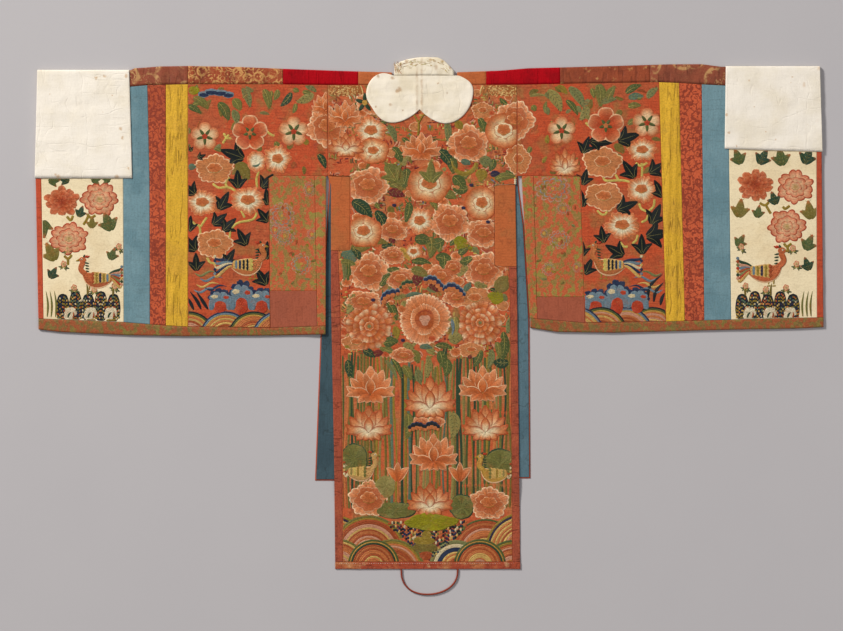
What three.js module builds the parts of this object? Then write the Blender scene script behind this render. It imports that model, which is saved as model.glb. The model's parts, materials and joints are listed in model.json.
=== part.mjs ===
// A Korean bridal robe laid flat on its front, back uppermost, with both sleeves spread.
// Millimetres, +Z up from the surface it lies on, +Y towards the neck, +X to the right as seen from above.
// Two front panels lie undermost, then the sleeve fronts, then the back and the sleeve backs, and last the
// turned-back white cuffs and the white collar. Each cut piece is a thin wall, 0.3 mm from its neighbours.
import * as THREE from "three";

// Driving sizes
const GAP = 0.3; // between pieces that touch
const FRONT_WALL = 1.6; // body front, outer cloth
const LINING_WALL = 1.0;
const SLEEVE_FRONT_WALL = 2.6;
const BACK_WALL = 2.2; // embroidered back and sleeve backs, with their paper interlining
const BINDING_EXTRA = 0.6; // a binding is folded double, so it stands this much proud
const CUFF_WALL = 1.2; // the turned-back white cuffs
const COLLAR_WALL = 2.0;
const CORD_DIAMETER = 4.4;

const BACK_LEVEL = FRONT_WALL + GAP + LINING_WALL + GAP; // underside of the back, over the fronts
const CUFF_RISE = CUFF_WALL + GAP; // a sleeve is lifted this much by the cuff's lower half
const COLLAR_LEVEL = BACK_LEVEL + BACK_WALL + GAP;

const NECK_TOP = 584.5;
const BACK_HEM = -584.5;
const BACK_HEM_SEAM = -568.4;
const ARMPIT = 313;
const LEFT_CUFF_FOOT = 307.5; // lower edge of the left turned-back cuff
const CENTRE_FRONT = -15; // where the two fronts meet
const NECK_POINT = 435; // and the lowest point of the neck opening
const CUFF_RAMP = 34; // the sleeve slopes down over this beyond the cuff's edge
const [LIFT_FROM, LIFT_FULL] = [245, 195]; // where the left sleeve begins to ride over the front panel
const FRONT_HEM = -384; // the lower of the two front hems, with a little slack
const FRONT_HEM_RAMP = 66; // the back slopes to the floor over this beyond the front hem

const clamp = (v) => Math.min(1, Math.max(0, v));
const mix = (a, b, t) => a + (b - a) * t;
function smooth(from, to, v) {
  const t = clamp((v - from) / (to - from));
  return t * t * (3 - 2 * t);
}

// A line through a few measured points, as a function: rows are [where, value], in rising or falling order.
function through(points) {
  const rows = [...points].sort((a, b) => a[0] - b[0]);
  return (at) => {
    const next = rows.findIndex((r) => r[0] > at);
    if (next === 0) return rows[0][1];
    if (next < 0) return rows[rows.length - 1][1];
    const [a, b] = [rows[next - 1], rows[next]];
    return mix(a[1], b[1], (at - a[0]) / (b[0] - a[0]));
  };
}
const moved = (line, by) => (at) => line(at) + by;
const level = (value) => () => value;

// Seams that run down the robe, as [y, x], from the left sleeve's end to the right one's
const down = {
  leftEnd: through([[555, -892.2], [LEFT_CUFF_FOOT, -898.2], [-39, -891.6]]),
  leftCuffEdge: through([[555, -882.2], [LEFT_CUFF_FOOT, -885.2], [-14, -880.1]]),
  leftCuffBlue: through([[521, -699.2], [-20, -696.9]]),
  leftBlueRed: through([[521, -643], [LEFT_CUFF_FOOT, -638.2], [-25, -637.3]]),
  leftRedYellow: level(-601),
  leftYellowFlowers: level(-550.7),
  leftFlowersPatch: through([[315, -365.5], [-34, -362.5]]),
  leftPatchBinding: through([[309, -260.9], [-32, -255.2]]),
  leftSlit: through([[309, -235.1], [-48, -236.2]]),
  leftArmhole: level(-231.2),
  rightArmhole: level(200.6),
  rightSlit: through([[313, 212], [-34, 230.7]]),
  rightPatchBinding: through([[300, 238.7], [-9, 246.7]]),
  rightFlowersPatch: through([[315, 344.5], [-23, 355.9]]),
  rightYellowFlowers: through([[528, 524.5], [-18, 540.7]]),
  rightRedYellow: through([[523, 570.2], [-16, 583.6]]),
  rightBlueRed: through([[521, 622], [-14, 627.9]]),
  rightCuffBlue: through([[521, 680.3], [374.5, 684.1], [-14, 689.2]]),
  rightCuffEdge: through([[521, 883.6], [-9, 885.2]]),
  rightEnd: through([[564, 889.6], [368, 895.7], [-32, 900]]),
  backLeft: through([[ARMPIT, -231.2], [293.3, -224.3], [30, -224.3], [-313, -217.5], [-584, -214.7]]),
  backRight: through([[ARMPIT, 200.6], [293.3, 196.7], [30, 200.8], [-313, 205.1], [-584, 208.3]]),
  stripLeft: through([[142.5, -207.9], [30, -203.1], [-313, -198.3], [-568, -197.6]]),
  stripRight: through([[105.8, 181.6], [30, 184.8], [-313, 188.9], [-568, 190.3]]),
  patchLeft: level(-180.5),
  patchRight: level(149.6),
  frontLeft: through([[ARMPIT, -231.2], [300, -228.4], [-48, -248.3], [-383, -260.9]]),
  frontRight: through([[ARMPIT, 200.6], [297, 199.4], [199, 216.5], [-16, 229.1], [-378, 231.2]]),
  neckLeft: through([[520, -85], [500, -72], [478, -52], [455, -32], [NECK_POINT, CENTRE_FRONT]]),
  neckRight: through([[520, 63.5], [500, 44], [478, 22], [455, 2], [NECK_POINT, CENTRE_FRONT]]),
};

// Seams and edges that run across the robe, as [x, y]
const across = {
  leftCuffFold: level(555.2),
  rightCuffFold: level(563.8),
  shoulderFold: through([
    [-900, 552.8], [-684, 552.8], [-674, 558.6], [-615, 563.1], [-551, 564.2], [-432, 561.9], [-334, 557.8],
    [-204, 553], [-85, 549.4], [63, 549.8], [162, 553.5], [226, 559], [386, 563.1], [504, 566.7],
    [545, 567.9], [623, 568.3], [668, 562.1], [900, 561.6],
  ]),
  shoulderSeam: through([
    [-900, 514.2], [-699.2, 515.1], [-643, 519.9], [-601, 521.2], [-550.7, 522.2], [-365.5, 522.2],
    [-231.2, 520.5], [200.6, 521], [344.5, 524], [524.5, 527], [570.2, 525], [622, 522], [680.3, 518.8],
    [900, 518.8],
  ]),
  leftHemSeam: through([
    [-900, -12.4], [-697, -20.8], [-637.3, -25.5], [-601, -28.3], [-550.7, -31.2], [-363, -33.8], [-236, -29.2],
  ]),
  leftHem: through([
    [-892, -37.5], [-843, -43.2], [-684, -50.7], [-558, -53], [-455, -51.9], [-364, -51.4], [-236, -48.7],
  ]),
  rightHemSeam: through([
    [230, -11.2], [246.7, -13], [355.9, -22.4], [540.7, -19.2], [583.6, -17.9], [627.9, -16.6],
    [689.2, -15], [885.2, -10.2], [900, -9.6],
  ]),
  rightHem: through([
    [231, -33.6], [290, -43.2], [418, -45], [539, -42], [664, -38.6], [836, -35.4], [900, -32.4],
  ]),
};

// The white cuffs' lower edges and inner edges on the sleeve
const leftCuff = { inner: through([[555, -684.1], [307, -677.3]]), foot: level(LEFT_CUFF_FOOT) };
const rightCuff = { inner: through([[564, 676.6], [371, 673.9]]), foot: through([[674, 374.8], [897, 368]]) };

// Soft ridges in the cloth that lies on top: centre, half length and half width along and across the ridge,
// how far its axis leans from +Y, and height.
const folds = [
  { x: -582, y: 60, half: 62, wide: 7, lean: 0.14, height: 1.9 },
  { x: -574, y: 400, half: 120, wide: 8, lean: 0, height: 1.4 },
  { x: 546, y: 300, half: 250, wide: 7, lean: 0.03, height: 2.2 },
  { x: 562, y: 330, half: 230, wide: 6, lean: 0.03, height: 1.8 },
  { x: 560, y: 60, half: 90, wide: 7, lean: 0.03, height: 1.5 },
  { x: -610, y: 548, half: 30, wide: 7, lean: 0.2, height: 1.6 },
  { x: 589, y: 548, half: 34, wide: 7, lean: 0, height: 1.5 },
  { x: -460, y: 210, half: 210, wide: 70, lean: 0.1, height: 1.7 },
  { x: -310, y: 130, half: 120, wide: 40, lean: 0, height: 1.2 },
  { x: 440, y: 190, half: 200, wide: 66, lean: -0.08, height: 1.7 },
  { x: 300, y: 120, half: 130, wide: 38, lean: 0.04, height: 1.2 },
  { x: -790, y: 120, half: 110, wide: 60, lean: 0, height: 1.4 },
  { x: 790, y: 160, half: 130, wide: 62, lean: 0, height: 1.4 },
  { x: -120, y: 170, half: 190, wide: 60, lean: 0.1, height: 1.3 },
  { x: 90, y: 40, half: 240, wide: 66, lean: -0.06, height: 1.3 },
  { x: -10, y: -300, half: 180, wide: 90, lean: 0.1, height: 1.2 },
  { x: -300, y: 440, half: 60, wide: 90, lean: 0, height: 1.2 },
  { x: 260, y: 430, half: 60, wide: 90, lean: 0, height: 1.2 },
];

// How much of the ridges shows at a place: none under the collar and the white cuffs, which lie flat.
function looseness(x, y) {
  const collar = smooth(-190, -150, x) * (1 - smooth(105, 145, x)) * smooth(390, 425, y);
  const leftUnder = (1 - smooth(-684, -650, x)) * smooth(270, 300, y);
  const rightUnder = smooth(640, 674, x) * smooth(335, 366, y);
  return (1 - collar) * (1 - leftUnder) * (1 - rightUnder);
}
function relief(x, y) {
  let height = 0;
  for (const f of folds) {
    const along = (y - f.y) / f.half;
    const away = (x - f.x - f.lean * (y - f.y)) / f.wide;
    height += f.height * Math.exp(-(away * away) - along * along * along * along);
  }
  return Math.min(2.8, height) * looseness(x, y);
}

// The sleeve rises over the lower half of its white cuff, and on the left over the front panel's flare.
function rise(x, y) {
  const left = (1 - smooth(-676, -676 + CUFF_RAMP, x)) * smooth(306 - CUFF_RAMP, 306, y);
  const right = smooth(672 - CUFF_RAMP, 672, x) * smooth(366 - CUFF_RAMP, 366, y);
  const flare = down.frontLeft(y) - 4 - x;
  const lift = (1 - smooth(0, 45, flare)) * (1 - smooth(LIFT_FULL, LIFT_FROM, y)) * (x < -228 ? 1 : 0);
  return CUFF_RISE * (left + right) + BACK_LEVEL * lift;
}
function backUnder(x, y) {
  const base = BACK_LEVEL * smooth(FRONT_HEM - FRONT_HEM_RAMP, FRONT_HEM, y);
  return base + rise(x, y) + relief(x, y);
}
const sleeveFrontUnder = (x, y) => rise(x, y);

// Builds a closed mesh from points and faces, turned so that its faces point out.
function closed(points, faces) {
  const corner = (i) => new THREE.Vector3(...points[i]);
  let volume = 0;
  for (const [a, b, c] of faces) volume += corner(a).dot(corner(b).cross(corner(c)));
  const geometry = new THREE.BufferGeometry();
  geometry.setAttribute("position", new THREE.Float32BufferAttribute(points.flat(), 3));
  geometry.setIndex((volume < 0 ? faces.map(([a, b, c]) => [a, c, b]) : faces).flat());
  return geometry;
}

// A flat cut piece as a wall. columns and rows are the lines that it lies between, wide and tall say into
// how many strips each stretch between two lines is cut, and skip leaves out cells, as [column, row].
function cloth({ columns, rows, wide, tall, under, wall, skip = [] }) {
  const inset = GAP / 2;
  const cols = columns.map((line, i) => moved(line, i === 0 ? inset : i === columns.length - 1 ? -inset : 0));
  const lanes = rows.map((line, i) => moved(line, i === 0 ? -inset : i === rows.length - 1 ? inset : 0));
  const steps = (cuts) => cuts.flatMap((n, i) => Array.from({ length: n }, (_, k) => [i, k / n]));
  const us = [...steps(wide), [wide.length - 1, 1]];
  const vs = [...steps(tall), [tall.length - 1, 1]];
  const place = ([i, f], [j, g]) => {
    let y = mix(lanes[j](cols[i](0)), lanes[j + 1](cols[i](0)), g);
    let x = 0;
    for (let pass = 0; pass < 5; pass++) {
      x = mix(cols[i](y), cols[i + 1](y), f);
      y = mix(lanes[j](x), lanes[j + 1](x), g);
    }
    return [x, y];
  };
  const missing = (i, j) =>
    i < 0 || j < 0 || i >= us.length - 1 || j >= vs.length - 1 ||
    skip.some(([c, r]) => c === us[i][0] && r === vs[j][0]);
  const points = [];
  const seen = new Map();
  const vertex = (i, j, top) => {
    const key = `${i},${j},${top}`;
    if (!seen.has(key)) {
      const [x, y] = place(us[i], vs[j]);
      seen.set(key, points.length);
      points.push([x, y, under(x, y) + (top ? wall : 0)]);
    }
    return seen.get(key);
  };
  const faces = [];
  const quad = (a, b, c, d) => faces.push([a, b, c], [a, c, d]);
  for (let i = 0; i < us.length - 1; i++)
    for (let j = 0; j < vs.length - 1; j++) {
      if (missing(i, j)) continue;
      const ring = [[i, j], [i, j + 1], [i + 1, j + 1], [i + 1, j]];
      quad(...ring.map(([a, b]) => vertex(a, b, true)));
      quad(...ring.map(([a, b]) => vertex(a, b, false)).reverse());
      const beyond = [[i - 1, j], [i, j + 1], [i + 1, j], [i, j - 1]];
      ring.forEach((from, k) => {
        if (!missing(...beyond[k])) return;
        const to = ring[(k + 1) % 4];
        quad(vertex(...from, true), vertex(...from, false), vertex(...to, false), vertex(...to, true));
      });
    }
  return closed(points, faces);
}

// Sections of a folded wall joined into one closed body. The first half of a section's points run along the
// outer face and the second half come back along the inner face, so its two ends close as a row of quads.
function loft(sections) {
  const n = sections[0].length;
  const faces = [];
  const quad = (a, b, c, d) => faces.push([a, b, c], [a, c, d]);
  const last = (sections.length - 1) * n;
  for (let from = 0; from < last; from += n)
    for (let k = 0; k < n; k++) {
      const next = (k + 1) % n;
      quad(from + k, from + next, from + n + next, from + n + k);
    }
  for (let k = 0; k < n / 2 - 1; k++) {
    quad(n - 1 - k, n - 2 - k, k + 1, k);
    quad(last + k, last + k + 1, last + n - 2 - k, last + n - 1 - k);
  }
  return closed(sections.flat(), faces);
}

// One section of a strip that is folded over an edge: its upper half runs from the seam to the fold and its
// lower half back. sign is +1 where the fold is towards the neck and -1 at a hem. upper and lower give the
// heights of the two halves' outer and inner faces.
function foldSection({ x, fold, upperSeam, lowerSeam, sign, upper, lower, rowsUpper, rowsLower, nose = 5 }) {
  const foldY = fold(x(0));
  const [top, upperInside, lowerInside, bottom] = [upper.outer, upper.inner, lower.inner, lower.outer]
    .map((height) => height(x(foldY), foldY));
  const turnY = foldY - (sign * (top - bottom)) / 2;
  const half = (seam, rows, height) => Array.from({ length: rows }, (_, k) => {
    const y = mix(seam, turnY, k / rows);
    return [x(y), y, height(x(y), y)];
  });
  const turn = (high, low) => Array.from({ length: nose + 1 }, (_, k) => {
    const angle = (Math.PI * k) / nose;
    const y = turnY + (sign * Math.sin(angle) * (high - low)) / 2;
    return [x(y), y, (high + low) / 2 + (Math.cos(angle) * (high - low)) / 2];
  });
  return [
    ...half(upperSeam, rowsUpper, upper.outer),
    ...turn(top, bottom),
    ...half(lowerSeam, rowsLower, lower.outer).reverse(),
    ...half(lowerSeam, rowsLower, lower.inner),
    ...turn(upperInside, lowerInside).reverse(),
    ...half(upperSeam, rowsUpper, upper.inner).reverse(),
  ];
}

// A strip folded over the shoulder or a sleeve's hem, in sections at the places given.
function foldedStrip({ places, fold, seam, sign, extra = 0, rows = 1 }) {
  return loft(places.map((x) => foldSection({
    x: level(x),
    fold,
    upperSeam: seam(x) + sign * (GAP / 2),
    lowerSeam: seam(x) + sign * (GAP / 2),
    sign,
    upper: {
      outer: (px, py) => backUnderSleeve(px, py) + BACK_WALL + extra,
      inner: backUnderSleeve,
    },
    lower: {
      outer: sleeveFrontUnder,
      inner: (px, py) => sleeveFrontUnder(px, py) + SLEEVE_FRONT_WALL,
    },
    rowsUpper: rows,
    rowsLower: 1,
  })));
}
const backUnderSleeve = (x, y) => BACK_LEVEL + rise(x, y) + relief(x, y);

// The white cuff: a wide tube of cotton turned back over the sleeve's mouth. Its outer end wraps the edges
// of the sleeve's two layers and leaves the mouth between them open.
function turnedCuff({ end, cuff, fold, sign }) {
  const outerUpper = (x, y) => backUnderSleeve(x, y) + BACK_WALL + GAP + CUFF_WALL;
  const clear = {
    upper: { outer: outerUpper, inner: (x, y) => outerUpper(x, y) - CUFF_WALL },
    lower: { outer: level(0), inner: level(CUFF_WALL) },
  };
  const lip = {
    upper: { outer: outerUpper, inner: backUnderSleeve },
    lower: { outer: level(0), inner: (x, y) => sleeveFrontUnder(x, y) + SLEEVE_FRONT_WALL },
  };
  const share = (t) => (y) => mix(end(y), cuff.inner(y), t);
  const sections = [
    { x: moved(end, sign * (GAP + CUFF_WALL)), walls: lip },
    { x: moved(end, sign * (GAP + 0.2)), walls: lip },
    { x: moved(end, sign * GAP), walls: clear },
    ...[0.25, 0.5, 0.75, 1].map((t) => ({ x: share(t), walls: clear })),
  ];
  return loft(sections.map(({ x, walls }) => foldSection({
    x,
    fold,
    upperSeam: cuff.foot(x(350)),
    lowerSeam: cuff.foot(x(350)),
    sign: 1,
    ...walls,
    rowsUpper: 4,
    rowsLower: 2,
    nose: 6,
  })));
}

// Materials
const finish = (color, roughness = 0.75) => new THREE.MeshStandardMaterial({ color, roughness, metalness: 0 });
const silk = {
  flowers: finish("#c8552f", 0.6),
  yellow: finish("#dcab34", 0.55),
  damask: finish("#c0543c", 0.55),
  blue: finish("#57879c", 0.6),
  ivory: finish("#e8d9b8", 0.65),
  edge: finish("#c04f35", 0.6),
  brocade: finish("#b5693c", 0.65),
  plain: finish("#a9533d", 0.65),
  scarlet: finish("#c01818", 0.45),
  rose: finish("#a8533f", 0.6),
  orange: finish("#c9703a", 0.6),
};
const cotton = finish("#efe9dc", 0.9);
const cordSilk = finish("#b5482f", 0.7);

const robe = new THREE.Group();
function add(name, geometry, material) {
  const mesh = new THREE.Mesh(geometry, material);
  mesh.name = name;
  robe.add(mesh);
}

// The body's two fronts, face down, each with its blue lining
const LINING_RIM = 2.6; // the outer cloth shows as a thin edge beyond the lining
for (const { name, outer, neck, hem, inwards } of [
  { name: "left", outer: down.frontLeft, neck: down.neckLeft, hem: -382.6, inwards: 1 },
  { name: "right", outer: down.frontRight, neck: down.neckRight, hem: -377.6, inwards: -1 },
]) {
  const ordered = (a, b) => (inwards > 0 ? [a, b] : [b, a]);
  add(`front_${name}`, cloth({
    columns: ordered(outer, moved(neck, (-inwards * GAP) / 2)),
    rows: [across.shoulderSeam, level(NECK_POINT), level(hem)],
    wide: [2],
    tall: [4, 6],
    under: level(0),
    wall: FRONT_WALL,
  }), silk.flowers);
  add(`front_lining_${name}`, cloth({
    columns: ordered(moved(outer, inwards * LINING_RIM), moved(neck, -inwards * LINING_RIM)),
    rows: [moved(across.shoulderSeam, -LINING_RIM), level(NECK_POINT), level(hem + LINING_RIM)],
    wide: [3],
    tall: [4, 7],
    under: level(FRONT_WALL + GAP),
    wall: LINING_WALL,
  }), silk.blue);
}

// The sleeves, from the mouth inwards: each cut strip has a back and a front half
const sleeves = [
  {
    name: "left",
    lines: [
      down.leftEnd, down.leftCuffEdge, down.leftCuffBlue, down.leftBlueRed, down.leftRedYellow,
      down.leftYellowFlowers, down.leftFlowersPatch, down.leftPatchBinding, down.leftSlit, down.leftArmhole,
    ],
    cuff: leftCuff,
    patchFoot: 50.4,
    hemSeam: across.leftHemSeam,
    hem: across.leftHem,
    hemPlaces: [-891.6, -843, -760, -697, -637.3, -601, -576, -550.7, -488, -425, -363, -318, -290, -262, -236.4],
    sign: 1,
  },
  {
    name: "right",
    lines: [
      down.rightEnd, down.rightCuffEdge, down.rightCuffBlue, down.rightBlueRed, down.rightRedYellow,
      down.rightYellowFlowers, down.rightFlowersPatch, down.rightPatchBinding, down.rightSlit,
      down.rightArmhole,
    ],
    cuff: rightCuff,
    patchFoot: 36.8,
    hemSeam: across.rightHemSeam,
    hem: across.rightHem,
    hemPlaces: [230.9, 246.7, 290, 355.9, 418, 480, 540.7, 560, 583.6, 627.9, 689.2, 760, 836, 885.2, 899.8],
    sign: -1,
  },
];
for (const sleeve of sleeves) {
  const [end, edge, blue, red, yellow, flowers, patch, binding, slit, armhole] = sleeve.lines;
  const foot = sleeve.cuff.foot;
  const upright = [across.shoulderSeam, foot, moved(foot, -CUFF_RAMP), sleeve.hemSeam];
  const arm = level(ARMPIT);
  const turn = (list) => (sleeve.sign > 0 ? list : [...list].reverse());
  const flip = (cells, lanes) => cells.map(([c, r]) => [sleeve.sign > 0 ? c : lanes - 1 - c, r]);
  const back = { under: backUnderSleeve, wall: BACK_WALL };
  const bound = { under: backUnderSleeve, wall: BACK_WALL + BINDING_EXTRA };
  const front = { under: sleeveFrontUnder, wall: SLEEVE_FRONT_WALL };
  const piece = (name, spec, material) => add(`${name}_${sleeve.name}`, cloth(spec), material);

  piece("cuff_edge_back", {
    ...back, columns: turn([end, edge]), rows: upright, wide: [1], tall: [2, 2, 5],
  }, silk.edge);
  piece("cuff_panel_back", {
    ...back, columns: turn([edge, blue]), rows: upright, wide: [6], tall: [2, 2, 7],
  }, silk.ivory);
  piece("blue_band_back", {
    ...back, columns: turn([blue, sleeve.cuff.inner, red]), rows: upright, wide: turn([1, 3]),
    tall: [3, 2, 6],
  }, silk.blue);
  piece("red_band_back", {
    ...back, columns: turn([red, yellow]), rows: upright, wide: [3], tall: [3, 2, 6],
  }, silk.damask);
  piece("yellow_band_back", {
    ...back, columns: turn([yellow, flowers]), rows: upright, wide: [8], tall: [5, 1, 9],
  }, silk.yellow);
  piece("flower_panel_back", {
    ...back,
    columns: turn([flowers, patch, binding, armhole]),
    rows: [across.shoulderSeam, arm, sleeve.hemSeam],
    wide: turn([6, 3, 1]),
    tall: [5, 9],
    skip: flip([[1, 1], [2, 1]], 3),
  }, silk.flowers);
  const patchColumns = turn([moved(patch, (sleeve.sign * GAP) / 2), binding]);
  const under = level(ARMPIT - GAP / 2);
  const slitLanes = [level(LIFT_FROM), level(LIFT_FULL), level(sleeve.patchFoot)];
  piece("brocade_patch", {
    ...back, columns: patchColumns, rows: [under, ...slitLanes], wide: [4], tall: [1, 2, 3],
  }, silk.brocade);
  piece("plain_patch", {
    ...back, columns: patchColumns, rows: [level(sleeve.patchFoot), sleeve.hemSeam], wide: [4], tall: [2],
  }, silk.plain);
  piece("slit_binding_back", {
    ...bound, columns: turn([binding, slit]), rows: [under, ...slitLanes, sleeve.hemSeam], wide: [2],
    tall: [1, 2, 3, 2],
  }, silk.brocade);

  piece("cuff_edge_front", {
    ...front, columns: turn([end, edge]), rows: upright, wide: [1], tall: [1, 2, 1],
  }, silk.edge);
  piece("cuff_panel_front", {
    ...front, columns: turn([edge, blue]), rows: upright, wide: [1], tall: [1, 2, 1],
  }, silk.ivory);
  piece("blue_band_front", {
    ...front, columns: turn([blue, sleeve.cuff.inner, red]), rows: upright, wide: turn([1, 3]),
    tall: [1, 2, 1],
  }, silk.blue);
  piece("red_band_front", {
    ...front, columns: turn([red, yellow]), rows: upright, wide: [1], tall: [1, 1, 1],
  }, silk.damask);
  piece("yellow_band_front", {
    ...front, columns: turn([yellow, flowers]), rows: upright, wide: [1], tall: [1, 1, 1],
  }, silk.yellow);
  piece("flower_panel_front", {
    ...front,
    columns: turn([flowers, patch, binding, armhole]),
    rows: [across.shoulderSeam, arm, ...slitLanes, sleeve.hemSeam],
    wide: turn([1, 4, 1]),
    tall: [1, 1, 2, 3, 2],
    skip: flip([1, 2, 3, 4].map((row) => [2, row]), 3),
  }, silk.flowers);
  piece("slit_binding_front", {
    ...front, columns: turn([moved(binding, (sleeve.sign * GAP) / 2), slit]),
    rows: [under, ...slitLanes, sleeve.hemSeam], wide: [2], tall: [1, 2, 3, 2],
  }, silk.brocade);

  add(`sleeve_hem_${sleeve.name}`, foldedStrip({
    places: sleeve.hemPlaces, fold: sleeve.hem, seam: sleeve.hemSeam, sign: -1, extra: BINDING_EXTRA,
  }), silk.brocade);
  add(`white_cuff_${sleeve.name}`, turnedCuff({
    end,
    cuff: sleeve.cuff,
    fold: sleeve.sign > 0 ? across.leftCuffFold : across.rightCuffFold,
    sign: -sleeve.sign,
  }), cotton);
}

// Strips of older silk pieced along the shoulder fold
const shoulderStrips = [
  { name: "rose_left", material: silk.rose, places: [-892, -790, -699.2, -684, -674, -662, -643, -622, -613,
    -604, -594, -574, -550.7] },
  { name: "brocade_left", material: silk.brocade, places: [-550.7, -490, -432, -365.5, -334] },
  { name: "scarlet_left", material: silk.scarlet, places: [-334, -300, -260, -231.2, -204, -162] },
  { name: "neck_left", material: silk.orange, places: [-162, -124, -85] },
  { name: "neck_right", material: silk.orange, places: [63.5, 96, 130] },
  { name: "scarlet_right", material: silk.scarlet, places: [130, 162, 200.6, 226, 260, 299] },
  { name: "brocade_right", material: silk.brocade, places: [299, 344.5, 386, 450, 504] },
  { name: "rose_right", material: silk.rose, places: [504, 524.5, 534, 543, 552, 561, 570.2, 580, 590, 600, 622,
    640, 650, 660, 668, 680.3, 780, 889.4] },
];
for (const { name, material, places } of shoulderStrips) {
  const trimmed = [...places];
  trimmed[0] += GAP / 2;
  trimmed[trimmed.length - 1] -= GAP / 2;
  add(`shoulder_${name}`, foldedStrip({
    places: trimmed, fold: across.shoulderFold, seam: across.shoulderSeam, sign: 1,
  }), material);
}

// The long back, its side strips, two patches near the armpits and the hem binding
const backWall = { under: backUnder, wall: BACK_WALL };
const patchTop = { left: ARMPIT, right: 293.3 };
const patchFoot = { left: 142.5, right: 105.8 };
const backHemSeam = level(BACK_HEM_SEAM);
const lowerBack = [30, -313, FRONT_HEM, FRONT_HEM - FRONT_HEM_RAMP].map(level);
add("back_panel", cloth({
  ...backWall,
  columns: [down.backLeft, down.stripLeft, down.patchLeft, down.patchRight, down.stripRight, down.backRight],
  rows: [across.shoulderSeam, level(patchTop.left), level(patchTop.right), level(patchFoot.left),
    level(patchFoot.right), ...lowerBack, backHemSeam],
  wide: [1, 1, 8, 1, 1],
  tall: [5, 1, 4, 1, 2, 8, 2, 3, 3],
  skip: [
    [0, 1], [0, 2], [1, 1], [1, 2], [3, 2], [4, 2], [3, 3], [4, 3],
    ...[3, 4, 5, 6, 7, 8].map((row) => [0, row]), ...[4, 5, 6, 7, 8].map((row) => [4, row]),
  ],
}), silk.flowers);
add("back_patch_left", cloth({
  ...backWall, columns: [down.backLeft, moved(down.patchLeft, -GAP / 2)],
  rows: [level(patchTop.left - GAP / 2), level(patchFoot.left + GAP / 2)], wide: [2], tall: [5],
}), silk.orange);
add("back_patch_right", cloth({
  ...backWall, columns: [moved(down.patchRight, GAP / 2), down.backRight],
  rows: [level(patchTop.right - GAP / 2), level(patchFoot.right + GAP / 2)], wide: [2], tall: [5],
}), silk.orange);
add("back_strip_left", cloth({
  ...backWall, columns: [down.backLeft, moved(down.stripLeft, -GAP / 2)],
  rows: [level(patchFoot.left), ...lowerBack, backHemSeam], wide: [1], tall: [3, 8, 2, 3, 3],
}), silk.edge);
add("back_strip_right", cloth({
  ...backWall, columns: [moved(down.stripRight, GAP / 2), down.backRight],
  rows: [level(patchFoot.right), ...lowerBack, backHemSeam], wide: [1], tall: [2, 8, 2, 3, 3],
}), silk.edge);
add("back_hem", cloth({
  under: backUnder, wall: BACK_WALL + BINDING_EXTRA,
  columns: [down.backLeft, down.backRight], rows: [backHemSeam, level(BACK_HEM)], wide: [8], tall: [1],
}), silk.edge);

// The white collar: a two-lobed flap on the back, and the band that turns over the neck's edge above it
const flapTop = 541.6;
const collarShape = new THREE.Shape();
collarShape.moveTo(-21.9, 464.8);
collarShape.bezierCurveTo(-42, 444, -68, 433, -88, 434.4);
collarShape.bezierCurveTo(-106, 436, -118, 448, -127, 463);
collarShape.bezierCurveTo(-138, 480, -145, 488, -143.7, 504);
collarShape.bezierCurveTo(-142, 526, -126, 546, -105.5, 547.1);
collarShape.bezierCurveTo(-95, 547.5, -90, 544, -79.5, flapTop);
collarShape.lineTo(56.6, flapTop);
collarShape.bezierCurveTo(64, 542.5, 70, 541.5, 74, 539);
collarShape.bezierCurveTo(94, 530, 101, 520, 100.5, 504.8);
collarShape.bezierCurveTo(99, 472, 78, 436, 39.1, 432.6);
collarShape.bezierCurveTo(14, 432, -10, 452, -21.9, 464.8);
const flap = new THREE.ExtrudeGeometry(collarShape, {
  depth: COLLAR_WALL, bevelEnabled: false, curveSegments: 5, steps: 1,
});
flap.translate(0, 0, COLLAR_LEVEL);
add("collar_flap", flap, cotton);

const neckArch = through([
  [-79.5, 566], [-66, 574], [-50, 579.5], [-28, 583.4], [-6, NECK_TOP], [20, 583.6], [34, 577], [45, 566],
  [56.6, 553],
]);
add("collar_band", loft([-79.5, -66, -50, -28, -6, 20, 34, 45, 56.6].map((x) => foldSection({
  x: level(x),
  fold: neckArch,
  upperSeam: flapTop + GAP,
  lowerSeam: 521,
  sign: 1,
  upper: { outer: level(COLLAR_LEVEL + COLLAR_WALL), inner: level(COLLAR_LEVEL) },
  lower: { outer: level(0), inner: level(COLLAR_WALL) },
  rowsUpper: 1,
  rowsLower: 1,
  nose: 6,
}))), cotton);

// The narrow silk loop at the back hem, lying on the surface: its route as [x, y]
const radius = CORD_DIAMETER / 2;
const loopRoute = [
  [-63.9, -584.8], [-62.9, -600.4], [-59.7, -611.5], [-54.6, -621.0], [-47.4, -628.8], [-38.7, -634.8],
  [-28.3, -639.0], [-16.6, -641.6], [-4.3, -642.4], [8.5, -641.6], [21.1, -639.0], [33.1, -634.8],
  [43.9, -628.8], [53.0, -621.0], [59.7, -611.5], [63.9, -600.4], [65.3, -584.8],
];
const loopPoints = loopRoute.map(([x, y]) => new THREE.Vector3(x, y, radius));
const cordSection = new THREE.Shape();
for (let k = 0; k < 8; k++) {
  const angle = (Math.PI * (k + 0.5)) / 4;
  const reach = radius / Math.cos(Math.PI / 8);
  const point = [reach * Math.cos(angle), reach * Math.sin(angle)];
  if (k === 0) cordSection.moveTo(...point);
  else cordSection.lineTo(...point);
}
add("hem_loop", new THREE.ExtrudeGeometry(cordSection, {
  steps: 22, bevelEnabled: false, extrudePath: new THREE.CatmullRomCurve3(loopPoints),
}), cordSilk);

export default robe;
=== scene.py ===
"""The looks of a Korean bridal robe, laid flat with its embroidered back uppermost.

The tables give millimetres in the robe's plan: X to the right, Y towards the neck and Z up from the surface
that it lies on. Meshes are written in metres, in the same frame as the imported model.
"""

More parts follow.
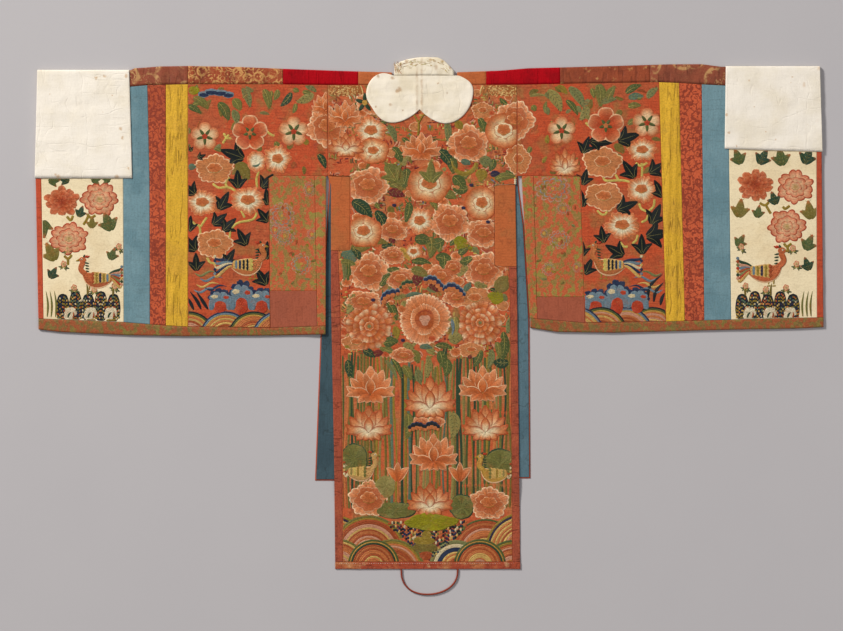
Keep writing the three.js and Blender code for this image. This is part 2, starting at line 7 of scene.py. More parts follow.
import json
import logging
import math
import random
from collections.abc import Callable, Iterable, Sequence
from dataclasses import dataclass, field
from enum import Enum

import bpy
import numpy as np
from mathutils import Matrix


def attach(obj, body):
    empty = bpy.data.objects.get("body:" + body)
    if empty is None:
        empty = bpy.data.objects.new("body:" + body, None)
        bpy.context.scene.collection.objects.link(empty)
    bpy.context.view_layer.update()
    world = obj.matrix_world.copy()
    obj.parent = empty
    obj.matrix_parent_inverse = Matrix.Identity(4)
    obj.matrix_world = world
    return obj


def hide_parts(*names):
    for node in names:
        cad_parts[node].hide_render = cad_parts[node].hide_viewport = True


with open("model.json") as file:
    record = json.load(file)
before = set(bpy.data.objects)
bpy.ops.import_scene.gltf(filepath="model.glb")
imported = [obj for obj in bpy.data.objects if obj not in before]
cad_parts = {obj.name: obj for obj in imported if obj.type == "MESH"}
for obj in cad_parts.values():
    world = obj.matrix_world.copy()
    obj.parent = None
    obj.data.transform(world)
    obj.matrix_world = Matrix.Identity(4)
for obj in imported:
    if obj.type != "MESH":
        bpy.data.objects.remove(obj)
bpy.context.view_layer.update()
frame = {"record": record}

LOG = logging.getLogger("robe")
MM = 0.001
Array = np.ndarray
Height = Callable[[Array, Array], Array]

GAP = 0.3
FRONT_WALL = 1.6
LINING_WALL = 1.0
SLEEVE_FRONT_WALL = 2.6
BACK_WALL = 2.2
BINDING_EXTRA = 0.6
CUFF_WALL = 1.2
COLLAR_WALL = 2.0
CORD_DIAMETER = 4.4
BACK_LEVEL = FRONT_WALL + GAP + LINING_WALL + GAP
CUFF_RISE = CUFF_WALL + GAP
COLLAR_LEVEL = BACK_LEVEL + BACK_WALL + GAP
NECK_TOP = 584.5
BACK_HEM = -584.5
BACK_HEM_SEAM = -568.4
ARMPIT = 313.0
LEFT_CUFF_FOOT = 307.5
CENTRE_FRONT = -15.0
NECK_POINT = 435.0
CUFF_RAMP = 34.0
LIFT_FROM, LIFT_FULL = 245.0, 195.0
FRONT_HEM = -384.0
FRONT_HEM_RAMP = 66.0
LINING_RIM = 2.6
LINING_CELL = 9.0
HIDDEN_CELL = 14.0


def linear(code: str) -> Array:
    """Turns a hex colour as seen on screen into linear light.

    Args:
        code: a colour such as "#c8552f".

    Returns:
        Three numbers from 0 to 1.
    """
    seen = np.array([int(code[i:i + 2], 16) / 255 for i in (1, 3, 5)])
    return np.where(seen <= 0.04045, seen / 12.92, ((seen + 0.055) / 1.055) ** 2.4)


def smooth(start: float, stop: float, value: Array) -> Array:
    """Rises softly from 0 at start to 1 at stop."""
    t = np.clip((value - start) / (stop - start), 0, 1)
    return t * t * (3 - 2 * t)


@dataclass(frozen=True)
class Line:
    """A measured seam or edge: where it is along one axis, and its value there."""

    points: tuple[tuple[float, float], ...]
    shift: float = 0.0

    def __call__(self, at: Array | float) -> Array:
        """Gives the line's value at one place or many."""
        rows = sorted(self.points)
        return np.interp(at, [r[0] for r in rows], [r[1] for r in rows]) + self.shift

    def moved(self, by: float) -> "Line":
        """Gives the same line, moved over by some millimetres."""
        return Line(self.points, self.shift + by)


def level(value: float) -> Line:
    """Gives a straight line at one value."""
    return Line(((0.0, value),))


@dataclass(frozen=True)
class Down:
    """Seams that run down the robe, as rows of (y, x)."""

    left_end = Line(((555, -892.2), (LEFT_CUFF_FOOT, -898.2), (-39, -891.6)))
    left_cuff_edge = Line(((555, -882.2), (LEFT_CUFF_FOOT, -885.2), (-14, -880.1)))
    left_cuff_blue = Line(((521, -699.2), (-20, -696.9)))
    left_blue_red = Line(((521, -643), (LEFT_CUFF_FOOT, -638.2), (-25, -637.3)))
    left_red_yellow = level(-601)
    left_yellow_flowers = level(-550.7)
    left_flowers_patch = Line(((315, -365.5), (-34, -362.5)))
    left_patch_binding = Line(((309, -260.9), (-32, -255.2)))
    left_slit = Line(((309, -235.1), (-48, -236.2)))
    left_armhole = level(-231.2)
    right_armhole = level(200.6)
    right_slit = Line(((313, 211), (250, 214.2), (-34, 230.7)))
    right_patch_binding = Line(((300, 238.7), (-9, 246.7)))
    right_flowers_patch = Line(((315, 344.5), (-23, 355.9)))
    right_yellow_flowers = Line(((528, 524.5), (-18, 540.7)))
    right_red_yellow = Line(((523, 570.2), (-16, 583.6)))
    right_blue_red = Line(((521, 622), (-14, 627.9)))
    right_cuff_blue = Line(((521, 680.3), (374.5, 684.1), (-14, 689.2)))
    right_cuff_edge = Line(((521, 883.6), (-9, 885.2)))
    right_end = Line(((564, 889.6), (368, 895.7), (-32, 900)))
    back_left = Line(((ARMPIT, -231.2), (293.3, -224.3), (30, -224.3), (-313, -217.5), (-584, -214.7)))
    back_right = Line(((ARMPIT, 200.6), (293.3, 196.7), (30, 200.8), (-313, 205.1), (-584, 208.3)))
    strip_left = Line(((142.5, -207.9), (30, -203.1), (-313, -198.3), (-568, -197.6)))
    strip_right = Line(((105.8, 181.6), (30, 184.8), (-313, 188.9), (-568, 190.3)))
    patch_left = level(-180.5)
    patch_right = level(149.6)
    front_left = Line(((ARMPIT, -231.2), (300, -228.4), (-48, -248.3), (-383, -260.9)))
    front_right = Line(((ARMPIT, 203.2), (297, 203.6), (250, 209.6), (199, 216.5), (-16, 229.1),
                        (-378, 231.2)))
    neck_left = Line(((520, -85), (500, -72), (478, -52), (455, -32), (NECK_POINT, CENTRE_FRONT)))
    neck_right = Line(((520, 63.5), (500, 44), (478, 22), (455, 2), (NECK_POINT, CENTRE_FRONT)))
    left_cuff_inner = Line(((555, -684.1), (307, -677.3)))
    right_cuff_inner = Line(((564, 676.6), (371, 673.9)))


@dataclass(frozen=True)
class Across:
    """Seams and edges that run across the robe, as rows of (x, y)."""

    left_cuff_fold = level(555.2)
    right_cuff_fold = level(563.8)
    left_cuff_foot = level(LEFT_CUFF_FOOT)
    right_cuff_foot = Line(((674, 374.8), (897, 368)))
    shoulder_fold = Line((
        (-900, 552.8), (-684, 552.8), (-674, 558.6), (-615, 563.1), (-551, 564.2), (-432, 561.9),
        (-334, 557.8),
        (-204, 553), (-85, 549.4), (63, 549.8), (162, 553.5), (226, 559), (386, 563.1), (504, 566.7),
        (545, 567.9), (623, 568.3), (668, 562.1), (900, 561.6)))
    shoulder_seam = Line((
        (-900, 514.2), (-699.2, 515.1), (-643, 519.9), (-601, 521.2), (-550.7, 522.2), (-365.5, 522.2),
        (-231.2, 520.5), (200.6, 521), (344.5, 524), (524.5, 527), (570.2, 525), (622, 522), (680.3, 518.8),
        (900, 518.8)))
    left_hem_seam = Line((
        (-900, -12.4), (-697, -20.8), (-637.3, -25.5), (-601, -28.3), (-550.7, -31.2), (-363, -33.8),
        (-236, -29.2)))
    left_hem = Line((
        (-892, -37.5), (-843, -43.2), (-684, -50.7), (-558, -53), (-455, -51.9), (-364, -51.4),
        (-236, -48.7)))
    right_hem_seam = Line((
        (230, -11.2), (246.7, -13), (355.9, -22.4), (540.7, -19.2), (583.6, -17.9), (627.9, -16.6),
        (689.2, -15), (885.2, -10.2), (900, -9.6)))
    right_hem = Line((
        (231, -33.6), (290, -43.2), (418, -45), (539, -42), (664, -38.6), (836, -35.4), (900, -32.4)))
    neck_arch = Line((
        (-79.5, 566), (-66, 574), (-50, 579.5), (-28, 583.4), (-6, NECK_TOP), (20, 583.6), (34, 577),
        (45, 566), (56.6, 553)))


@dataclass(frozen=True)
class Fold:
    """A soft ridge: its middle, half length, half width, lean from +Y, and height."""

    x: float
    y: float
    half: float
    wide: float
    lean: float
    height: float


MAIN_FOLDS = tuple(Fold(*row) for row in (
    (-582, 60, 62, 7, 0.14, 1.9), (-574, 400, 120, 8, 0, 1.4), (546, 300, 250, 7, 0.03, 2.2),
    (562, 330, 230, 6, 0.03, 1.8), (560, 60, 90, 7, 0.03, 1.5), (-610, 548, 30, 7, 0.2, 1.6),
    (589, 548, 34, 7, 0, 1.5), (-460, 210, 210, 70, 0.1, 1.7), (-310, 130, 120, 40, 0, 1.2),
    (440, 190, 200, 66, -0.08, 1.7), (300, 120, 130, 38, 0.04, 1.2), (-790, 120, 110, 60, 0, 1.4),
    (790, 160, 130, 62, 0, 1.4), (-120, 170, 190, 60, 0.1, 1.3), (90, 40, 240, 66, -0.06, 1.3),
    (-10, -300, 180, 90, 0.1, 1.2), (-300, 440, 60, 90, 0, 1.2), (260, 430, 60, 90, 0, 1.2)))


class Drape:
    """The heights of the layers over the surface that the robe lies on."""

    def __init__(self, seed: int = 11, waves: int = 16) -> None:
        """Draws the directions of the cloth's fine unevenness.

        Args:
            seed: fixes the draw.
            waves: how many ripples are summed.
        """
        draw = random.Random(seed)
        self.ripples = [
            (2 * math.pi / draw.uniform(26, 120), draw.uniform(0, math.pi), draw.uniform(0, 6.28))
            for _ in range(waves)
        ]

    @staticmethod
    def looseness(x: Array, y: Array) -> Array:
        """Gives 1 where the cloth lies free, and 0 under the collar and the turned-back cuffs.

        Args:
            x: places in millimetres.
            y: places in millimetres.

        Returns:
            The share at each place.
        """
        collar = smooth(-190, -150, x) * (1 - smooth(105, 145, x)) * smooth(390, 425, y)
        left = (1 - smooth(-684, -650, x)) * smooth(270, 300, y)
        right = smooth(640, 674, x) * smooth(335, 366, y)
        return (1 - collar) * (1 - left) * (1 - right)

    def relief(self, x: Array, y: Array) -> Array:
        """Gives the height of the soft ridges.

        Args:
            x: places in millimetres.
            y: places in millimetres.

        Returns:
            Heights in millimetres.
        """
        height = np.zeros(np.broadcast(x, y).shape)
        for f in MAIN_FOLDS:
            along = (y - f.y) / f.half
            away = (x - f.x - f.lean * (y - f.y)) / f.wide
            height = height + f.height * np.exp(-away**2 - along**4)
        return np.minimum(2.8, height) * self.looseness(x, y)

    def rise(self, x: Array, y: Array) -> Array:
        """Gives how far a sleeve is lifted by its turned-back cuff and by the front's flare.

        Args:
            x: places in millimetres.
            y: places in millimetres.

        Returns:
            Heights in millimetres.
        """
        left = (1 - smooth(-676, -676 + CUFF_RAMP, x)) * smooth(306 - CUFF_RAMP, 306, y)
        right = smooth(672 - CUFF_RAMP, 672, x) * smooth(366 - CUFF_RAMP, 366, y)
        flare = Down.front_left(y) - 4 - x
        lift = (1 - smooth(0, 45, flare)) * (1 - smooth(LIFT_FULL, LIFT_FROM, y)) * (x < -228)
        return CUFF_RISE * (left + right) + BACK_LEVEL * lift

    def ripple(self, x: Array, y: Array) -> Array:
        """Gives the cloth's fine unevenness, which stays within about half a millimetre.

        Args:
            x: places in millimetres.
            y: places in millimetres.

        Returns:
            Heights in millimetres.
        """
        total = np.zeros(np.broadcast(x, y).shape)
        for pitch, turn, phase in self.ripples:
            total = total + np.sin(pitch * (x * math.cos(turn) + y * math.sin(turn)) + phase)
        return 0.1 * total

    def sleeve_back(self, x: Array, y: Array) -> Array:
        """Gives the underside of a sleeve's back half."""
        return BACK_LEVEL + self.rise(x, y) + self.relief(x, y)

    def back(self, x: Array, y: Array) -> Array:
        """Gives the underside of the robe's back."""
        base = BACK_LEVEL * smooth(FRONT_HEM - FRONT_HEM_RAMP, FRONT_HEM, y)
        return base + self.rise(x, y) + self.relief(x, y)

    def sleeve_front(self, x: Array, y: Array) -> Array:
        """Gives the underside of a sleeve's front half."""
        return self.rise(x, y) + 0 * x


DRAPE = Drape()


def new_object(name: str, points: Array, faces: Sequence[Sequence[int]], uv: Array | None = None,
               colour: Array | None = None) -> bpy.types.Object:
    """Makes a smooth-shaded mesh object at the origin.

    Args:
        name: the object's name.
        points: rows of x, y, z in millimetres.
        faces: the corners of each face, turned so that it points out.
        uv: rows of u, v for the points, if the finish follows the piece.
        colour: rows of linear red, green, blue for the points, if it carries thread colours.

    Returns:
        The new object.
    """
    mesh = bpy.data.meshes.new(name)
    mesh.from_pydata((np.asarray(points, float) * MM).tolist(), [],
                     [list(dict.fromkeys(map(int, f))) for f in faces])
    mesh.polygons.foreach_set("use_smooth", [True] * len(mesh.polygons))
    corners = np.empty(len(mesh.loops), dtype=np.int32)
    mesh.loops.foreach_get("vertex_index", corners)
    if uv is not None:
        layer = mesh.uv_layers.new(name="cloth")
        layer.data.foreach_set("uv", np.asarray(uv, np.float32)[corners].ravel())
    if colour is not None:
        attribute = mesh.color_attributes.new("thread", "FLOAT_COLOR", "POINT")
        shade = np.ones((len(points), 4), dtype=np.float32)
        shade[:, :3] = colour
        attribute.data.foreach_set("color", shade.ravel())
    mesh.update()
    made = bpy.data.objects.new(name, mesh)
    bpy.context.scene.collection.objects.link(made)
    return made


class Nodes:
    """Short calls that build a material's node tree."""

    def __init__(self, name: str) -> None:
        """Starts an empty material with one principled shader.

        Args:
            name: the material's name.
        """
        self.material = bpy.data.materials.new(name)
        self.material.use_nodes = True
        self.tree = self.material.node_tree
        self.tree.nodes.clear()
        self.shader = self.tree.nodes.new("ShaderNodeBsdfPrincipled")
        output = self.tree.nodes.new("ShaderNodeOutputMaterial")
        self.tree.links.new(self.shader.outputs[0], output.inputs["Surface"])

    def feed(self, socket: bpy.types.NodeSocket, value: object) -> None:
        """Links a socket to another one, or sets its value.

        Args:
            socket: the input.
            value: a socket, a number or a tuple.
        """
        if isinstance(value, bpy.types.NodeSocket):
            self.tree.links.new(value, socket)
        elif socket.type == "RGBA" and len(value) == 3:
            socket.default_value = (*[float(v) for v in value], 1.0)
        else:
            socket.default_value = value

    def add(self, kind: str, values: dict[str | int, object], output: str | int = 0,
            **settings: object) -> bpy.types.NodeSocket:
        """Adds a node and gives one of its outputs.

        Args:
            kind: the node's type.
            values: what goes into its sockets, by name or number.
            output: the output that is wanted.
            **settings: the node's own properties.

        Returns:
            The output socket.
        """
        node = self.tree.nodes.new(kind)
        for key, value in settings.items():
            setattr(node, key, value)
        for key, value in values.items():
            self.feed(node.inputs[key], value)
        return node.outputs[output]

    def place(self) -> bpy.types.NodeSocket:
        """Gives the place on the piece, in metres."""
        return self.add("ShaderNodeTexCoord", {}, "Object")

    def uv(self) -> bpy.types.NodeSocket:
        """Gives the place along the piece's own cut."""
        return self.add("ShaderNodeUVMap", {}, 0, uv_map="cloth")

    def scaled(self, vector: bpy.types.NodeSocket, scale: tuple[float, float, float],
               turn: float = 0.0) -> bpy.types.NodeSocket:
        """Scales and turns a place before a pattern reads it."""
        return self.add("ShaderNodeMapping", {"Vector": vector, "Scale": scale, "Rotation": (0, 0, turn)})

    def math(self, operation: str, *values: object, clamp: bool = False) -> bpy.types.NodeSocket:
        """Adds one step of arithmetic."""
        return self.add("ShaderNodeMath", dict(enumerate(values)), 0, operation=operation, use_clamp=clamp)

    def axis(self, vector: bpy.types.NodeSocket, name: str) -> bpy.types.NodeSocket:
        """Gives one coordinate of a vector."""
        return self.add("ShaderNodeSeparateXYZ", {0: vector}, name)

    def noise(self, vector: bpy.types.NodeSocket, scale: float, detail: float = 3.0,
              rough: float = 0.55) -> bpy.types.NodeSocket:
        """Gives cloudy noise from 0 to 1."""
        return self.add("ShaderNodeTexNoise",
                        {"Vector": vector, "Scale": scale, "Detail": detail, "Roughness": rough}, 0)

    def bent(self, vector: bpy.types.NodeSocket, scale: float, reach: float) -> bpy.types.NodeSocket:
        """Shifts a place by a noise, so that a pattern on it wanders.

        Args:
            vector: the place.
            scale: the noise's scale.
            reach: the greatest shift.

        Returns:
            The shifted place.
        """
        cloud = self.add("ShaderNodeTexNoise", {"Vector": vector, "Scale": scale, "Detail": 2.0}, 1)
        centred = self.add("ShaderNodeVectorMath", {0: cloud, 1: (0.5, 0.5, 0.5)}, 0, operation="SUBTRACT")
        pushed = self.add("ShaderNodeVectorMath", {0: centred, "Scale": reach}, 0, operation="SCALE")
        return self.add("ShaderNodeVectorMath", {0: vector, 1: pushed}, 0, operation="ADD")

    def voronoi(self, vector: bpy.types.NodeSocket, scale: float, output: str = "Distance",
                **settings: object) -> bpy.types.NodeSocket:
        """Gives a cell pattern's distance or colour."""
        return self.add("ShaderNodeTexVoronoi", {"Vector": vector, "Scale": scale}, output, **settings)

    def step(self, value: bpy.types.NodeSocket, start: float, stop: float) -> bpy.types.NodeSocket:
        """Maps a value to 0 below start and 1 above stop, with a soft edge."""
        return self.add("ShaderNodeMapRange", {"Value": value, "From Min": start, "From Max": stop}, 0,
                        interpolation_type="SMOOTHSTEP")

    def mix(self, factor: object, first: object, second: object,
            blend: str = "MIX") -> bpy.types.NodeSocket:
        """Mixes two colours."""
        return self.add("ShaderNodeMix", {0: factor, 6: first, 7: second}, 2, data_type="RGBA",
                        blend_type=blend)

    def lines(self, value: bpy.types.NodeSocket, pitch: float) -> bpy.types.NodeSocket:
        """Gives ridges from -1 to 1, a pitch apart along a coordinate."""
        return self.math("SINE", self.math("MULTIPLY", value, 2 * math.pi / pitch))

    def aged(self, colour: bpy.types.NodeSocket, depth: float, scale: tuple[float, float, float],
             tint: tuple[float, float, float] = (0.42, 0.33, 0.26)) -> bpy.types.NodeSocket:
        """Darkens a colour in fine broken specks, as wear does."""
        grain = self.step(self.noise(self.scaled(self.place(), scale), 1.0, 4.0, 0.7), 0.42, 0.7)
        return self.mix(self.math("MULTIPLY", grain, depth), colour, tint, "MULTIPLY")

    def creases(self, scale: tuple[float, float, float], width: float = 0.03) -> bpy.types.NodeSocket:
        """Gives 1 on thin wandering lines and 0 between them.

        Args:
            scale: the noise's scale along each axis.
            width: how wide the lines are in the noise.

        Returns:
            The socket with the lines.
        """
        cloud = self.noise(self.scaled(self.place(), scale), 1.0, 2.0, 0.5)
        off = self.math("ABSOLUTE", self.math("SUBTRACT", cloud, 0.5))
        broken = self.step(self.noise(self.place(), 31.0, 2.0), 0.4, 0.56)
        return self.math("MULTIPLY", self.math("SUBTRACT", 1.0, self.step(off, 0.0, width)), broken)

    def weave(self, pitch: float) -> bpy.types.NodeSocket:
        """Gives the height of a plain weave of threads a pitch apart.

        Args:
            pitch: the distance between threads, in metres.

        Returns:
            The socket with the height.
        """
        place = self.place()
        return self.math("MULTIPLY", self.lines(self.axis(place, "X"), pitch),
                         self.lines(self.axis(place, "Y"), pitch))

    def finish(self, colour: object, height: bpy.types.NodeSocket, depth: float, rough: object,
               sheen: float = 0.08, specular: float = 0.25) -> bpy.types.Material:
        """Sets the shader and gives the material.

        Args:
            colour: the base colour.
            height: the bump's height, from about 0 to 1.
            depth: the depth of the bump in metres.
            rough: the roughness.
            sheen: the weight of the fibres' sheen.
            specular: the specular level.

        Returns:
            The finished material.
        """
        bump = self.add("ShaderNodeBump", {"Height": height, "Distance": depth, "Strength": 1.0})
        self.feed(self.shader.inputs["Base Color"], colour)
        self.feed(self.shader.inputs["Roughness"], rough)
        self.feed(self.shader.inputs["Normal"], bump)
        self.shader.inputs["Sheen Weight"].default_value = sheen
        self.shader.inputs["Sheen Roughness"].default_value = 0.45
        self.shader.inputs["Specular IOR Level"].default_value = specular
        return self.material


@dataclass(frozen=True)
class Silk:
    """Plain woven silk: faded in patches, streaked along its threads, softly puckered and with crease lines,
    which are darkened as painted shade.
    """

    name: str
    colour: str
    fades: tuple[tuple[float, float, float, str], ...]
    streak: tuple[float, float, float] = (420.0, 26.0, 1.0)
    streak_depth: float = 0.35
    crease: tuple[float, float, float] = (30.0, 7.0, 1.0)
    crease_depth: float = 0.35
    grain: float = 0.3
    pucker: float = 0.0008
    rough: float = 0.58
    gloss: float = 0.25

    def material(self) -> bpy.types.Material:
        """Builds the finish.

        Returns:
            The finished material.
        """
        n = Nodes(self.name)
        place = n.place()
        colour = n.mix(0.0, linear(self.colour), linear(self.colour))
        for scale, start, amount, tint in self.fades:
            share = n.math("MULTIPLY", n.step(n.noise(place, scale, 5.0), start, start + 0.16), amount)
            colour = n.mix(share, colour, linear(tint))
        streaks = n.noise(n.scaled(place, self.streak), 1.0, 3.0)
        dark = n.math("MULTIPLY", n.step(streaks, 0.35, 0.75), self.streak_depth)
        colour = n.mix(dark, colour, (0.55, 0.48, 0.42), "MULTIPLY")
        colour = n.aged(colour, self.grain, (230.0, 260.0, 1.0))
        # Painted shade: the colour is darkened along the crease lines, as folds would shade them; the same
        # lines are also sunk in the bump.
        lines = n.creases(self.crease)
        colour = n.mix(n.math("MULTIPLY", lines, self.crease_depth), colour, (0.35, 0.28, 0.2), "MULTIPLY")
        crumple = n.noise(n.scaled(place, (46.0, 20.0, 1.0)), 1.0, 4.0, 0.6)
        height = n.math("SUBTRACT", crumple, n.math("MULTIPLY", lines, 0.6 * self.crease_depth))
        height = n.math("ADD", height, n.math("MULTIPLY", n.weave(0.0016), 0.05))
        rough = n.math("ADD", n.math("MULTIPLY", streaks, 0.2), self.rough)
        return n.finish(colour, height, self.pucker, rough, 0.3 * self.gloss, self.gloss)


@dataclass(frozen=True)
class Damask:
    """Silk damask with a small scrolling figure a shade off its ground."""

    name: str
    ground: str
    figure: str
    scale: float = 62.0
    rough: float = 0.5

    def material(self) -> bpy.types.Material:
        """Builds the finish.

        Returns:
            The finished material.
        """
        n = Nodes(self.name)
        place = n.place()
        wander = n.bent(place, 90.0, 0.016)
        cells = n.voronoi(wander, self.scale, feature="SMOOTH_F1")
        curls = n.math("SINE", n.math("MULTIPLY", cells, 16.0))
        figure = n.step(curls, 0.0, 0.5)
        fade = n.noise(place, 7.0, 4.0)
        ground = n.mix(n.step(fade, 0.4, 0.7), linear(self.ground), linear(self.ground) * 0.72)
        colour = n.mix(n.math("MULTIPLY", figure, 0.85), ground, linear(self.figure))
        colour = n.aged(colour, 0.45, (200.0, 260.0, 1.0))
        # Painted shade: the colour is darkened along the crease lines, as folds would shade them.
        lines = n.creases((34.0, 5.0, 1.0))
        colour = n.mix(n.math("MULTIPLY", lines, 0.4), colour, (0.4, 0.3, 0.25), "MULTIPLY")
        crumple = n.noise(n.scaled(place, (60.0, 16.0, 1.0)), 1.0, 4.0, 0.6)
        height = n.math("SUBTRACT", n.math("ADD", crumple, n.math("MULTIPLY", figure, 0.12)),
                        n.math("MULTIPLY", lines, 0.3))
        rough = n.math("ADD", n.math("MULTIPLY", figure, 0.18), self.rough)
        return n.finish(colour, height, 0.0009, rough)


@dataclass(frozen=True)
class Brocade:
    """Worn brocade: leafy blotches on a ground, with small flecks of two more colours."""

    name: str
    ground: str
    leaf: str
    accent: str
    gold: str
    cover: float = 0.5
    flecks: float = 0.5

    def material(self) -> bpy.types.Material:
        """Builds the finish.

        Returns:
            The finished material.
        """
        n = Nodes(self.name)
        place = n.place()
        ragged = n.bent(place, 160.0, 0.01)
        shapes = n.noise(n.scaled(ragged, (78.0, 52.0, 1.0)), 1.0, 4.0, 0.62)
        leaf = n.step(shapes, 0.6 - 0.2 * self.cover, 0.63 - 0.2 * self.cover)
        veins = n.creases((120.0, 120.0, 1.0), 0.05)
        colour = n.mix(n.math("MULTIPLY", leaf, 0.85), linear(self.ground), linear(self.leaf))
        colour = n.mix(n.math("MULTIPLY", veins, 0.35), colour, linear(self.ground))
        tones = n.step(n.noise(place, 34.0, 3.0), 0.5, 0.62)
        colour = n.mix(n.math("MULTIPLY", n.math("MULTIPLY", tones, leaf), 0.6), colour, linear(self.gold))
        curls = n.math("SINE", n.math("MULTIPLY", n.voronoi(n.bent(place, 90.0, 0.02), 70.0), 22.0))
        accent = n.math("MULTIPLY", n.step(curls, 0.55, 0.85), self.flecks)
        colour = n.mix(accent, colour, linear(self.accent))
        colour = n.aged(colour, 0.5, (260.0, 300.0, 1.0))
        rib = n.lines(n.axis(place, "Y"), 0.0022)
        height = n.math("ADD", n.noise(place, 60.0, 4.0, 0.6), n.math("MULTIPLY", rib, 0.08))
        return n.finish(colour, height, 0.0006, 0.64)


@dataclass(frozen=True)
class Roundels:
    """Faded silk with worn gold roundels and scrolls."""

    name: str
    ground: str
    worn: str
    gold: str
    pitch: float = 21.0
    ring: float = 0.34
    spread: float = 1.0
    rubbed: float = 0.42

    def material(self) -> bpy.types.Material:
        """Builds the finish.

        Returns:
            The finished material.
        """
        n = Nodes(self.name)
        place = n.place()
        patches = n.step(n.noise(place, 16.0, 4.0), 0.38, 0.66)
        colour = n.mix(patches, linear(self.ground), linear(self.worn))
        centre = n.voronoi(place, self.pitch, voronoi_dimensions="2D")
        off_ring = n.math("ABSOLUTE", n.math("SUBTRACT", centre, self.ring))
        ring = n.math("SUBTRACT", 1.0, n.step(off_ring, 0.03, 0.09))
        curls = n.math("SINE", n.math("MULTIPLY", n.voronoi(n.bent(place, 60.0, 0.02), 85.0), 13.0))
        inside = n.math("MAXIMUM", n.math("LESS_THAN", centre, self.ring), self.spread)
        gold = n.math("MAXIMUM", ring, n.math("MULTIPLY", inside, n.step(curls, 0.3, 0.8)))
        rubbed = n.step(n.noise(place, 55.0, 3.0), self.rubbed, self.rubbed + 0.18)
        colour = n.mix(n.math("MULTIPLY", n.math("MULTIPLY", gold, rubbed), 0.7), colour, linear(self.gold))
        colour = n.aged(colour, 0.4, (240.0, 260.0, 1.0))
        # Painted shade: the colour is darkened along the crease lines, as folds would shade them.
        lines = n.creases((32.0, 4.0, 1.0), 0.05)
        colour = n.mix(n.math("MULTIPLY", lines, 0.45), colour, (0.35, 0.28, 0.24), "MULTIPLY")
        folds = n.noise(n.scaled(place, (42.0, 8.0, 1.0)), 1.0, 3.0)
        height = n.math("SUBTRACT", n.math("ADD", folds, n.math("MULTIPLY", gold, 0.1)),
                        n.math("MULTIPLY", lines, 0.3))
        return n.finish(colour, height, 0.0022, 0.6)


@dataclass(frozen=True)
class Cotton:
    """White cotton, pressed in folds, with foxing and brown stains near its edges; its crease lines are
    darkened as painted shade.
    """

    name: str
    colour: str = "#f4ebd9"
    shade: str = "#e8ddc6"
    stain: str = "#b58a56"
    foxing: float = 0.5
    spots: tuple[tuple[float, float, float], ...] = ()
    creased: float = 0.16
    folds: tuple[float, ...] = ()

    def material(self) -> bpy.types.Material:
        """Builds the finish.

        Returns:
            The finished material.
        """
        n = Nodes(self.name)
        place = n.place()
        tone = n.step(n.noise(place, 13.0, 5.0), 0.38, 0.72)
        colour = n.mix(tone, linear(self.colour), linear(self.shade))
        slubs = n.noise(n.scaled(place, (34.0, 480.0, 1.0)), 1.0, 2.0)
        ends = n.noise(n.scaled(place, (480.0, 34.0, 1.0)), 1.0, 2.0)
        cloth = n.math("MULTIPLY", n.math("ADD", slubs, ends), 0.5)
        colour = n.mix(n.math("MULTIPLY", n.step(cloth, 0.5, 0.7), 0.25), colour, linear("#d3c8b2"))
        near = n.voronoi(n.bent(place, 60.0, 0.012), 30.0)
        chosen = n.step(n.noise(place, 17.0, 2.0), 0.65 - 0.1 * self.foxing, 0.75 - 0.1 * self.foxing)
        spot = n.math("MULTIPLY", n.math("SUBTRACT", 1.0, n.step(near, 0.08, 0.26)), chosen)
        colour = n.mix(n.math("MULTIPLY", spot, self.foxing), colour, linear(self.stain))
        # Painted shade: the colour is darkened along the pressed crease lines.
        lines = n.math("MAXIMUM", n.creases((5.0, 16.0, 1.0), 0.014), n.creases((15.0, 6.0, 1.0), 0.014))
        colour = n.mix(n.math("MULTIPLY", lines, self.creased), colour, (0.66, 0.58, 0.47), "MULTIPLY")
        ragged = n.bent(place, 130.0, 0.009)
        for x, y, radius in self.spots:
            away = n.add("ShaderNodeVectorMath",
                         {0: n.scaled(ragged, (1.0, 1.0, 0.0)), 1: (x * MM, y * MM, 0.0)},
                         "Value", operation="DISTANCE")
            mark = n.math("SUBTRACT", 1.0, n.step(away, 0.2 * radius * MM, radius * MM))
            colour = n.mix(n.math("MULTIPLY", mark, 0.6), colour, linear(self.stain))
        for at in self.folds:
            off = n.math("ABSOLUTE", n.math("SUBTRACT", n.axis(n.bent(place, 60.0, 0.004), "X"), at * MM))
            mark = n.math("SUBTRACT", 1.0, n.step(off, 0.0, 5.0 * MM))
            patchy = n.step(n.noise(place, 60.0, 4.0), 0.3, 0.7)
            colour = n.mix(n.math("MULTIPLY", n.math("MULTIPLY", mark, patchy), 0.5), colour,
                           linear(self.stain))
        height = n.math("ADD", n.noise(place, 24.0, 6.0, 0.7), n.math("MULTIPLY", n.weave(0.0015), 0.05))
        height = n.math("ADD", height, n.math("MULTIPLY", cloth, 0.35))
        height = n.math("SUBTRACT", height, n.math("MULTIPLY", lines, 0.25))
        return n.finish(colour, height, 0.0013, 0.88, 0.05, 0.2)


